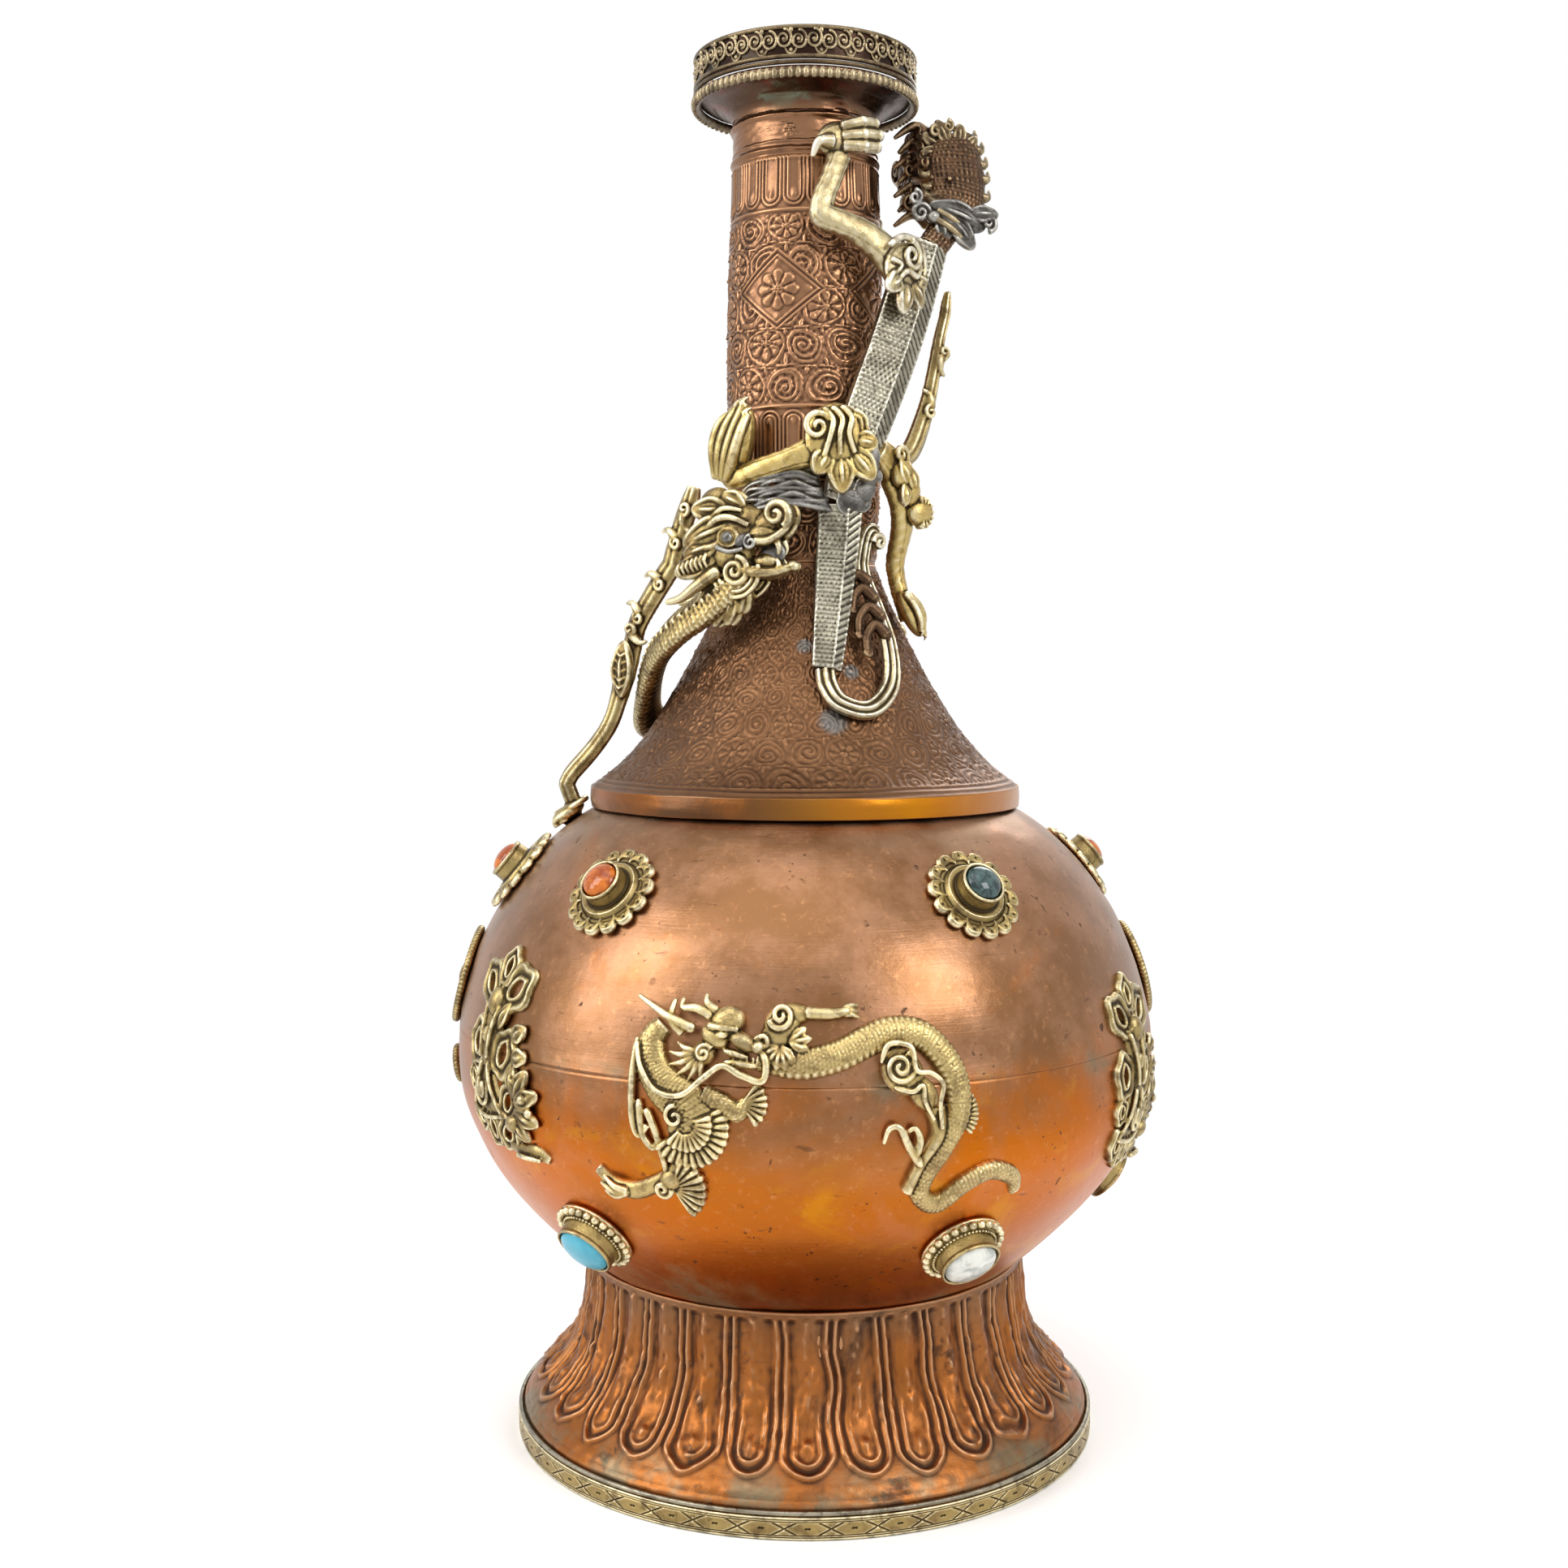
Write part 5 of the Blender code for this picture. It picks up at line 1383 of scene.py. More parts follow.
def lobe(x, y, angle, long, wide, z, tall=1.3):
    """Rings of a leaf that grows from a root: a swollen blade with two raised rims and a vein."""
    turn = math.radians(angle)
    out = np.array([math.cos(turn), math.sin(turn), 0.0])
    side = np.array([-out[1], out[0], 0.0])
    high = tall * UP
    root = np.array([x, y, z])
    middle = root + 0.55 * long * out
    runs = [flat_pod(*middle, 0.52 * long, wide, tall, angle)]
    thick = 0.2 + 0.2 * wide
    for hand in (-1, 1):
        bulge = root + 0.45 * long * out + 0.82 * hand * wide * side + 0.5 * high
        late = root + 0.84 * long * out + 0.50 * hand * wide * side + 0.4 * high
        runs.append(flat_lock((root, bulge, late, root + 1.02 * long * out), thick, 0.7 * thick))
    vein = (root, middle + high, root + 0.9 * long * out + 0.3 * high)
    runs.append(flat_lock(vein, 0.8 * thick, 0.5 * thick))
    return runs


def flat_ring(x, y, z, size, thick, tall=1.0):
    """Points of a closed round eyelet, as rings that start and end at the same place."""
    turn = np.linspace(0, TAU, 33)
    path = np.stack([x + size * np.cos(turn), y + tall * size * np.sin(turn), z + 0 * turn], -1)
    return tube(path, thick, 10, FLAT_GUIDE)


# Section of a pierced petal from its eye to its edge, as (share of the way, height)
PETAL_SECTION = (
    (0.0, -0.9), (0.0, 0.8), (0.13, 1.0), (0.30, 0.55), (0.48, 0.62), (0.66, 0.98), (0.82, 1.0),
    (1.0, 0.45), (1.0, -0.9),
)


def pierced_petal(x, y, angle, long, wide, z=0.9, eye=0.44, waves=5, tall=1.5):
    """Rings round a petal with a wavy edge and a pointed eye; two raised lines run round the eye."""
    turn = np.linspace(0, TAU, 73)
    tilt = math.radians(angle)
    out = np.array([math.cos(tilt), math.sin(tilt)])
    side = np.array([-out[1], out[0]])
    wave = 1 + 0.09 * np.cos(waves * turn)
    edge = np.stack([0.5 * long * np.cos(turn) * wave, 0.5 * wide * np.sin(turn) * wave], -1)
    pinch = np.abs(np.sin(turn)) ** 0.5 * np.sin(turn)
    hole = 0.5 * eye * np.stack([long * np.cos(turn), 0.72 * wide * pinch], -1)
    rows = []
    for share, lift in PETAL_SECTION:
        flat = hole + share * (edge - hole)
        place = np.array([x, y]) + flat[:, :1] * out + flat[:, 1:] * side
        rows.append(np.concatenate([place, np.full((len(turn), 1), z + tall * lift - 0.9)], 1))
    return np.swapaxes(np.array(rows), 0, 1)


def built(rows):
    """Rings of the flat forms in rows of (maker, its numbers)."""
    runs = []
    for maker, *numbers in rows:
        made = maker(*numbers)
        runs += made if isinstance(made, list) else [made]
    return runs


def fused(name, runs, voxel):
    """One soft cast mesh from overlapping closed forms."""
    shape = solid(name, runs)
    remesh = shape.modifiers.new("fuse", "REMESH")
    remesh.mode = "VOXEL"
    remesh.voxel_size = voxel
    graph = bpy.context.evaluated_depsgraph_get()
    mesh = bpy.data.meshes.new_from_object(shape.evaluated_get(graph))
    shape.modifiers.clear()
    shape.data = mesh
    mesh.shade_smooth()
    return shape


def laid_on_belly(flat, name, node, azimuth, raised, finish):
    """A copy of a flat relief, bent on to the belly at an azimuth and raised over its equator."""
    shape = bpy.data.objects.new(name, flat.data.copy())
    bpy.context.scene.collection.objects.link(shape)
    arc, rise, lift = (vertex_rows(shape.data) * MM).T
    turn = math.radians(azimuth) + arc / BELLY_RADIUS
    height = BELLY_EQUATOR + rise + raised
    step = 0.1 * MM
    slope = (belly_radius(height + step) - belly_radius(height - step)) / (2 * step)
    size = np.hypot(1, slope)
    radius = belly_radius(height) + lift / size
    laid = np.stack([radius * np.sin(turn), -radius * np.cos(turn), height - lift * slope / size], -1)
    shape.data.vertices.foreach_set("co", laid.ravel())
    shape.data.update()
    place_piece(shape, "brass", node, finish=finish)


def cast_on_belly(pattern, runs, voxel, shade, copies, finish=None):
    """Casts a flat pattern and lays a copy on the belly for each row of (name, node, azimuth, raised)."""
    flat = fused(pattern, runs, voxel)
    mark_relief(flat, *shade)
    for copy in copies:
        laid_on_belly(flat, *copy, finish)
    bpy.data.objects.remove(flat)


# Dragon on the belly: rows of (x, y, width, height) or (x, y, z) in millimetres

DRAGON_TRUNK = (
    (-12, 15.2, 6.6, 2.6), (-2, 13.7, 7.4, 3.2), (7, 15.5, 7.4, 3.2), (14, 18.6, 7.4, 3.2),
    (20, 20.4, 7.4, 3.2), (28, 19, 7.2, 3.2), (34.5, 11, 7.0, 3.2), (35.7, 2, 6.6, 3.2),
    (32, -6.5, 6.0, 3.0), (28.2, -13, 5.6, 2.8), (27.6, -18.5, 5.2, 2.7), (32.5, -21.3, 5.0, 2.6),
    (39.5, -16.6, 4.8, 2.5), (46, -14.2, 4.8, 2.4), (53, -16.6, 4.6, 2.2), (55.6, -21, 3.2, 1.5),
)
DRAGON_NECK = (
    (-36, 21.5, 5.0, 2.0), (-38.6, 18, 7.0, 2.8), (-38.2, 12.5, 8.4, 3.0), (-35.0, 7.8, 10.0, 3.0),
    (-29.5, 3.4, 12.0, 2.9), (-27.0, -2, 14.0, 2.6), (-27.8, -8, 11.5, 1.9),
)
DRAGON_HORNS = (
    ((-27, 20.5, 3.2), (-34, 23, 3.6), (-43, 27.2, 2.4)),
    ((-30, 19.5, 2.6), (-33.2, 22.5, 3.2), (-33, 27.0, 2.2)),
    ((-23, 23.5, 2.8), (-27, 25.0, 3.4), (-30.6, 25.2, 2.8), (-31, 27.4, 2.0)),
    ((-22, 24.5, 2.8), (-24.5, 26.4, 3.0), (-25.0, 28.4, 2.2)),
)
DRAGON_WHISKER = (
    (-11.2, 16.8, 3.2), (-9.8, 13.6, 3.2), (-10.8, 9.8, 3.0), (-15.5, 11.0, 3.4), (-20, 12.9, 3.6),
    (-24.5, 9.8, 3.8), (-29.5, 6.0, 3.8), (-35.5, 6.6, 3.8), (-39.6, 11.5, 3.8), (-41.6, 17, 3.0),
)
DRAGON_STRANDS = (
    ((-42.4, 18, 1.0), (-43.0, 8, 1.2), (-42.6, -1, 1.2), (-41, -4.6, 1.2), (-38.6, -2.0, 1.2)),
    ((-41.0, 4, 1.0), (-40.0, -4, 1.2), (-37.4, -7.2, 1.2), (-35.8, -4.6, 1.2)),
    ((-39.0, 2, 1.2), (-36.6, -3, 1.4), (-35.2, -9, 1.2), (-34.6, -13.5, 1.0)),
)
DRAGON_FOOT = (
    (-29, -7.5, 4.2, 1.8), (-32.5, -13.2, 4.4, 2.0), (-39, -17.2, 4.4, 2.0), (-45, -19.4, 4.6, 2.0),
    (-50.6, -18.4, 3.6, 1.8), (-54.6, -14.8, 2.6, 1.4),
)
DRAGON_FORELEG = ((-9.5, 15.5, 6.0, 2.6), (-7.8, 20, 7.6, 3.4), (-4.6, 24.2, 6.4, 3.4), (0, 24.9, 3.4, 2.8))
DRAGON_ARM = ((-25, 6, 5.4, 2.2), (-20.5, 4.4, 5.0, 2.4), (-16.4, 2.6, 5.0, 2.4), (-11.4, 7.6, 3.6, 2.0))
DRAGON_SHIN = ((29.6, 3, 5.4, 3.4), (30.4, -3.4, 4.0, 3.2), (26.6, -10, 3.0, 2.8), (23.8, -17.2, 3.2, 2.6))
DRAGON_TOES = (
    ((26.4, -10.2, 2.4), (23.2, -5.6, 2.6), (20.8, -1.0, 2.6), (18.4, -1.2, 2.2), (17.4, -4.8, 1.2)),
    ((24.6, -7.6, 2.4), (25.6, -4.2, 2.6), (24.6, -1.4, 2.2), (23.0, -2.4, 1.4)),
)
DRAGON_TEETH = (-17.6, -16.0, -14.4, -12.9)
CHEEK = (-25.4, 15.4)
CHEEK_LOCKS = (6.8, 8.2, 8.4, 8.0, 7.4, 6.0)
# Lobes on the foreleg, as (angle, length)
FOREARM_LOBES = ((-20, 4.6), (10, 5.2), (40, 5.0))
SHOULDER_LOBES = ((205, 4.6), (232, 5.0), (258, 5.2), (284, 5.2), (310, 5.0))


def trunk_texture(along, across):
    """Scales over the back, plates along the under edge and a notched fin along the outer edge."""
    scales = 0.42 * fish_scales(along / 0.95, across / 0.95)
    plates = 0.50 * ribs(along / 1.75)
    under = np.clip((-across - 2.05) / 0.25, 0, 1) * np.clip((62 - along) / 4, 0, 1)
    fin = np.clip((across - 2.35) / 0.25, 0, 1)
    return scales * (1 - under) * (1 - fin) + plates * under + 0.45 * ribs(along / 1.3) * fin - 0.3


def scale_texture(along, across):
    return 0.42 * fish_scales(along / 0.95, across / 0.95) - 0.25


def belly_claw(dy):
    """One claw of the forefoot."""
    path = ((8.4, 25.1 + 0.6 * dy, 2.0), (10.4, 25.3 + dy, 2.2), (12.2, 25.0 + 1.25 * dy, 1.2))
    return flat_lock(path, 0.8, 0.3, 10)


def belly_toe(dx, dy):
    """One toe of the foot that reaches forward under the head."""
    path = ((-46, -19, 1.8), (-48 + 0.4 * dx, -19 + 0.6 * dy, 2.6), (-50.4 + dx, -18.4 + dy, 1.0))
    return flat_lock(path, 1.15, 0.35, 12)


def belly_tooth(i):
    """One of the upper teeth, from the back of the jaw forward."""
    x = DRAGON_TEETH[i]
    return flat_lock(((x, 15.8 - 0.25 * i, 2.6), (x + 0.1, 14.4 - 0.2 * i, 2.4)), 0.45, 0.15, 6)


def cheek_lock(i):
    """One flame lock that grows backward from the cheek."""
    turn = math.radians(158 + 22 * i)
    reach = CHEEK_LOCKS[i]
    x, y = CHEEK
    tip = (x + reach * math.cos(turn), y + reach * math.sin(turn) * 0.9, 1.7)
    half = (x + 0.55 * reach * math.cos(turn + 0.12), y + 0.5 * reach * math.sin(turn + 0.12), 2.8)
    return flat_lock(((x, y, 2.2), half, tip), 1.25, 0.25)


DRAGON_HEAD = (
    # skull, temple, muzzle, nose, brow and eye
    (flat_pod, -19.2, 22.6, 2.8, 4.2, 3.4, 2.6, 20),
    (flat_pod, -22.4, 19.4, 2.2, 3.6, 2.6, 2.4, -30),
    (flat_pod, -15.4, 18.4, 2.4, 3.8, 2.0, 2.3, -25),
    (flat_pod, -11.8, 17.2, 2.6, 1.8, 1.6, 2.2, 20),
    (flat_pod, -20.2, 19.6, 4.2, 1.5, 1.0, 0.9, 10),
    (flat_pod, -20.2, 19.5, 4.6, 0.75, 0.75, 0.8),
    # upper lip, lower jaw and cheek
    (flat_pod, -17.2, 15.6, 1.8, 3.4, 1.0, 1.6, -14),
    (flat_pod, -15.8, 13.4, 1.6, 4.4, 1.1, 1.5, -6),
    (flat_pod, -24.8, 15.6, 2.0, 2.8, 2.8, 2.2, 40),
    # brow line, nostril and the coil on the cheek
    (flat_lock, ((-23.8, 21.4, 3.8), (-20.0, 21.0, 4.9), (-16.4, 20.8, 4.2)), 0.9, 0.5),
    (flat_lock, ((-12.8, 18.8, 3.0), (-10.4, 19.6, 3.2), (-9.6, 17.8, 3.2), (-11.2, 17.0, 3.4)), 0.7, 0.5),
    (flat_coil, -24.4, 15.4, 3.6, 2.0, 1.4, 30, 1, 0.6),
    *((belly_tooth, i) for i in range(len(DRAGON_TEETH))),
    *((cheek_lock, i) for i in range(len(CHEEK_LOCKS))),
    *((flat_lock, path, 1.35, 0.5) for path in DRAGON_HORNS),
)
DRAGON_LIMBS = (
    (flat_strip, DRAGON_FORELEG), (flat_strip, DRAGON_ARM, scale_texture), (flat_strip, DRAGON_SHIN),
    # forefoot, its claws and the shoulder with its coil and lobes
    (flat_lock, ((-1, 24.9, 2.2), (5, 24.6, 2.4), (9.4, 25.2, 2.0)), 1.5, 1.1),
    (belly_claw, -1.0), (belly_claw, 0.0), (belly_claw, 1.1),
    (flat_pod, -6.4, 22.6, 1.4, 4.8, 4.0, 2.4, 40),
    (flat_coil, -6.6, 24.0, 3.6, 3.0, 1.6, 200, 1, 0.8),
    *((lobe, -4.6, 18.4, angle, long, 1.1, 2.0, 1.2) for angle, long in FOREARM_LOBES),
    *((lobe, -6.6, 17.6, angle, long, 1.2, 2.4, 1.2) for angle, long in SHOULDER_LOBES),
    # fan at the arm's end, then the foot under the head with its toes, fan, coil and heel
    (flat_shell, -15.6, 4.6, -62, 58, 7, 0.6, 6.4, 1.2, 1.3),
    (flat_strip, DRAGON_FOOT),
    (belly_toe, -2.6, 2.4), (belly_toe, -4.0, 0.2), (belly_toe, -3.2, -1.8),
    (flat_shell, -33.4, -16.6, -64, 74, 9, 1.0, 8.8, 1.1, 1.4),
    (flat_coil, -35.6, -16.8, 2.2, 2.2, 1.3, 0, -1, 0.8),
    (flat_pod, -33.6, -15.0, 1.0, 3.4, 2.6, 1.9, 30),
    # breast: two rows of plumes, a coil and long strands
    (flat_shell, -28.4, -1.4, -150, 34, 15, 4.6, 10.2, 1.0, 1.5),
    (flat_shell, -28.6, -0.6, -140, 24, 11, 2.4, 6.6, 2.4, 1.0),
    (flat_coil, -31.0, 1.0, 3.0, 2.6, 1.2, 90, 1, 0.6),
    *((flat_lock, path, 1.0, 0.7, 26) for path in DRAGON_STRANDS),
    # thigh with its coil and the lines that run down the shin, toes and the fan behind the knee
    (flat_pod, 21.8, 11.4, 2.0, 5.8, 4.8, 2.6, -50),
    (flat_pod, 26.6, 6.4, 2.0, 4.4, 3.2, 2.4, -55),
    (flat_coil, 20.8, 12.6, 4.0, 3.8, 1.9, 60, -1, 0.75),
    (flat_lock, (
        (16.6, 13.6, 3.2), (18.4, 17.6, 4.2), (23.4, 16.8, 4.6), (24.4, 11.8, 4.8), (27.8, 11.0, 4.8),
        (30.6, 8.4, 4.6), (29.8, 4.0, 4.4), (30.6, -1.5, 3.6),
    ), 0.7, 0.55, 40),
    (flat_lock, (
        (19.4, 8.2, 3.4), (23.4, 7.2, 4.2), (25.8, 8.4, 4.6), (26.4, 4.6, 4.2), (28.6, 0.6, 3.8),
    ), 0.65, 0.5, 30),
    *((flat_lock, path, 1.2, 0.5, 24) for path in DRAGON_TOES),
    (flat_shell, 33.6, 0.8, -44, 40, 9, 3.0, 7.6, 0.7, 1.1),
    # whisker
    (flat_lock, DRAGON_WHISKER, 0.95, 0.6, 70),
)


def make_belly_dragons():
    """The same dragon at the front and at the back."""
    runs = []
    for path, texture in ((DRAGON_TRUNK, trunk_texture), (DRAGON_NECK, scale_texture)):
        runs.append(flat_strip(path, texture, steps_per_mm=4.0, sides=35))
    runs += built(DRAGON_HEAD) + built(DRAGON_LIMBS)
    copies = (("dragon_front", "front_dragon", 0, 0.0), ("dragon_rear", "back_dragon", 180, 0.0))
    cast_on_belly("dragon_pattern", runs, BELLY_DRAGON_VOXEL, BELLY_DRAGON_SHADE, copies, "bright_brass")


# Scroll emblem on the belly, flat in millimetres from its own centre

EMBLEM_PETALS = (
    # trefoil: left, right and top petals, as (x, y, angle, long, wide)
    (-10.2, 24.4, 138, 14.0, 11.0), (4.0, 24.4, 32, 16.0, 12.0), (-2.6, 29.0, 84, 10.4, 9.6),
    # the pair of eyes beside the stem, then a small eye and the wing's eye
    (-11.2, 9.4, 98, 13.0, 10.6), (3.4, 8.4, 66, 14.0, 12.0), (-12.0, 0.4, 108, 7.6, 6.4),
    (6.8, -3.0, 62, 11.0, 8.8),
    # scrolls at the lower end
    (-9.4, -8.8, 122, 10.0, 7.6), (-2.8, -11.4, 100, 10.4, 8.0), (4.8, -11.4, 30, 10.8, 9.6),
)
EMBLEM_LOBES = (
    # leaves by the stem, beside the right eye and on the wing, as (x, y, angle, long, wide)
    (-0.8, 14.0, 58, 7.6, 1.9), (7.2, 12.6, 34, 5.6, 2.3), (8.0, 8.4, 4, 5.6, 2.3),
    (6.8, 4.0, -24, 5.0, 2.0), (9.0, -0.6, 92, 6.4, 2.2), (9.4, -1.6, 56, 8.6, 2.4),
    (9.6, -2.8, 20, 9.4, 2.4), (9.4, -4.6, -14, 9.2, 2.3), (8.6, -6.6, -42, 7.4, 2.0),
)
EMBLEM_PODS = (
    # knobs at the trefoil's root, on the stem, in the bell and on the wing
    (-3.4, 20.4, 1.6, 3.4, 2.8, 1.8, 90), (-4.2, 12.2, 2.2, 2.0, 1.3, 1.0, 90),
    (8.6, -8.0, 1.4, 2.6, 2.2, 1.7, 20), (-4.2, -1.6, 2.4, 2.2, 1.4, 0.9, 90),
    (14.0, -1.0, 2.0, 1.3, 1.2, 1.0, 0), (16.0, -4.2, 1.6, 1.3, 1.2, 1.0, 0),
)
EMBLEM_STEM = ((-4.4, 20.5, 9.6, 1.9), (-4.2, 14, 8.0, 2.2), (-4.0, 8, 6.2, 2.4), (-3.8, 4.5, 5.6, 2.0))
EMBLEM_SKIRT = (
    (-4.4, 5.0, 4.2, 1.5), (-4.0, 1.0, 8.5, 1.7), (-3.8, -4.0, 13.5, 1.6), (-3.6, -7.6, 15.5, 1.2),
)
EMBLEM_LEAF = (
    (4.8, -14.0, 3.0, 1.4), (7.6, -14.9, 4.0, 1.6), (11.5, -15.4, 4.6, 1.9), (16.0, -14.6, 4.2, 1.8),
    (20.0, -16.2, 2.0, 1.1),
)
EMBLEM_LINES = (
    # edges of the stem, edges of the bell, its hem, the tongue in it and the vein of the leaf
    ((-7.6, 19.6, 1.6), (-6.4, 13, 2.4), (-5.6, 6.5, 2.4)),
    ((-0.8, 19.6, 1.6), (-2.0, 13, 2.4), (-2.4, 6.5, 2.4)),
    ((-5.6, 5.4, 1.8), (-7.8, -0.6, 2.0), (-11.6, -7.0, 1.4)),
    ((-2.6, 5.4, 1.8), (-0.4, -0.6, 2.0), (3.6, -7.0, 1.4)),
    ((-11.8, -6.8, 1.5), (-4.0, -8.2, 2.0), (3.8, -7.2, 1.5)),
    ((-6.6, 1.6, 2.0), (-6.4, -3.6, 2.4), (-4.0, -5.0, 2.4), (-1.8, -3.4, 2.4), (-1.8, 1.6, 2.0)),
    ((9.0, -15.4, 2.2), (14.0, -15.0, 3.0), (18.4, -15.6, 2.0)),
)


def make_emblems():
    """Pierced petals, knobs, leaves, stem and lines, cast as one."""
    runs = [pierced_petal(*petal) for petal in EMBLEM_PETALS]
    runs += [flat_pod(*pod) for pod in EMBLEM_PODS]
    for leaf in EMBLEM_LOBES:
        runs += lobe(*leaf, 0.9, 1.2)
    runs += [flat_strip(path) for path in (EMBLEM_STEM, EMBLEM_SKIRT, EMBLEM_LEAF)]
    runs += [flat_lock(path, 0.7, 0.5) for path in EMBLEM_LINES]
    copies = []
    for number, (azimuth, raised) in enumerate(EMBLEM_PLACES, 1):
        copies.append((f"emblem_{number}", f"scroll_emblem_{number}", azimuth, raised))
    cast_on_belly("emblem_pattern", runs, EMBLEM_VOXEL, EMBLEM_SHADE, copies)


def medallion_runs(radius, beads, petals):
    """A round plaque with a roped border round a flower, flat in millimetres."""
    rope = radius - 1.3
    runs = [flat_pod(0, 0, 0.5, rope, rope, 1.2), flat_ring(0, 0, 1.4, rope - 1.9, 0.5)]
    for turn in circle(beads):
        place = (rope * math.cos(turn), rope * math.sin(turn), 1.5)
        runs.append(flat_pod(*place, 1.5, 0.62, 1.1, math.degrees(turn) + 52))
    reach = rope - 2.6
    runs += flat_fan(petals, 0.25 * reach, reach, 1.9 * reach / petals, 1.5)
    runs.append(flat_pod(0, 0, 1.8, 0.3 * reach, 0.3 * reach, 1.3))
    return runs


def make_medallions():
    """Two roped plaques at the sides and one small disc."""
    copies = []
    for number, azimuth in enumerate(MEDALLION_AZIMUTHS, 1):
        copies.append((f"medallion_{number}", f"rope_medallion_{number}", azimuth, MEDALLION_RISE))
    runs = medallion_runs(MEDALLION_RADIUS / MM, MEDALLION_BEADS, MEDALLION_PETALS)
    cast_on_belly("medallion_pattern", runs, MEDALLION_VOXEL, PLAQUE_SHADE, copies)
    copies = [("plain_disc", "small_disc", DISC_AZIMUTH, DISC_RISE)]
    runs = medallion_runs(DISC_RADIUS / MM, DISC_BEADS, DISC_PETALS)
    cast_on_belly("disc_pattern", runs, DISC_VOXEL, PLAQUE_SHADE, copies)


# Dragons round the neck: rows of (azimuth, station, standoff, width, thickness). Station 0 is the collar,
# 1 the neck's foot and 2 the sleeve's top; azimuths are in degrees and the rest in millimetres.

CLIMBING_BODY = (
    (20.5, 1.13, 6.3, 9, 4.6), (24, 1.18, 6.4, 11, 5.0), (37, 1.316, 6.5, 14, 5.0),
    (54, 1.497, 9.0, 14.5, 5.0), (65, 1.644, 12.0, 14, 5.0), (70, 1.722, 14.0, 13, 5.0),
)
CLIMBING_FACING = 25
CLIMBING_TAIL = (
    (20, 1.125, 6.6, 12, 4.0), (18, 0.99, 6.5, 11, 4.0), (12.5, 0.74, 4.9, 9.5, 3.6),
    (8.5, 0.53, 3.4, 8, 3.0),
)
TAIL_FACING = 10
JOINT_LUMPS = (
    (-1.0, -3.0, 3.2), (2.0, -1.0, 3.0), (3.4, 2.4, 2.6), (4.6, 5.6, 2.2), (5.4, 8.6, 1.8), (0.2, 1.2, 2.2),
    (-3.4, -4.6, 2.0), (2.4, -4.4, 1.8), (6.4, 3.6, 1.4),
)
CLIMBING_SCROLL = (
    (8, 0.53, 2.9, 5.4, 2.6), (8.6, 0.46, 2.7, 5.4, 2.6), (13, 0.385, 2.3, 5.2, 2.6),
    (24, 0.36, 2.3, 5.2, 2.6), (36, 0.47, 3.2, 5.2, 2.6), (40, 0.64, 5.0, 5.0, 2.4),
    (38, 0.80, 6.0, 4.6, 2.4), (35, 0.95, 6.0, 4.2, 2.4), (38, 1.05, 6.0, 4.0, 2.4),
    (44, 1.07, 6.0, 3.8, 2.4), (48, 1.03, 6.0, 2.8, 2.2),
)
CLIMBING_NECK = (
    (73, 1.715, 15.0, 8, 5.0), (78, 1.765, 18.4, 9, 6.0), (81, 1.80, 20.2, 13, 8.0),
    (83, 1.825, 20.8, 16.5, 9.5), (86, 1.87, 21.0, 17.5, 10.0), (88.5, 1.915, 20.7, 17.5, 10.0),
    (90.5, 1.955, 20.2, 16.0, 9.0), (92, 1.985, 19.6, 12, 7.0),
)
NECK_FACING = 14
FORELEG_NEAR = (
    (52, 1.65, 10.2, 11, 7.0), (44, 1.685, 9.2, 9.5, 6.8), (31, 1.722, 7.5, 7.6, 6.2),
    (18, 1.742, 6.9, 6.8, 5.8), (9, 1.757, 6.6, 6.8, 5.8), (10.5, 1.80, 6.0, 6.2, 5.4),
    (15, 1.84, 5.5, 6, 5.2), (21, 1.895, 4.6, 6.5, 4.6),
)
FORELEG_FAR = (
    (75, 1.65, 13.0, 8, 7.0), (103, 1.71, 9.5, 6, 5.0), (128, 1.79, 6.0, 5, 5.0), (140, 1.83, 3.6, 6, 4.5),
)
HINDLEG_NEAR = (
    (21, 1.25, 8.0, 12, 8.0), (8, 1.245, 8.0, 9.5, 7.0), (-6, 1.225, 8.2, 6.6, 6.0),
    (-25, 1.20, 8.5, 6.0, 5.5), (-41, 1.185, 8.2, 6.4, 5.2), (-45, 1.215, 7.4, 7, 5.0),
    (-43.5, 1.26, 6.2, 8, 4.6), (-41.5, 1.31, 4.8, 8, 4.4),
)
HINDLEG_FAR = (
    (43, 1.25, 7.0, 7, 6.0), (62, 1.20, 6.5, 11, 7.0), (70, 1.11, 8.0, 9, 6.5), (73, 1.0, 6.0, 6, 5.4),
    (73.5, 0.86, 4.6, 5.4, 5.0), (74.5, 0.75, 3.4, 7, 4.5),
)
CLIMBING_STREAMER = (
    (87, 1.63, 18.4, 1.6, 2.0), (86.5, 1.60, 18.0, 3.0, 2.6), (86, 1.57, 17.5, 3.2, 2.8),
    (84, 1.516, 16.0, 3.4, 3.0), (82, 1.39, 13.5, 4.4, 3.2), (79, 1.31, 11.2, 5.4, 3.4),
    (75, 1.26, 9.2, 5.6, 3.8), (68, 1.235, 7.0, 5, 4.0),
)
STREAMER_FACING = 35
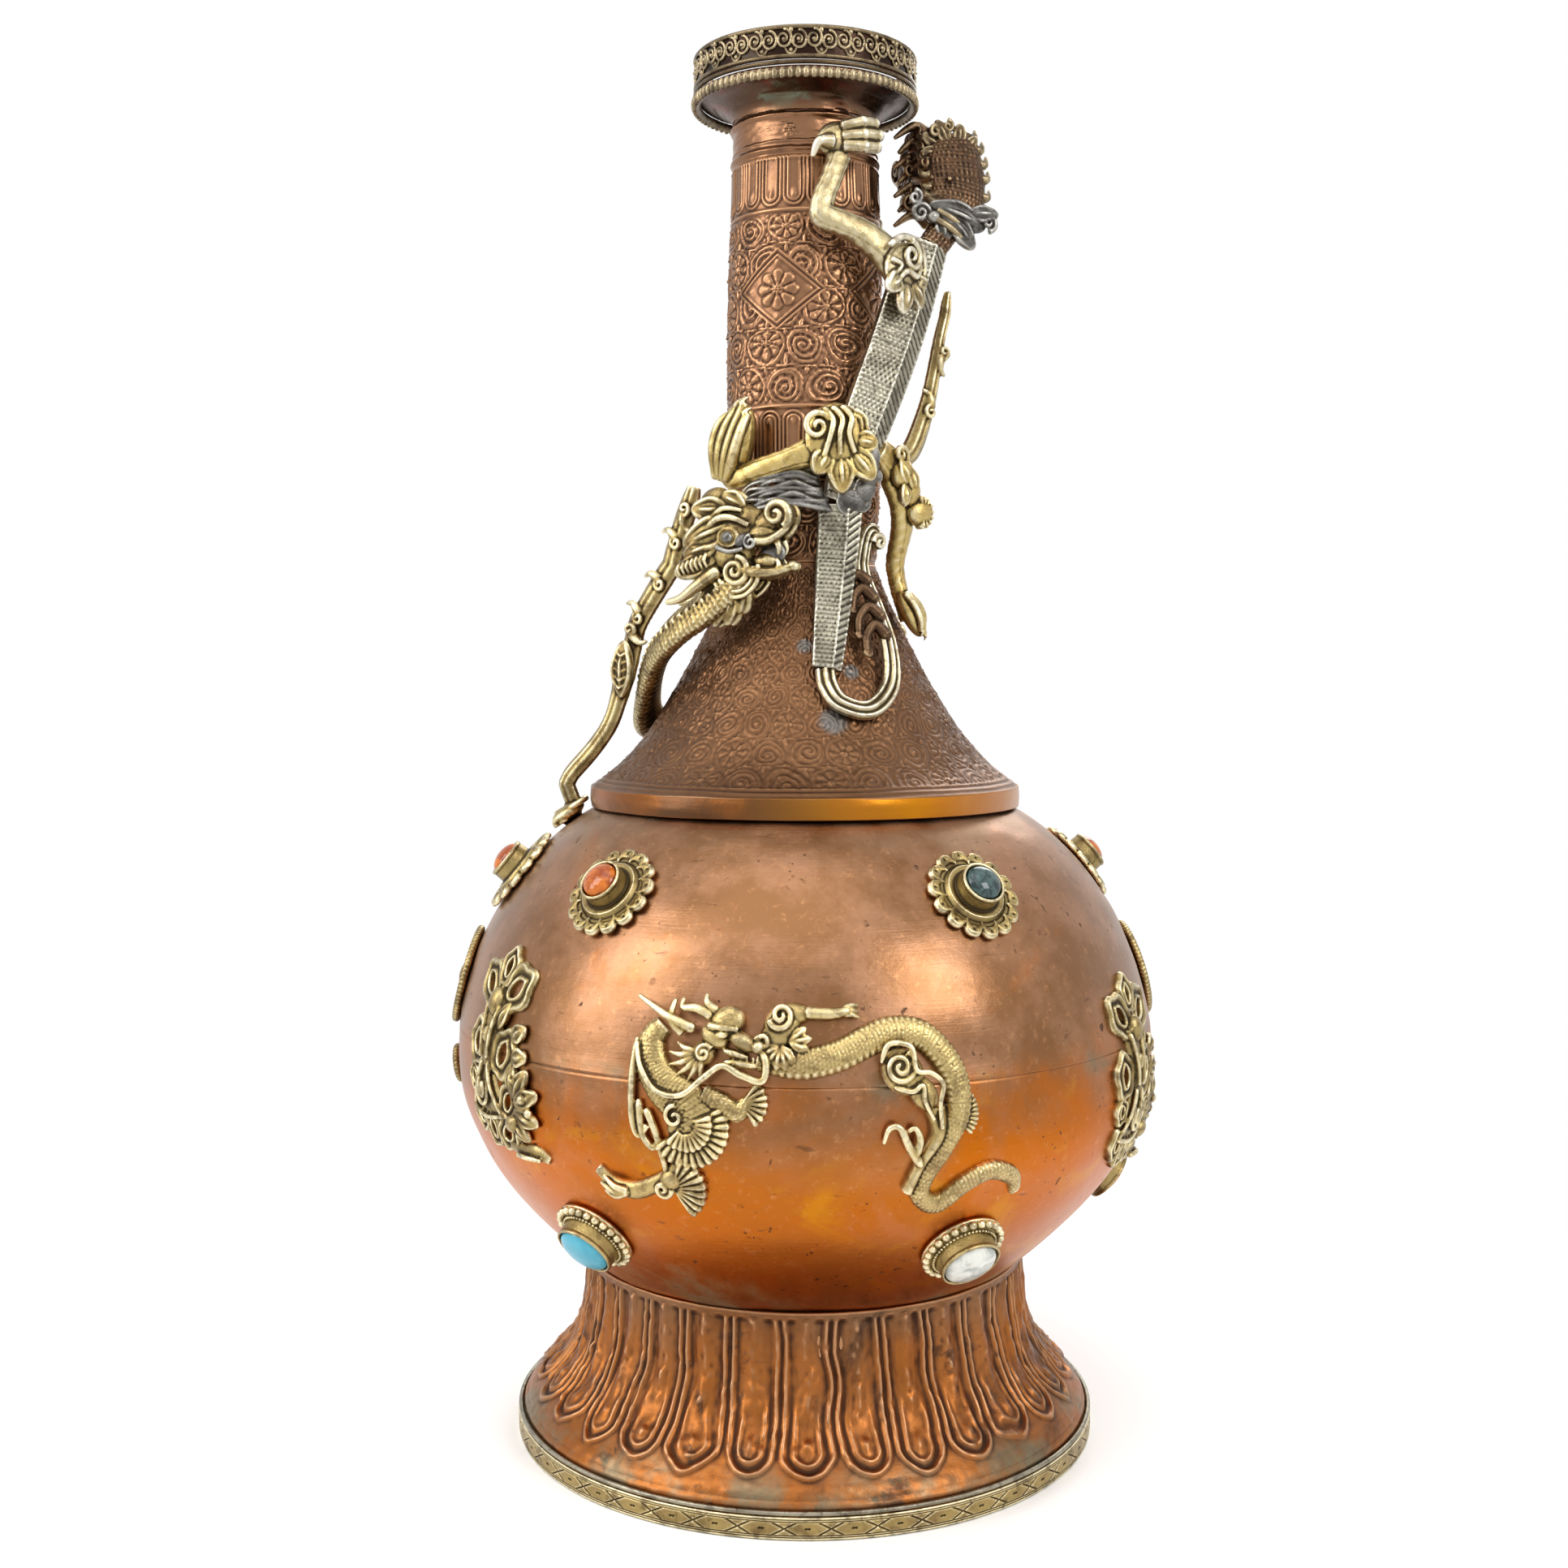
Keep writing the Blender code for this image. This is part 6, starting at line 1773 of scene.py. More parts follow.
COILING_BODY = (
    (-29, 0.95, 12.5, 6, 5.0), (-36, 0.88, 11.8, 9.4, 6.5), (-46, 0.80, 11.4, 10.4, 6.5),
    (-60, 0.71, 12.0, 11, 6.5), (-77, 0.585, 10.5, 11, 6.5), (-92, 0.42, 7.2, 10.5, 6.0),
    (-108, 0.29, 4.8, 10.5, 6.0), (-135, 0.24, 4.6, 10, 6.0), (-165, 0.30, 4.4, 9, 6.0),
    (-195, 0.42, 4.1, 8, 6.0), (-222, 0.55, 3.6, 6, 5.0), (-240, 0.68, 2.8, 3.4, 3.2),
    (-247, 0.77, 2.4, 1.4, 1.6),
)
COILING_STREAMER = (
    (-79, 1.18, 10.5, 4.0, 2.6), (-80, 1.14, 12.0, 6, 3.2), (-82, 1.07, 15.0, 6, 3.2),
    (-84, 0.955, 18.5, 6.5, 3.2), (-87.6, 0.755, 20.5, 6, 3.2), (-89, 0.64, 19.0, 6, 3.2),
    (-90, 0.51, 17.0, 7, 3.2), (-90, 0.40, 14.8, 5.6, 3.2), (-90, 0.27, 12.5, 5.0, 3.2),
    (-90, 0.08, 11.0, 5.0, 3.2), (-90, 0.0, 7.4, 5.0, 3.2), (-90, -0.035, 4.0, 6, 3.6),
    (-90, -0.075, 2.6, 8, 3.6),
)
COILING_STREAMER_FACING = -35
COILING_LEG = (
    (-150, 0.40, 7.6, 9, 6.0), (-155, 0.48, 9.0, 8, 6.0), (-163, 0.60, 9.0, 6, 5.0),
    (-172, 0.80, 6.5, 5, 5.0), (-178, 0.90, 4.0, 7, 4.5),
)
FRONDS = (
    ((39.5, 0.66, 6.2), (34, 0.72, 6.0), (29, 0.67, 4.6), (27.5, 0.60, 4.0)),
    ((39.0, 0.74, 6.8), (33, 0.80, 6.4), (27, 0.75, 5.0), (25.5, 0.68, 4.2)),
    ((38.0, 0.82, 7.0), (32, 0.88, 6.6), (27, 0.85, 5.4), (25, 0.79, 4.6)),
    ((36.5, 0.90, 7.0), (31, 0.94, 6.6), (27, 0.92, 5.6), (26, 0.88, 5.0)),
)
# Thorns on the streamers, as (azimuth, station, standoff, roll)
CLIMBING_THORNS = ((84, 1.48, 15.6, 250), (82, 1.36, 13.0, 80))
COILING_THORNS = (
    (-80.5, 1.12, 12.8, 250), (-82, 1.06, 15.2, 120), (-84, 0.93, 18.8, 130), (-87, 0.78, 20.5, 110),
    (-88, 0.69, 19.8, 300),
)
# Places of flat forms, as (azimuth, station, standoff, roll, azimuth that they face)
JOINT_PLACE = (27, 1.16, 8.4, 0, 20)
SCROLL_CURL_PLACE = (46.5, 1.045, 6.4)
TAIL_CURL_PLACE = (-244, 0.70, 2.8)
CLIMBING_HEAD_PLACE = (108, 1.925, 12.0, -14.0, 108)
COILING_HEAD_PLACE = (-25, 1.047, 12.5, 4.0, -25)
TUFTS_PLACE = (89, 1.955, 21.4, 0, NECK_FACING)
JAW_PLACE = (79, 1.785, 21.4, 0, NECK_FACING)
KNOTS_PLACE = (68, 1.79, 13.0, 0, NECK_FACING)
SHADE_PLACE = (98, 1.89, 8.4, 0, NECK_FACING)
STREAMER_LEAF_PLACE = (-88, 0.40, 13.4, 86, COILING_STREAMER_FACING)
STREAMER_SHELL_PLACE = (-90, -0.040, 3.6)
STREAMER_END_PLACE = (-88, -0.035, 4.6)
# Counts of locks, bars and veins
HAIR_LOCKS = 10
SHADE_LOCKS = 7
NECK_BARS = 7
LEAF_VEINS = 5
# Where the mane starts along the neck block, in millimetres, and the steps between its locks
MANE_START = 9.0
MANE_STEPS = 4
# Length and half width of the leaf on the coiling dragon's streamer
STREAMER_LEAF = (15.0, 3.6)
# Lengths of the heads; the face is drawn at the first
COILING_HEAD_LENGTH = 27.0
CLIMBING_HEAD_LENGTH = 20.0
# Castings of the neck dragons, as (slot, node, voxel size, finish where it isn't the slot's own)
CASTINGS = {
    "climber_trunk": ("silvered_brass", "climbing_body", 0.24, None),
    "climber_tail": ("silvered_brass", "climbing_tail", 0.24, None),
    "climber_curl": ("silvered_brass", "climbing_tail_scroll", 0.24, "pale_brass"),
    "climber_fronds": ("silvered_brass", "climbing_tail_scroll", 0.2, "brown_cast"),
    "climber_solder": ("silvered_brass", "climbing_tail", 0.22, "grey_cast"),
    "climber_ribbon": ("brass", "climbing_streamer", 0.26, None),
    "climber_near_foreleg": ("brass", "climbing_foreleg_near", 0.26, "pale_brass"),
    "climber_far_foreleg": ("brass", "climbing_foreleg_far", 0.28, "pale_brass"),
    "climber_near_hindleg": ("brass", "climbing_hindleg_near", 0.26, "gold_brass"),
    "climber_far_hindleg": ("brass", "climbing_hindleg_far", 0.26, "gold_brass"),
    "climber_head": ("brass", "climbing_head", 0.27, "brown_cast"),
    "climber_mane": ("brass", "climbing_head", 0.24, "antique_brass"),
    "climber_shade": ("brass", "climbing_head", 0.26, "brown_cast"),
    "climber_beard": ("brass", "climbing_head", 0.24, "grey_cast"),
    "coiler_trunk": ("brass", "coiling_body", 0.30, None),
    "coiler_head": ("brass", "coiling_head", 0.26, None),
    "coiler_hair": ("brass", "coiling_head", 0.22, "grey_cast"),
    "coiler_eye": ("brass", "coiling_head", 0.2, "grey_cast"),
    "coiler_ribbon": ("brass", "coiling_streamer", 0.28, None),
    "coiler_leg": ("brass", "coiling_leg", 0.28, None),
}


def vessel_frame(azimuth, station, standoff):
    """Point beside the vessel in millimetres, with the surface normal, sideways and upward directions."""
    if station < 0:
        height = COLLAR_BOTTOM + (COLLAR_BOTTOM - BELLY_EQUATOR) * station
        radius_at = belly_radius
    elif station < 1:
        height = CONE_BOTTOM + (CONE_TOP - CONE_BOTTOM) * station
        radius_at = cone_radius
    else:
        height = CONE_TOP + (SLEEVE_TOP - CONE_TOP) * (station - 1)
        radius_at = neck_radius
    point, normal, side, up = surface_frame(azimuth, height, radius_at)
    return point / MM + on_band(math.radians(azimuth), 0.0, standoff), normal, side, up


def member_rows(path, steps_per_mm, facing):
    """Centres, sideways and upward directions, widths, thicknesses and run of a member, close together."""
    coarse = np.array([vessel_frame(*row[:3])[0] for row in path])
    rows = through(path, max(int(steps_along(coarse).sum() * steps_per_mm), 8))
    frames = [vessel_frame(*row[:3]) for row in rows]
    centre = np.array([found[0] for found in frames])
    normal = np.array([found[1] for found in frames])
    if facing is not None:
        normal[:] = on_band(math.radians(facing), 0.0, 1.0)
    along = directions(centre)
    side = unit(np.cross(along, normal))
    return centre, side, np.cross(side, along), rows[:, 3], rows[:, 4], running(steps_along(centre))


def neck_strip(path, ridge, texture, facing=None, columns=45, steps_per_mm=4.0):
    """Rings of a flat-backed strip with a ridge at a share of its width; texture adds height in mm."""
    centre, side, up, width, thick, run = member_rows(path, steps_per_mm, facing)
    share = np.linspace(-0.5, 0.5, columns)
    slope = np.where(share < ridge, (share + 0.5) / (ridge + 0.5), (0.5 - share) / (0.5 - ridge))
    crest = 0.05 + 0.45 * slope**0.85
    reach = share * width[:, None]
    lift = crest * thick[:, None] + texture(run[:, None] + 0 * reach, reach, share + 0 * reach)
    top = centre[:, None] + side[:, None] * reach[..., None] + up[:, None] * lift[..., None]
    edges = side[:, None] * (0.5 * width)[:, None, None] * np.array([[1], [-1]])
    under = centre[:, None] + edges + up[:, None] * (-0.4 * thick[:, None, None])
    return np.concatenate([top, under], 1)


def neck_limb(path, texture=None, sides=40, steps_per_mm=3.0, facing=None):
    """Rings of a rounded limb; texture(run, girth, angle) adds height in mm."""
    centre, side, up, width, thick, run = member_rows(path, steps_per_mm, facing)
    turn = circle(sides)
    across, over = np.cos(turn), np.sin(turn)
    round_over = np.sign(over) * np.abs(over) ** 0.85
    reach = 0.5 * width[:, None] * across
    lift = 0.46 * thick[:, None] * round_over
    if texture:
        girth = turn * 0.25 * (width + thick)[:, None]
        extra = texture(run[:, None] + 0 * girth, girth, turn + 0 * girth)
        reach = reach + extra * across
        lift = lift + extra * over
    return centre[:, None] + side[:, None] * reach[..., None] + up[:, None] * lift[..., None]


def patched(runs, azimuth, station, standoff, roll=0.0, facing=None):
    """Flat forms on a plane beside the vessel, rolled in it; the plane is upright if it faces an azimuth."""
    point, normal, side, up = vessel_frame(azimuth, station, standoff)
    if facing is not None:
        face = math.radians(facing)
        side = np.array([math.cos(face), math.sin(face), 0.0])
        up = UP
        normal = np.cross(side, up)
    turn = math.radians(roll)
    first = math.cos(turn) * side + math.sin(turn) * up
    second = -math.sin(turn) * side + math.cos(turn) * up
    return [point + run[..., :1] * first + run[..., 1:2] * second + run[..., 2:] * normal for run in runs]


def mirrored(runs):
    """The same flat forms again on the other side of their plane."""
    return runs + [run[:, ::-1] * [1, 1, -1] for run in runs]


def strand(path, thick, thin, steps=24):
    """Rings of a tapering lock through (azimuth, station, standoff) places."""
    rows = through(path, steps)
    points = np.array([vessel_frame(*row)[0] for row in rows])
    part = np.linspace(0, 1, steps)
    size = (thick + (thin - thick) * part) * np.clip(part * 5 + 0.5, 0, 1)
    return tube(points, size, 12)


def scaled_strip(run, reach, share):
    """Fine scales on the broad slope, slanted plates on the narrow one and a beaded edge."""
    scales = 0.5 * fish_scales(run / 1.25, reach / 1.3)
    plates = 0.6 * ribs((run + 0.8 * reach) / 2.0)
    narrow = np.clip((share - 0.17) / 0.03, 0, 1)
    crest = 0.35 * line(share - 0.15, 0.025)
    edge = 0.35 * line(np.abs(share) - 0.47, 0.02) * (0.5 + 0.5 * np.sin(TAU * run / 1.4))
    return (scales * (1 - narrow) + plates * narrow + crest + edge - 0.25) * np.clip(run / 1.5, 0, 1)


def turned_strip(run, reach, share):
    """The same strip with its narrow slope on the other hand."""
    return scaled_strip(run, -reach, -share)


def grooved(_run, _reach, share):
    """Two long rounded mouldings with a groove between."""
    return 0.35 * line(np.abs(share) - 0.22, 0.12) - 0.35 * line(share, 0.06)


def banded(_run, _reach, share):
    """A flat band with raised edges and a raised line between them."""
    edge = np.abs(share)
    return 0.55 * line(edge - 0.38, 0.08) + 0.25 * line(share, 0.10) - 0.45 * line(edge - 0.2, 0.06)


def limb_worn(run, girth, _angle):
    """Worn scales over fine grooves that run lengthwise."""
    return 0.42 * fish_scales(run / 1.2, girth / 1.2) + 0.14 * np.sin(TAU * girth / 1.1) - 0.2


def limb_scales(run, girth, _angle):
    return 0.40 * fish_scales(run / 1.2, girth / 1.25) - 0.15


def limb_ribs(run, girth, angle):
    """Scales over the back and broad plates underneath, with a saw-toothed crest."""
    scales = 0.50 * fish_scales(run / 1.45, girth / 1.5)
    plates = 0.55 * ribs(run / 2.2)
    under = np.clip((-np.sin(angle) - 0.55) / 0.1, 0, 1)
    crest = 1.1 * np.exp(-(((angle - 0.5 * np.pi) / 0.16) ** 2)) * (1 - (run / 2.6) % 1)
    return scales * (1 - under) + plates * under + crest - 0.2


def limb_smooth(run, girth, angle):
    """A polished limb with scales only on its under side and shallow hammer marks."""
    under = np.clip((-np.sin(angle) - 0.25) / 0.2, 0, 1)
    marks = 0.10 * np.sin(run * 1.3 + 2 * np.sin(angle)) * np.cos(2 * angle + 0.7 * run)
    marks = marks - 0.30 * line(np.abs(angle - 0.5 * np.pi) - 0.75, 0.05)
    return under * limb_scales(run, girth, angle) + marks


def finish_cast(name, runs):
    """Fuses forms given in millimetres, scales them to metres and puts the piece in place."""
    slot, node, voxel, finish = CASTINGS[name]
    shape = fused(name, runs, voxel)
    mark_relief(shape, *NECK_DRAGON_SHADE)
    shape.data.vertices.foreach_set("co", (vertex_rows(shape.data) * MM).ravel())
    shape.data.update()
    place_piece(shape, slot, node, finish=finish)


# Climbing dragon: trunk, tail and streamer

SCROLL_CURL = ((flat_coil, 0, 0, 0.6, 2.3, 1.3, 180, -1, 1.0),)
FROND_TIP = ((flat_coil, 0, 0, 0, 1.3, 1.1, 60, -1, 0.8), (flat_pod, 0, 0, 0.2, 0.9, 0.9, 0.9))
THORN = (
    (flat_lock, ((0, 0, 0.4), (2.2, 0.4, 0.9), (3.8, 1.4, 0.9), (4.4, 3.4, 0.6)), 1.9, 0.4, 16),
    (flat_pod, 0, 0, 0.4, 2.2, 1.4, 1.3),
    (flat_coil, -1.2, 0.2, 1.4, 1.9, 1.2, 0, 1, 0.8),
)


def make_climbing_body():
    finish_cast("climber_trunk", [neck_strip(CLIMBING_BODY, 0.15, scaled_strip, CLIMBING_FACING)])
    finish_cast("climber_tail", [neck_strip(CLIMBING_TAIL, -0.15, turned_strip, TAIL_FACING)])
    scroll_strip = [neck_strip(CLIMBING_SCROLL, 0.0, banded, columns=31)]
    finish_cast("climber_curl", scroll_strip + patched(built(SCROLL_CURL), *SCROLL_CURL_PLACE))
    runs = [strand(path, 1.9, 1.0, 30) for path in FRONDS]
    for path in FRONDS:
        runs += patched(built(FROND_TIP), *path[-1])
    finish_cast("climber_fronds", runs)
    lumps = [flat_pod(x, y, 0, 1.35 * size, 1.0 * size, 0.35 * size, 17 * x) for x, y, size in JOINT_LUMPS]
    finish_cast("climber_solder", patched(lumps, *JOINT_PLACE))
    finish_cast("climber_ribbon", streamer_runs(CLIMBING_STREAMER, CLIMBING_THORNS, STREAMER_FACING))


def streamer_runs(path, thorns, facing):
    """A ribbon with a middle groove and hooked thorns growing from it, turned to an azimuth."""
    runs = [neck_strip(path, 0.0, grooved, facing, columns=25)]
    for thorn in thorns:
        runs += patched(built(THORN), *thorn, facing)
    return runs


def veined_leaf(long, wide):
    """A broad leaf along +x with side veins."""
    runs = lobe(0, 0, 0, long, wide, 0.4, 1.5)
    for i in range(LEAF_VEINS):
        x = (0.16 + 0.15 * i) * long
        reach = wide * math.sin(math.pi * (0.25 + 0.12 * i))
        for hand in (-1, 1):
            runs.append(flat_lock(((x, 0, 1.9), (x + 0.10 * long, 0.8 * hand * reach, 1.3)), 0.42, 0.25, 8))
    return runs


# Limbs

def sized(path, size):
    """A path of (x, y, z) whose x and y are shares of a size."""
    return [(x * size, y * size, z) for x, y, z in path]


# Shares of a limb's size: the shoulder's C-scroll and its tail, then lobes, ridges and toes
HAUNCH_ARCS = (
    ((-0.9, 0.75, 1.4), (-0.1, 1.02, 2.2), (0.78, 0.62, 2.4), (0.92, -0.15, 2.2), (0.45, -0.75, 1.8)),
    ((0.62, 0.10, 2.4), (0.30, -0.34, 2.6), (-0.22, -0.16, 2.6), (-0.66, -0.42, 2.0), (-0.50, -0.72, 1.8)),
)
HAUNCH_CRESCENT = ((-0.9, 0.3, 1.6), (-0.5, 0.05, 2.4), (-0.9, -0.3, 1.6))
HAUNCH_LOBES = ((-150, 0.95), (-108, 1.15), (-66, 1.1), (-30, 0.85))
THIGH_LOBES = (
    (-0.25, -0.15, -128, 0.80, 0.34), (0.02, -0.30, -94, 1.10, 0.40), (0.34, -0.25, -56, 1.05, 0.38),
    (0.46, 0.0, -14, 0.72, 0.32),
)
THIGH_RIDGES = ((-0.22, -0.26), (0.06, -0.06), (0.34, 0.10))
THIGH_CRESCENTS = (0.62, 0.82, 1.0)
HAND_TOES = ((0.34, 0.98), (0.03, 1.10), (-0.28, 0.98))
HAND_HEEL = ((-0.4, -0.1, 0.2), (-0.85, -0.14, 0.3), (-1.0, -0.5, 0.1))
FOOT_TOES = ((-0.36, 1.16), (-0.13, 1.40), (0.12, 1.50), (0.35, 1.28))


def haunch(size):
    """A shoulder: a swollen pad, a C-scroll that runs on into a small coil and a skirt of broad lobes."""
    runs = [flat_pod(0, 0, 0.0, 1.05 * size, 0.85 * size, 2.8, 25)]
    runs += [flat_lock(sized(path, size), 1.1, 0.7, 30) for path in HAUNCH_ARCS]
    runs.append(flat_coil(0.12 * size, 0.34 * size, 2.6, 0.56 * size, 1.5, 80, -1, 1.05))
    runs.append(flat_lock(sized(HAUNCH_CRESCENT, size), 0.8, 0.5))
    for angle, long in HAUNCH_LOBES:
        turn = math.radians(angle)
        root = 0.45 * size * np.array([math.cos(turn), math.sin(turn)])
        runs += lobe(*root, angle, long * size, 0.36 * size, 1.0, 1.7)
    return runs


def thigh(size):
    """A thigh: a curl at the knee, ridges down from its top, crescents behind and scooped lobes below."""
    runs = [flat_pod(0, 0.15 * size, 0.0, 0.98 * size, 0.92 * size, 3.2, 70)]
    for x, y, angle, long, wide in THIGH_LOBES:
        runs += lobe(x * size, y * size, angle, long * size, wide * size, 1.0, 1.8)
    for x, bend in THIGH_RIDGES:
        ridge = ((x - 0.10, 1.0, 1.6), (x + 0.10, 0.62, 3.2), (x - 0.04, 0.18, 3.5), (x + bend, -0.36, 2.4))
        runs.append(flat_lock(sized(ridge, size), 0.95, 0.7, 30))
    for reach in THIGH_CRESCENTS:
        low = 2.4 - reach
        arc = ((0.62 * reach, 0.86 * reach, 1.6), (0.92 * reach, 0.56, low), (0.90 * reach, 0.10, low))
        runs.append(flat_lock(sized(arc, size), 0.8, 0.5, 22))
    runs.append(flat_coil(-0.58 * size, 0.50 * size, 2.4, 0.42 * size, 1.5, 20, 1, 1.0))
    return runs


def hand_runs(size):
    """A spread forefoot: a broad pad, three fat blunt toes along +x and a hooked heel claw."""
    runs = [flat_pod(-0.15 * size, 0, 0, 0.62 * size, 0.50 * size, 0.34 * size, 10)]
    for y, long in HAND_TOES:
        toe = ((-0.1, 0.8 * y, 0.20), (0.5, 1.08 * y, 0.40), (long, 1.05 * y, 0.22))
        runs.append(flat_lock(size * np.array(toe), 0.20 * size, 0.17 * size, 16))
        knuckle = (0.50, 1.08 * y, 0.42, 0.20, 0.19, 0.18)
        end = (0.94 * long, 1.05 * y, 0.28, 0.16, 0.18, 0.17)
        runs += [flat_pod(*(size * np.array(knob))) for knob in (knuckle, end)]
    runs.append(flat_lock(size * np.array(HAND_HEEL), 0.24 * size, 0.06 * size, 14))
    return runs


def grooved_foot(size):
    """A long hind foot along +y: four toes side by side with grooves between them, and small claws."""
    runs = [flat_pod(0, 0.45 * size, 0, 1.05 * size, 0.48 * size, 0.38 * size, 90)]
    for x, long in FOOT_TOES:
        toe = ((0.5 * x, -0.45, 0.20), (x, 0.25, 0.40), (1.05 * x, 0.85, 0.36), (0.7 * x, long, 0.14))
        claw = ((0.75 * x, long - 0.12, 0.20), (0.70 * x, long + 0.06, 0.22), (0.78 * x, long + 0.18, 0.05))
        runs.append(flat_lock(size * np.array(toe), 0.165 * size, 0.11 * size, 26))
        runs.append(flat_lock(size * np.array(claw), 0.09 * size, 0.03 * size, 8))
    return runs


HEEL_SPUR = ((flat_lock, ((1, 1, 0), (-2.8, -1.2, 0.8), (-5.6, -2.6, 0.4), (-7.0, -0.8, 0)), 1.9, 0.5, 16),)
FAR_THIGH = (
    (flat_coil, -2.0, 9.4, 0.8, 2.6, 1.3, -60, 1, 1.0),
    (flat_pod, -1.2, 4.6, 0, 4.2, 3.6, 2.8, 70),
    (flat_pod, 1.4, -0.6, 0, 3.8, 3.4, 2.8, 60),
    (lobe, -3.0, 8.0, -70, 7.0, 2.0, 1.4),
    (lobe, 0.4, 6.0, -80, 7.0, 2.0, 1.6),
    (lobe, -2.0, 1.8, -95, 6.0, 1.8, 1.4),
    (flat_pod, 5.2, -6.4, 0, 4.4, 4.0, 2.8),
    (flat_shell, 4.6, -6.4, -110, 110, 9, 0.8, 4.6, 0.8, 1.8),
)
# Limbs, as (path, texture, flat forms on it), where each form is (maker, its size or rows, its place)
LIMBS = {
    "climber_near_foreleg": (FORELEG_NEAR, limb_smooth, (
        (haunch, 7.6, (51, 1.652, 12.0, 10)),
        (hand_runs, 9.4, (23, 1.93, 4.2, 6)),
    )),
    "climber_far_foreleg": (FORELEG_FAR, limb_smooth, ((hand_runs, 8.0, (140, 1.85, 3.4, 20)),)),
    "climber_near_hindleg": (HINDLEG_NEAR, limb_smooth, (
        (thigh, 9.2, (15, 1.258, 9.4, 8)),
        (built, HEEL_SPUR, (-43, 1.215, 8.6)),
        (grooved_foot, 11.0, (-44.5, 1.22, 6.8, -20)),
    )),
    "climber_far_hindleg": (HINDLEG_FAR, limb_smooth, (
        (built, FAR_THIGH, (60, 1.165, 10.6, 6, 45)),
        (grooved_foot, 6.6, (70, 0.82, 5.4, 188)),
    )),
    "coiler_leg": (COILING_LEG, limb_scales, (
        (haunch, 5.4, (-151, 0.44, 10.0, 30)),
        (hand_runs, 6.4, (-180, 0.93, 3.2, 70)),
    )),
}


def make_limb(name):
    path, texture, forms = LIMBS[name]
    runs = [neck_limb(path, texture)]
    for maker, size, place in forms:
        runs += patched(maker(size), *place)
    finish_cast(name, runs)


def make_climbing_legs():
    for leg in ("near_foreleg", "far_foreleg", "near_hindleg", "far_hindleg"):
        make_limb(f"climber_{leg}")


# Heads, in profile and flat in millimetres

def neck_bar(i):
    """One of a row of short bars behind the cheek."""
    x = -12.0 - 1.35 * i
    path = ((x, -3.0 - 0.34 * i, 4.4), (x - 0.5, -4.8 - 0.3 * i, 5.0), (x - 0.2, -6.6 - 0.26 * i, 4.2))
    return flat_lock(path, 0.6, 0.4, 10)


def jaw_arc(size):
    """A raised arc round the coil at the jaw's hinge."""
    turns = np.radians((-165, -120, -75, -30, 10))
    path = [(-4.2 + size * math.cos(turn), -8.4 + size * math.sin(turn), 3.6) for turn in turns]
    return flat_lock(path, 0.75, 0.6, 26)


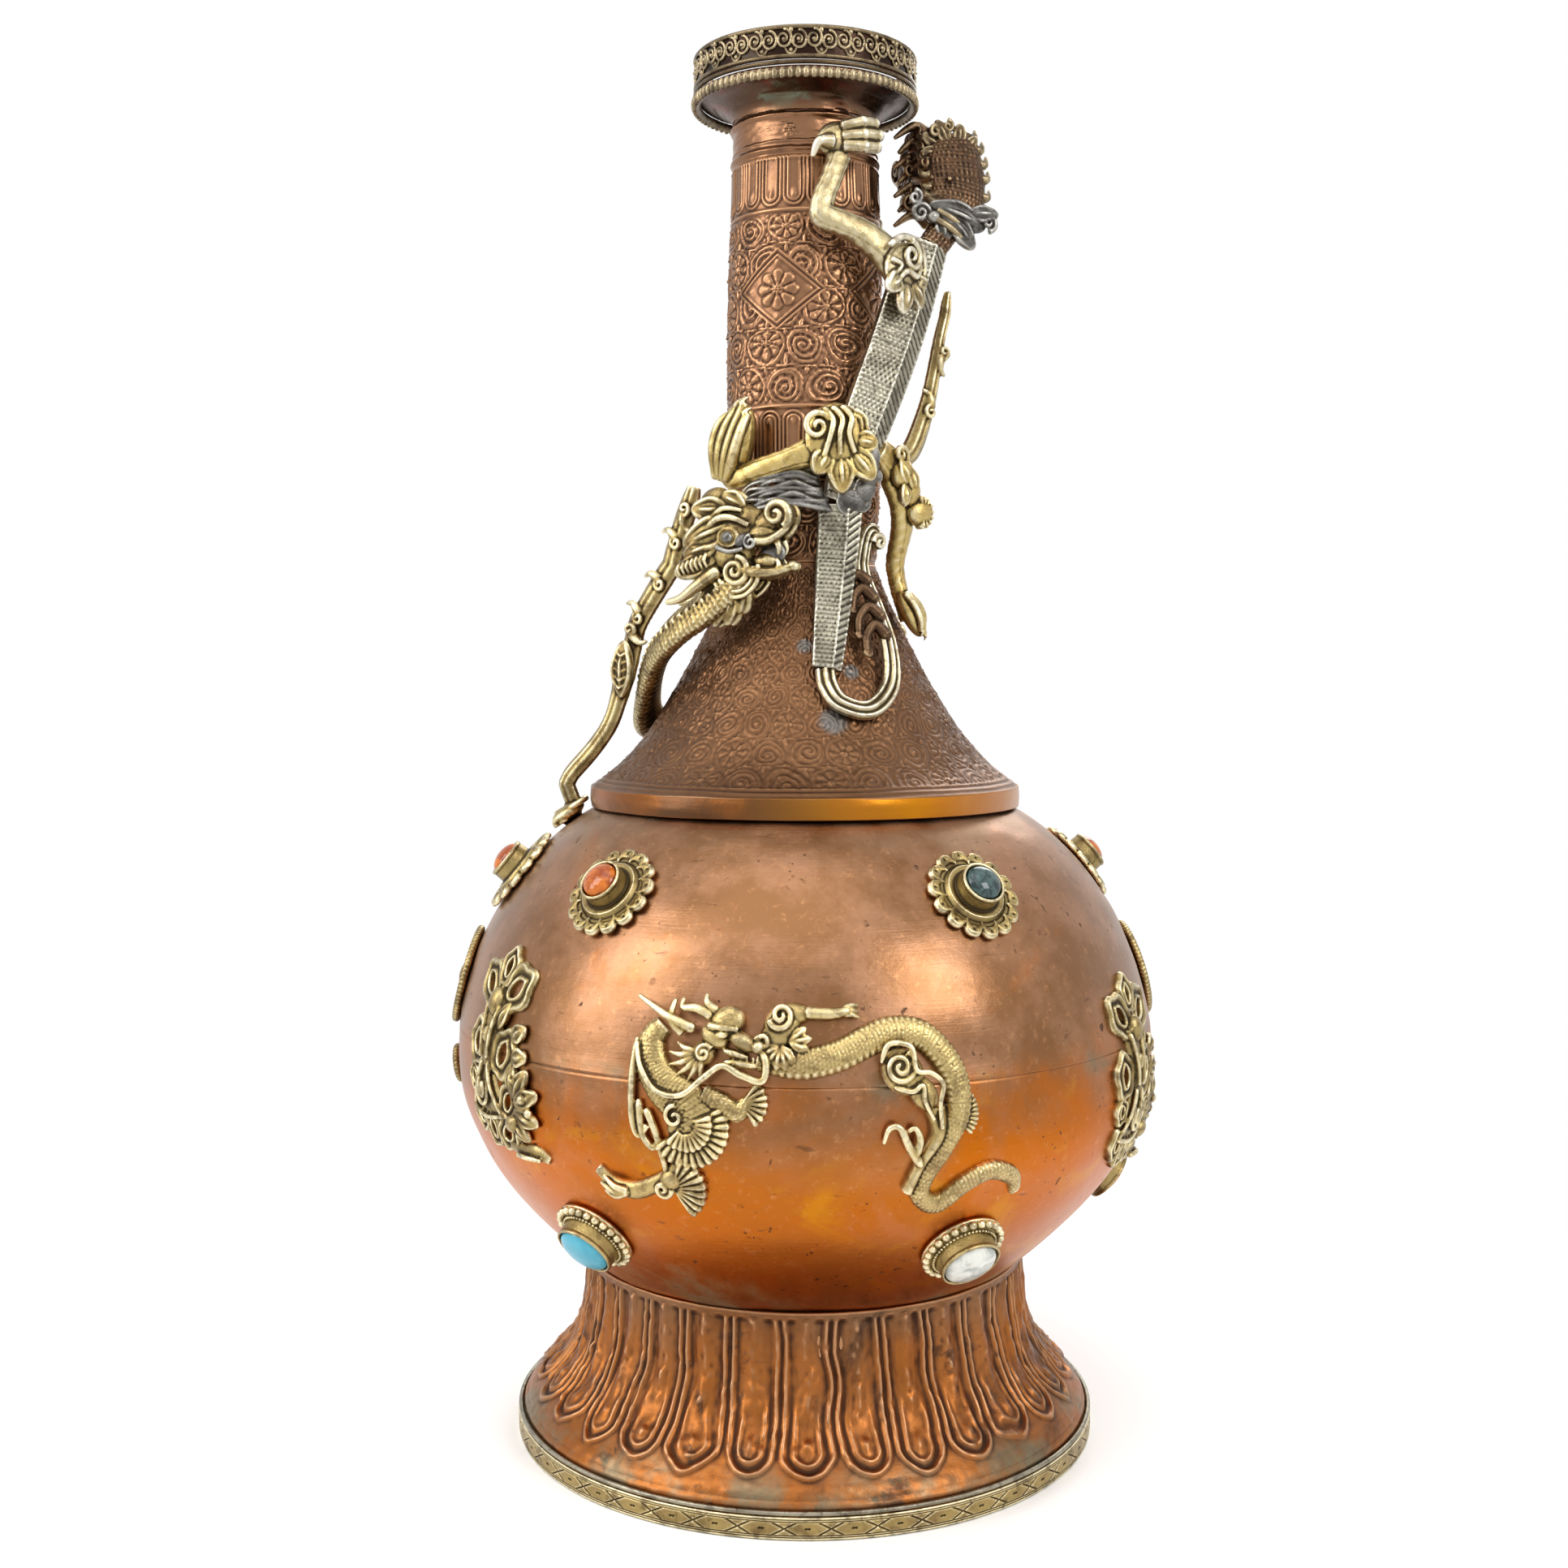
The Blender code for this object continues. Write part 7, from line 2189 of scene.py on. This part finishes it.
BEARD_LOBES = ((212, 15.0), (226, 15.5), (240, 14.0), (255, 12.5), (271, 9.5))
DRAGON_FACE = (
    # skull, muzzle, cheek, eyeball, pupil and eyelid
    (flat_pod, -4, 3, 0, 8.6, 6.4, 4.8, 12),
    (flat_pod, 4.6, 3.4, 0, 6.6, 3.4, 3.6, 18),
    (flat_pod, -6.5, -3.5, 0, 6.6, 6.0, 4.6, -20),
    (flat_pod, -5.4, 0.6, 4.4, 2.3, 2.0, 1.5),
    (flat_pod, -5.1, 0.5, 5.5, 1.1, 1.1, 0.8),
    (flat_ring, -5.4, 0.6, 4.4, 2.7, 0.6, 0.85),
    # two brows, the nostril and the upper lip
    (flat_lock, ((-12.5, 2.6, 3.2), (-8.4, 5.4, 4.8), (-4, 5.6, 5.0), (0.8, 3.2, 4.2)), 1.3, 0.7),
    (flat_lock, ((-11, 5.4, 3.0), (-6.5, 8.2, 4.2), (-1.0, 7.2, 4.0)), 1.2, 0.5),
    (flat_coil, 8.2, 5.4, 2.6, 3.9, 1.5, -60, 1, 1.2),
    (flat_pod, 8.6, 5.0, 0.6, 3.6, 3.6, 3.0),
    (flat_pod, 3.0, 0.8, 0, 5.0, 3.6, 4.2),
    (flat_lock, ((1.5, -1.0, 3.8), (6, -1.2, 3.4), (10.4, 1.4, 2.4), (11.8, 4.6, 1.8)), 1.2, 0.9),
    # upper fang, lower fang, lower jaw, chin, tongue and the coil at the jaw's hinge
    (flat_lock, ((7.6, -1.2, 2.2), (8.3, -3.4, 2.4), (7.8, -5.2, 2.0)), 1.15, 0.3, 14),
    (flat_lock, ((7.4, -9.6, 2.0), (7.9, -7.6, 2.2), (7.2, -5.8, 2.0)), 1.1, 0.3, 12),
    (flat_lock, ((-4, -7.4, 2.8), (1, -9.2, 3.0), (6.0, -9.6, 2.2), (10.6, -8.6, 1.0)), 2.0, 1.2),
    (flat_pod, 11.2, -8.4, 0.6, 1.7, 1.5, 1.5),
    (flat_pod, 3.2, -6.6, 0, 4.0, 2.6, 2.6),
    (flat_coil, -4.2, -8.4, 3.8, 4.0, 1.9, 80, -1, 1.0),
    (flat_pod, -4.2, -8.4, 1.0, 4.6, 4.6, 2.8),
    # ears, horn's root and locks behind the eye
    (lobe, -3.0, 4.6, 196, 16.0, 4.4, 3.2, 1.7),
    (lobe, -5.0, 8.0, 174, 11.0, 3.4, 2.4),
    (lobe, -1.0, 8.6, 150, 7.0, 2.6, 2.0),
    (lobe, -8.0, -0.4, 192, 11.0, 3.0, 3.4),
    (lobe, -10.0, -4.6, 193, 12.0, 3.2, 3.2),
    (flat_pod, -10.2, 10.8, 0, 4.6, 3.8, 3.4, 10),
    *((neck_bar, i) for i in range(NECK_BARS)),
    # long lock and beard under the jaw
    (flat_lock, ((-9, -7.6, 3.4), (-15.5, -11.4, 4.4), (-20.5, -14.2, 4.4), (-25.4, -14.8, 3.4)), 2.1, 0.8),
    *((lobe, -5.0, -9.6, angle, long, 2.7, 1.8, 1.6) for angle, long in BEARD_LOBES),
    (jaw_arc, 5.4), (jaw_arc, 6.9),
)
COILING_EYE = (
    (flat_pod, -5.1, 0.5, 5.4, 1.6, 1.6, 1.2),
    (flat_pod, -1.4, -0.6, 4.0, 2.6, 1.9, 1.3, 20),
    (flat_pod, 5.4, -4.6, 0, 3.6, 3.4, 1.4),
    (flat_coil, 1.4, -1.4, 4.8, 1.9, 1.3, 90, 1, 0.7),
    (flat_lock, ((-9.0, -1.6, 4.6), (-5.2, -3.2, 5.0), (-1.0, -2.8, 4.8)), 0.9, 0.5),
)
TAIL_CURL = ((flat_coil, 0, 0, 0.4, 3.4, 1.4, -90, 1, 1.0, 0.5),)
STREAMER_SHELL = ((flat_shell, 0, 0, 190, 350, 5, 0.6, 6.2, -0.4, 1.4),)
STREAMER_END = ((flat_pod, 0, 0, 0, 5.2, 3.8, 2.2, 90), (flat_ring, 0, 3.4, 0.8, 3.0, 0.9))
MANE_TUFTS = (
    (lobe, -3.4, 0, 150, 7.0, 1.9, 0),
    (lobe, -2.0, 0.6, 118, 7.5, 1.9, 0.8),
    (lobe, 0.6, 0.8, 84, 6.0, 1.8, 0.6),
    (lobe, -4.0, -1.4, 178, 6.0, 1.7, 0.6),
    (lobe, 3.0, 0.2, 50, 4.6, 1.5, 0.2),
    (flat_coil, -6.0, 4.4, 1.0, 1.9, 1.3, 0, 1, 0.8),
    (flat_coil, -2.6, 6.0, 1.2, 1.7, 1.3, 90, -1, 0.7),
)
BEARD_JAW = (
    (lobe, -8.0, 3.4, -20, 16.0, 3.6, 1.0, 2.4),
    (lobe, -3.0, 0.6, -50, 11.0, 2.8, 1.6, 1.9),
    (lobe, 2.0, 1.0, 2, 9.0, 2.2, 1.8, 1.6),
    (lobe, -5.0, 1.0, -80, 8.0, 2.4, 1.2, 1.7),
    (flat_coil, 8.6, -1.2, 2.0, 2.2, 1.3, -90, 1, 0.9),
)
BEARD_KNOTS = (
    (flat_coil, 0, 0, 0, 2.6, 1.6, 0, 1, 0.9),
    (flat_pod, 3.6, -1.0, 0, 2.0, 1.8, 1.8),
    (flat_coil, -1.6, 4.0, 0, 2.0, 1.4, 90, -1, 0.8),
)
SHADE_CURLS = (
    (flat_coil, 1.0, -6.0, 1.6, 2.6, 1.5, 0, 1, 0.9),
    (flat_coil, 0.6, 3.4, 1.6, 2.3, 1.5, 120, -1, 0.8),
)


def dragon_face(length):
    """A dragon's head in profile looking along +x, about its own middle; both sides alike."""
    return [run * (length / COILING_HEAD_LENGTH) for run in mirrored(built(DRAGON_FACE))]


def hair_runs():
    """A band of wavy locks over the brow, tucked between the snout and the hind leg above it."""
    runs = []
    for i in range(HAIR_LOCKS):
        lift = 0.0085 * i
        wave = 0.005 * math.sin(2.3 * i)
        path = (
            (14 - 1.2 * i, 1.112 + lift - wave, 7.5 - 0.1 * i),
            (4, 1.116 + lift + wave, 10.0 - 0.3 * i),
            (-6, 1.122 + lift - wave, 11.6 - 0.4 * i),
            (-16, 1.118 + lift + wave, 12.6 - 0.4 * i),
            (-26 - i % 3, 1.108 + lift - wave, 12.4 - 0.4 * i),
            (-31 - i % 4, 1.094 + lift, 12.0 - 0.4 * i),
        )
        runs.append(strand(path, 0.95 + 0.25 * (i % 3), 0.45, 40))
    return runs


def make_coiling_dragon():
    trunk = [neck_limb(COILING_BODY, limb_ribs, sides=48, steps_per_mm=3.2)]
    finish_cast("coiler_trunk", trunk + patched(built(TAIL_CURL), *TAIL_CURL_PLACE))
    finish_cast("coiler_head", patched(dragon_face(COILING_HEAD_LENGTH), *COILING_HEAD_PLACE))
    finish_cast("coiler_hair", hair_runs())
    finish_cast("coiler_eye", patched(built(COILING_EYE), *COILING_HEAD_PLACE))
    runs = streamer_runs(COILING_STREAMER, COILING_THORNS, COILING_STREAMER_FACING)
    runs += patched(veined_leaf(*STREAMER_LEAF), *STREAMER_LEAF_PLACE)
    runs += patched(built(STREAMER_SHELL), *STREAMER_SHELL_PLACE)
    runs += patched(built(STREAMER_END), *STREAMER_END_PLACE)
    finish_cast("coiler_ribbon", runs)
    make_limb("coiler_leg")


def mane_runs():
    """Ragged locks down both edges of the scaled neck, a strip across it and curled tufts above."""
    runs = []
    centre, side, up, width, thick, run = member_rows(CLIMBING_NECK, 1.0, NECK_FACING)
    along = directions(centre)
    start = int(np.argmin(np.abs(run - MANE_START)))
    for i in range(start, len(run) - 1, MANE_STEPS):
        for hand in (-1, 1):
            root = centre[i] + side[i] * hand * 0.38 * width[i] + up[i] * 0.06 * thick[i]
            bend = root + side[i] * hand * 2.4 - along[i] * 0.4 + up[i] * 0.6
            tip = root + side[i] * hand * 3.4 + along[i] * 2.6
            runs.append(tube(through((root, bend, tip), 12), np.linspace(2.3, 0.25, 12), 10))
    for drop in (0, 2):
        bar = centre[start - drop] + up[start] * 0.42 * thick[start]
        half = 0.5 * width[start] * side[start]
        runs.append(tube(through((bar - half, bar + up[start] * 0.8, bar + half), 16), 1.0, 10))
    return runs + patched(built(MANE_TUFTS), *TUFTS_PLACE)


def beard_runs():
    """A flared leaf-like jaw below the neck block, with curled tufts round it."""
    return patched(built(BEARD_JAW), *JAW_PLACE) + patched(built(BEARD_KNOTS), *KNOTS_PLACE)


def shade_locks():
    """Dark ragged locks that fill the hollow between the climbing head and the vase's neck,
    a dark mass put there as painted shade.
    """
    locks = []
    for i in range(SHADE_LOCKS):
        top = 13.0 - 4.0 * i
        reach = -3.6 + 1.2 * (i % 2)
        locks.append(flat_lock(((7.0, top, 0), (2.0, top + 2.4, 1.2), (reach, top - 1.0, 0.2)), 2.3, 0.5))
    return patched(locks + built(SHADE_CURLS), *SHADE_PLACE)


def make_climbing_head():
    """Scaled neck block, and a head that looks back over the far side."""
    block = [neck_limb(CLIMBING_NECK, limb_worn, sides=72, steps_per_mm=4.0, facing=NECK_FACING)]
    finish_cast("climber_head", block + patched(dragon_face(CLIMBING_HEAD_LENGTH), *CLIMBING_HEAD_PLACE))
    finish_cast("climber_mane", mane_runs())
    finish_cast("climber_shade", shade_locks())
    finish_cast("climber_beard", beard_runs())


# Stage

def make_floor():
    """White paper that keeps the vase's shadow and fades out beyond it."""
    bpy.ops.mesh.primitive_plane_add(size=FLOOR_SIZE, location=(0, 0, -FLOOR_DROP))
    floor = bpy.context.object
    floor.name = "floor"
    g = Graph("floor_paper")
    g.finish(FLOOR_COLOUR, 0.9, 0.0)
    reach = g.add("ShaderNodeVectorMath", {0: g.place()}, operation="LENGTH").outputs["Value"]
    clear = g.add("ShaderNodeBsdfTransparent", {}).outputs[0]
    blend = g.add("ShaderNodeMixShader", {0: g.step(reach, *FLOOR_FADE), 1: g.shader.outputs[0], 2: clear})
    g.tree.links.new(blend.outputs[0], g.tree.nodes["Material Output"].inputs["Surface"])
    floor.data.materials.append(g.material)


def make_world():
    """White to the camera and in reflections, and a little darker as light."""
    world = bpy.data.worlds.new("studio")
    bpy.context.scene.world = world
    world.use_nodes = True
    tree = world.node_tree
    back = tree.nodes["Background"]
    back.inputs["Color"].default_value = (1.0, 1.0, 1.0, 1.0)
    rays = tree.nodes.new("ShaderNodeLightPath")
    seen = rays.outputs["Is Camera Ray"]
    for kind in ("Is Glossy Ray", "Is Transmission Ray"):
        either = tree.nodes.new("ShaderNodeMath")
        either.operation = "MAXIMUM"
        tree.links.new(seen, either.inputs[0])
        tree.links.new(rays.outputs[kind], either.inputs[1])
        seen = either.outputs[0]
    strength = tree.nodes.new("ShaderNodeMapRange")
    strength.inputs["To Min"].default_value = WORLD_LIGHT
    strength.inputs["To Max"].default_value = 1.0
    tree.links.new(seen, strength.inputs["Value"])
    tree.links.new(strength.outputs[0], back.inputs["Strength"])


def area_light(name, direction, distance, size, power):
    lamp = bpy.data.lights.new(name, "AREA")
    lamp.size = size
    lamp.energy = power
    holder = bpy.data.objects.new(name, lamp)
    bpy.context.scene.collection.objects.link(holder)
    aim = Vector(LIGHT_AIM)
    holder.location = aim + Vector(direction).normalized() * distance
    holder.rotation_euler = (aim - holder.location).to_track_quat("-Z", "Y").to_euler()


def make_camera():
    lens = bpy.data.cameras.new("photo_camera")
    lens.sensor_width = SENSOR
    lens.lens = FOCAL_PIXELS * SENSOR / PHOTO_SIZE
    lens.clip_start = CLIP_START
    camera = bpy.data.objects.new("photo_camera", lens)
    bpy.context.scene.collection.objects.link(camera)
    camera.location = CAMERA_PLACE
    camera.rotation_euler = (0.5 * math.pi - CAMERA_PITCH, 0.0, 0.0)
    bpy.context.scene.camera = camera


def write_sizes():
    def plain(box):
        return [[float(value) for value in corner] for corner in box]


make_floor()
make_world()
for light in LIGHTS:
    area_light(*light)
make_camera()
make_belly()
make_foot()
make_collar()
make_cone()
make_neck()
make_mouth()
make_jewels()
make_belly_dragons()
make_emblems()
make_medallions()
make_climbing_body()
make_climbing_legs()
make_climbing_head()
make_coiling_dragon()
bpy.context.scene.view_settings.view_transform = "Standard"
write_sizes()
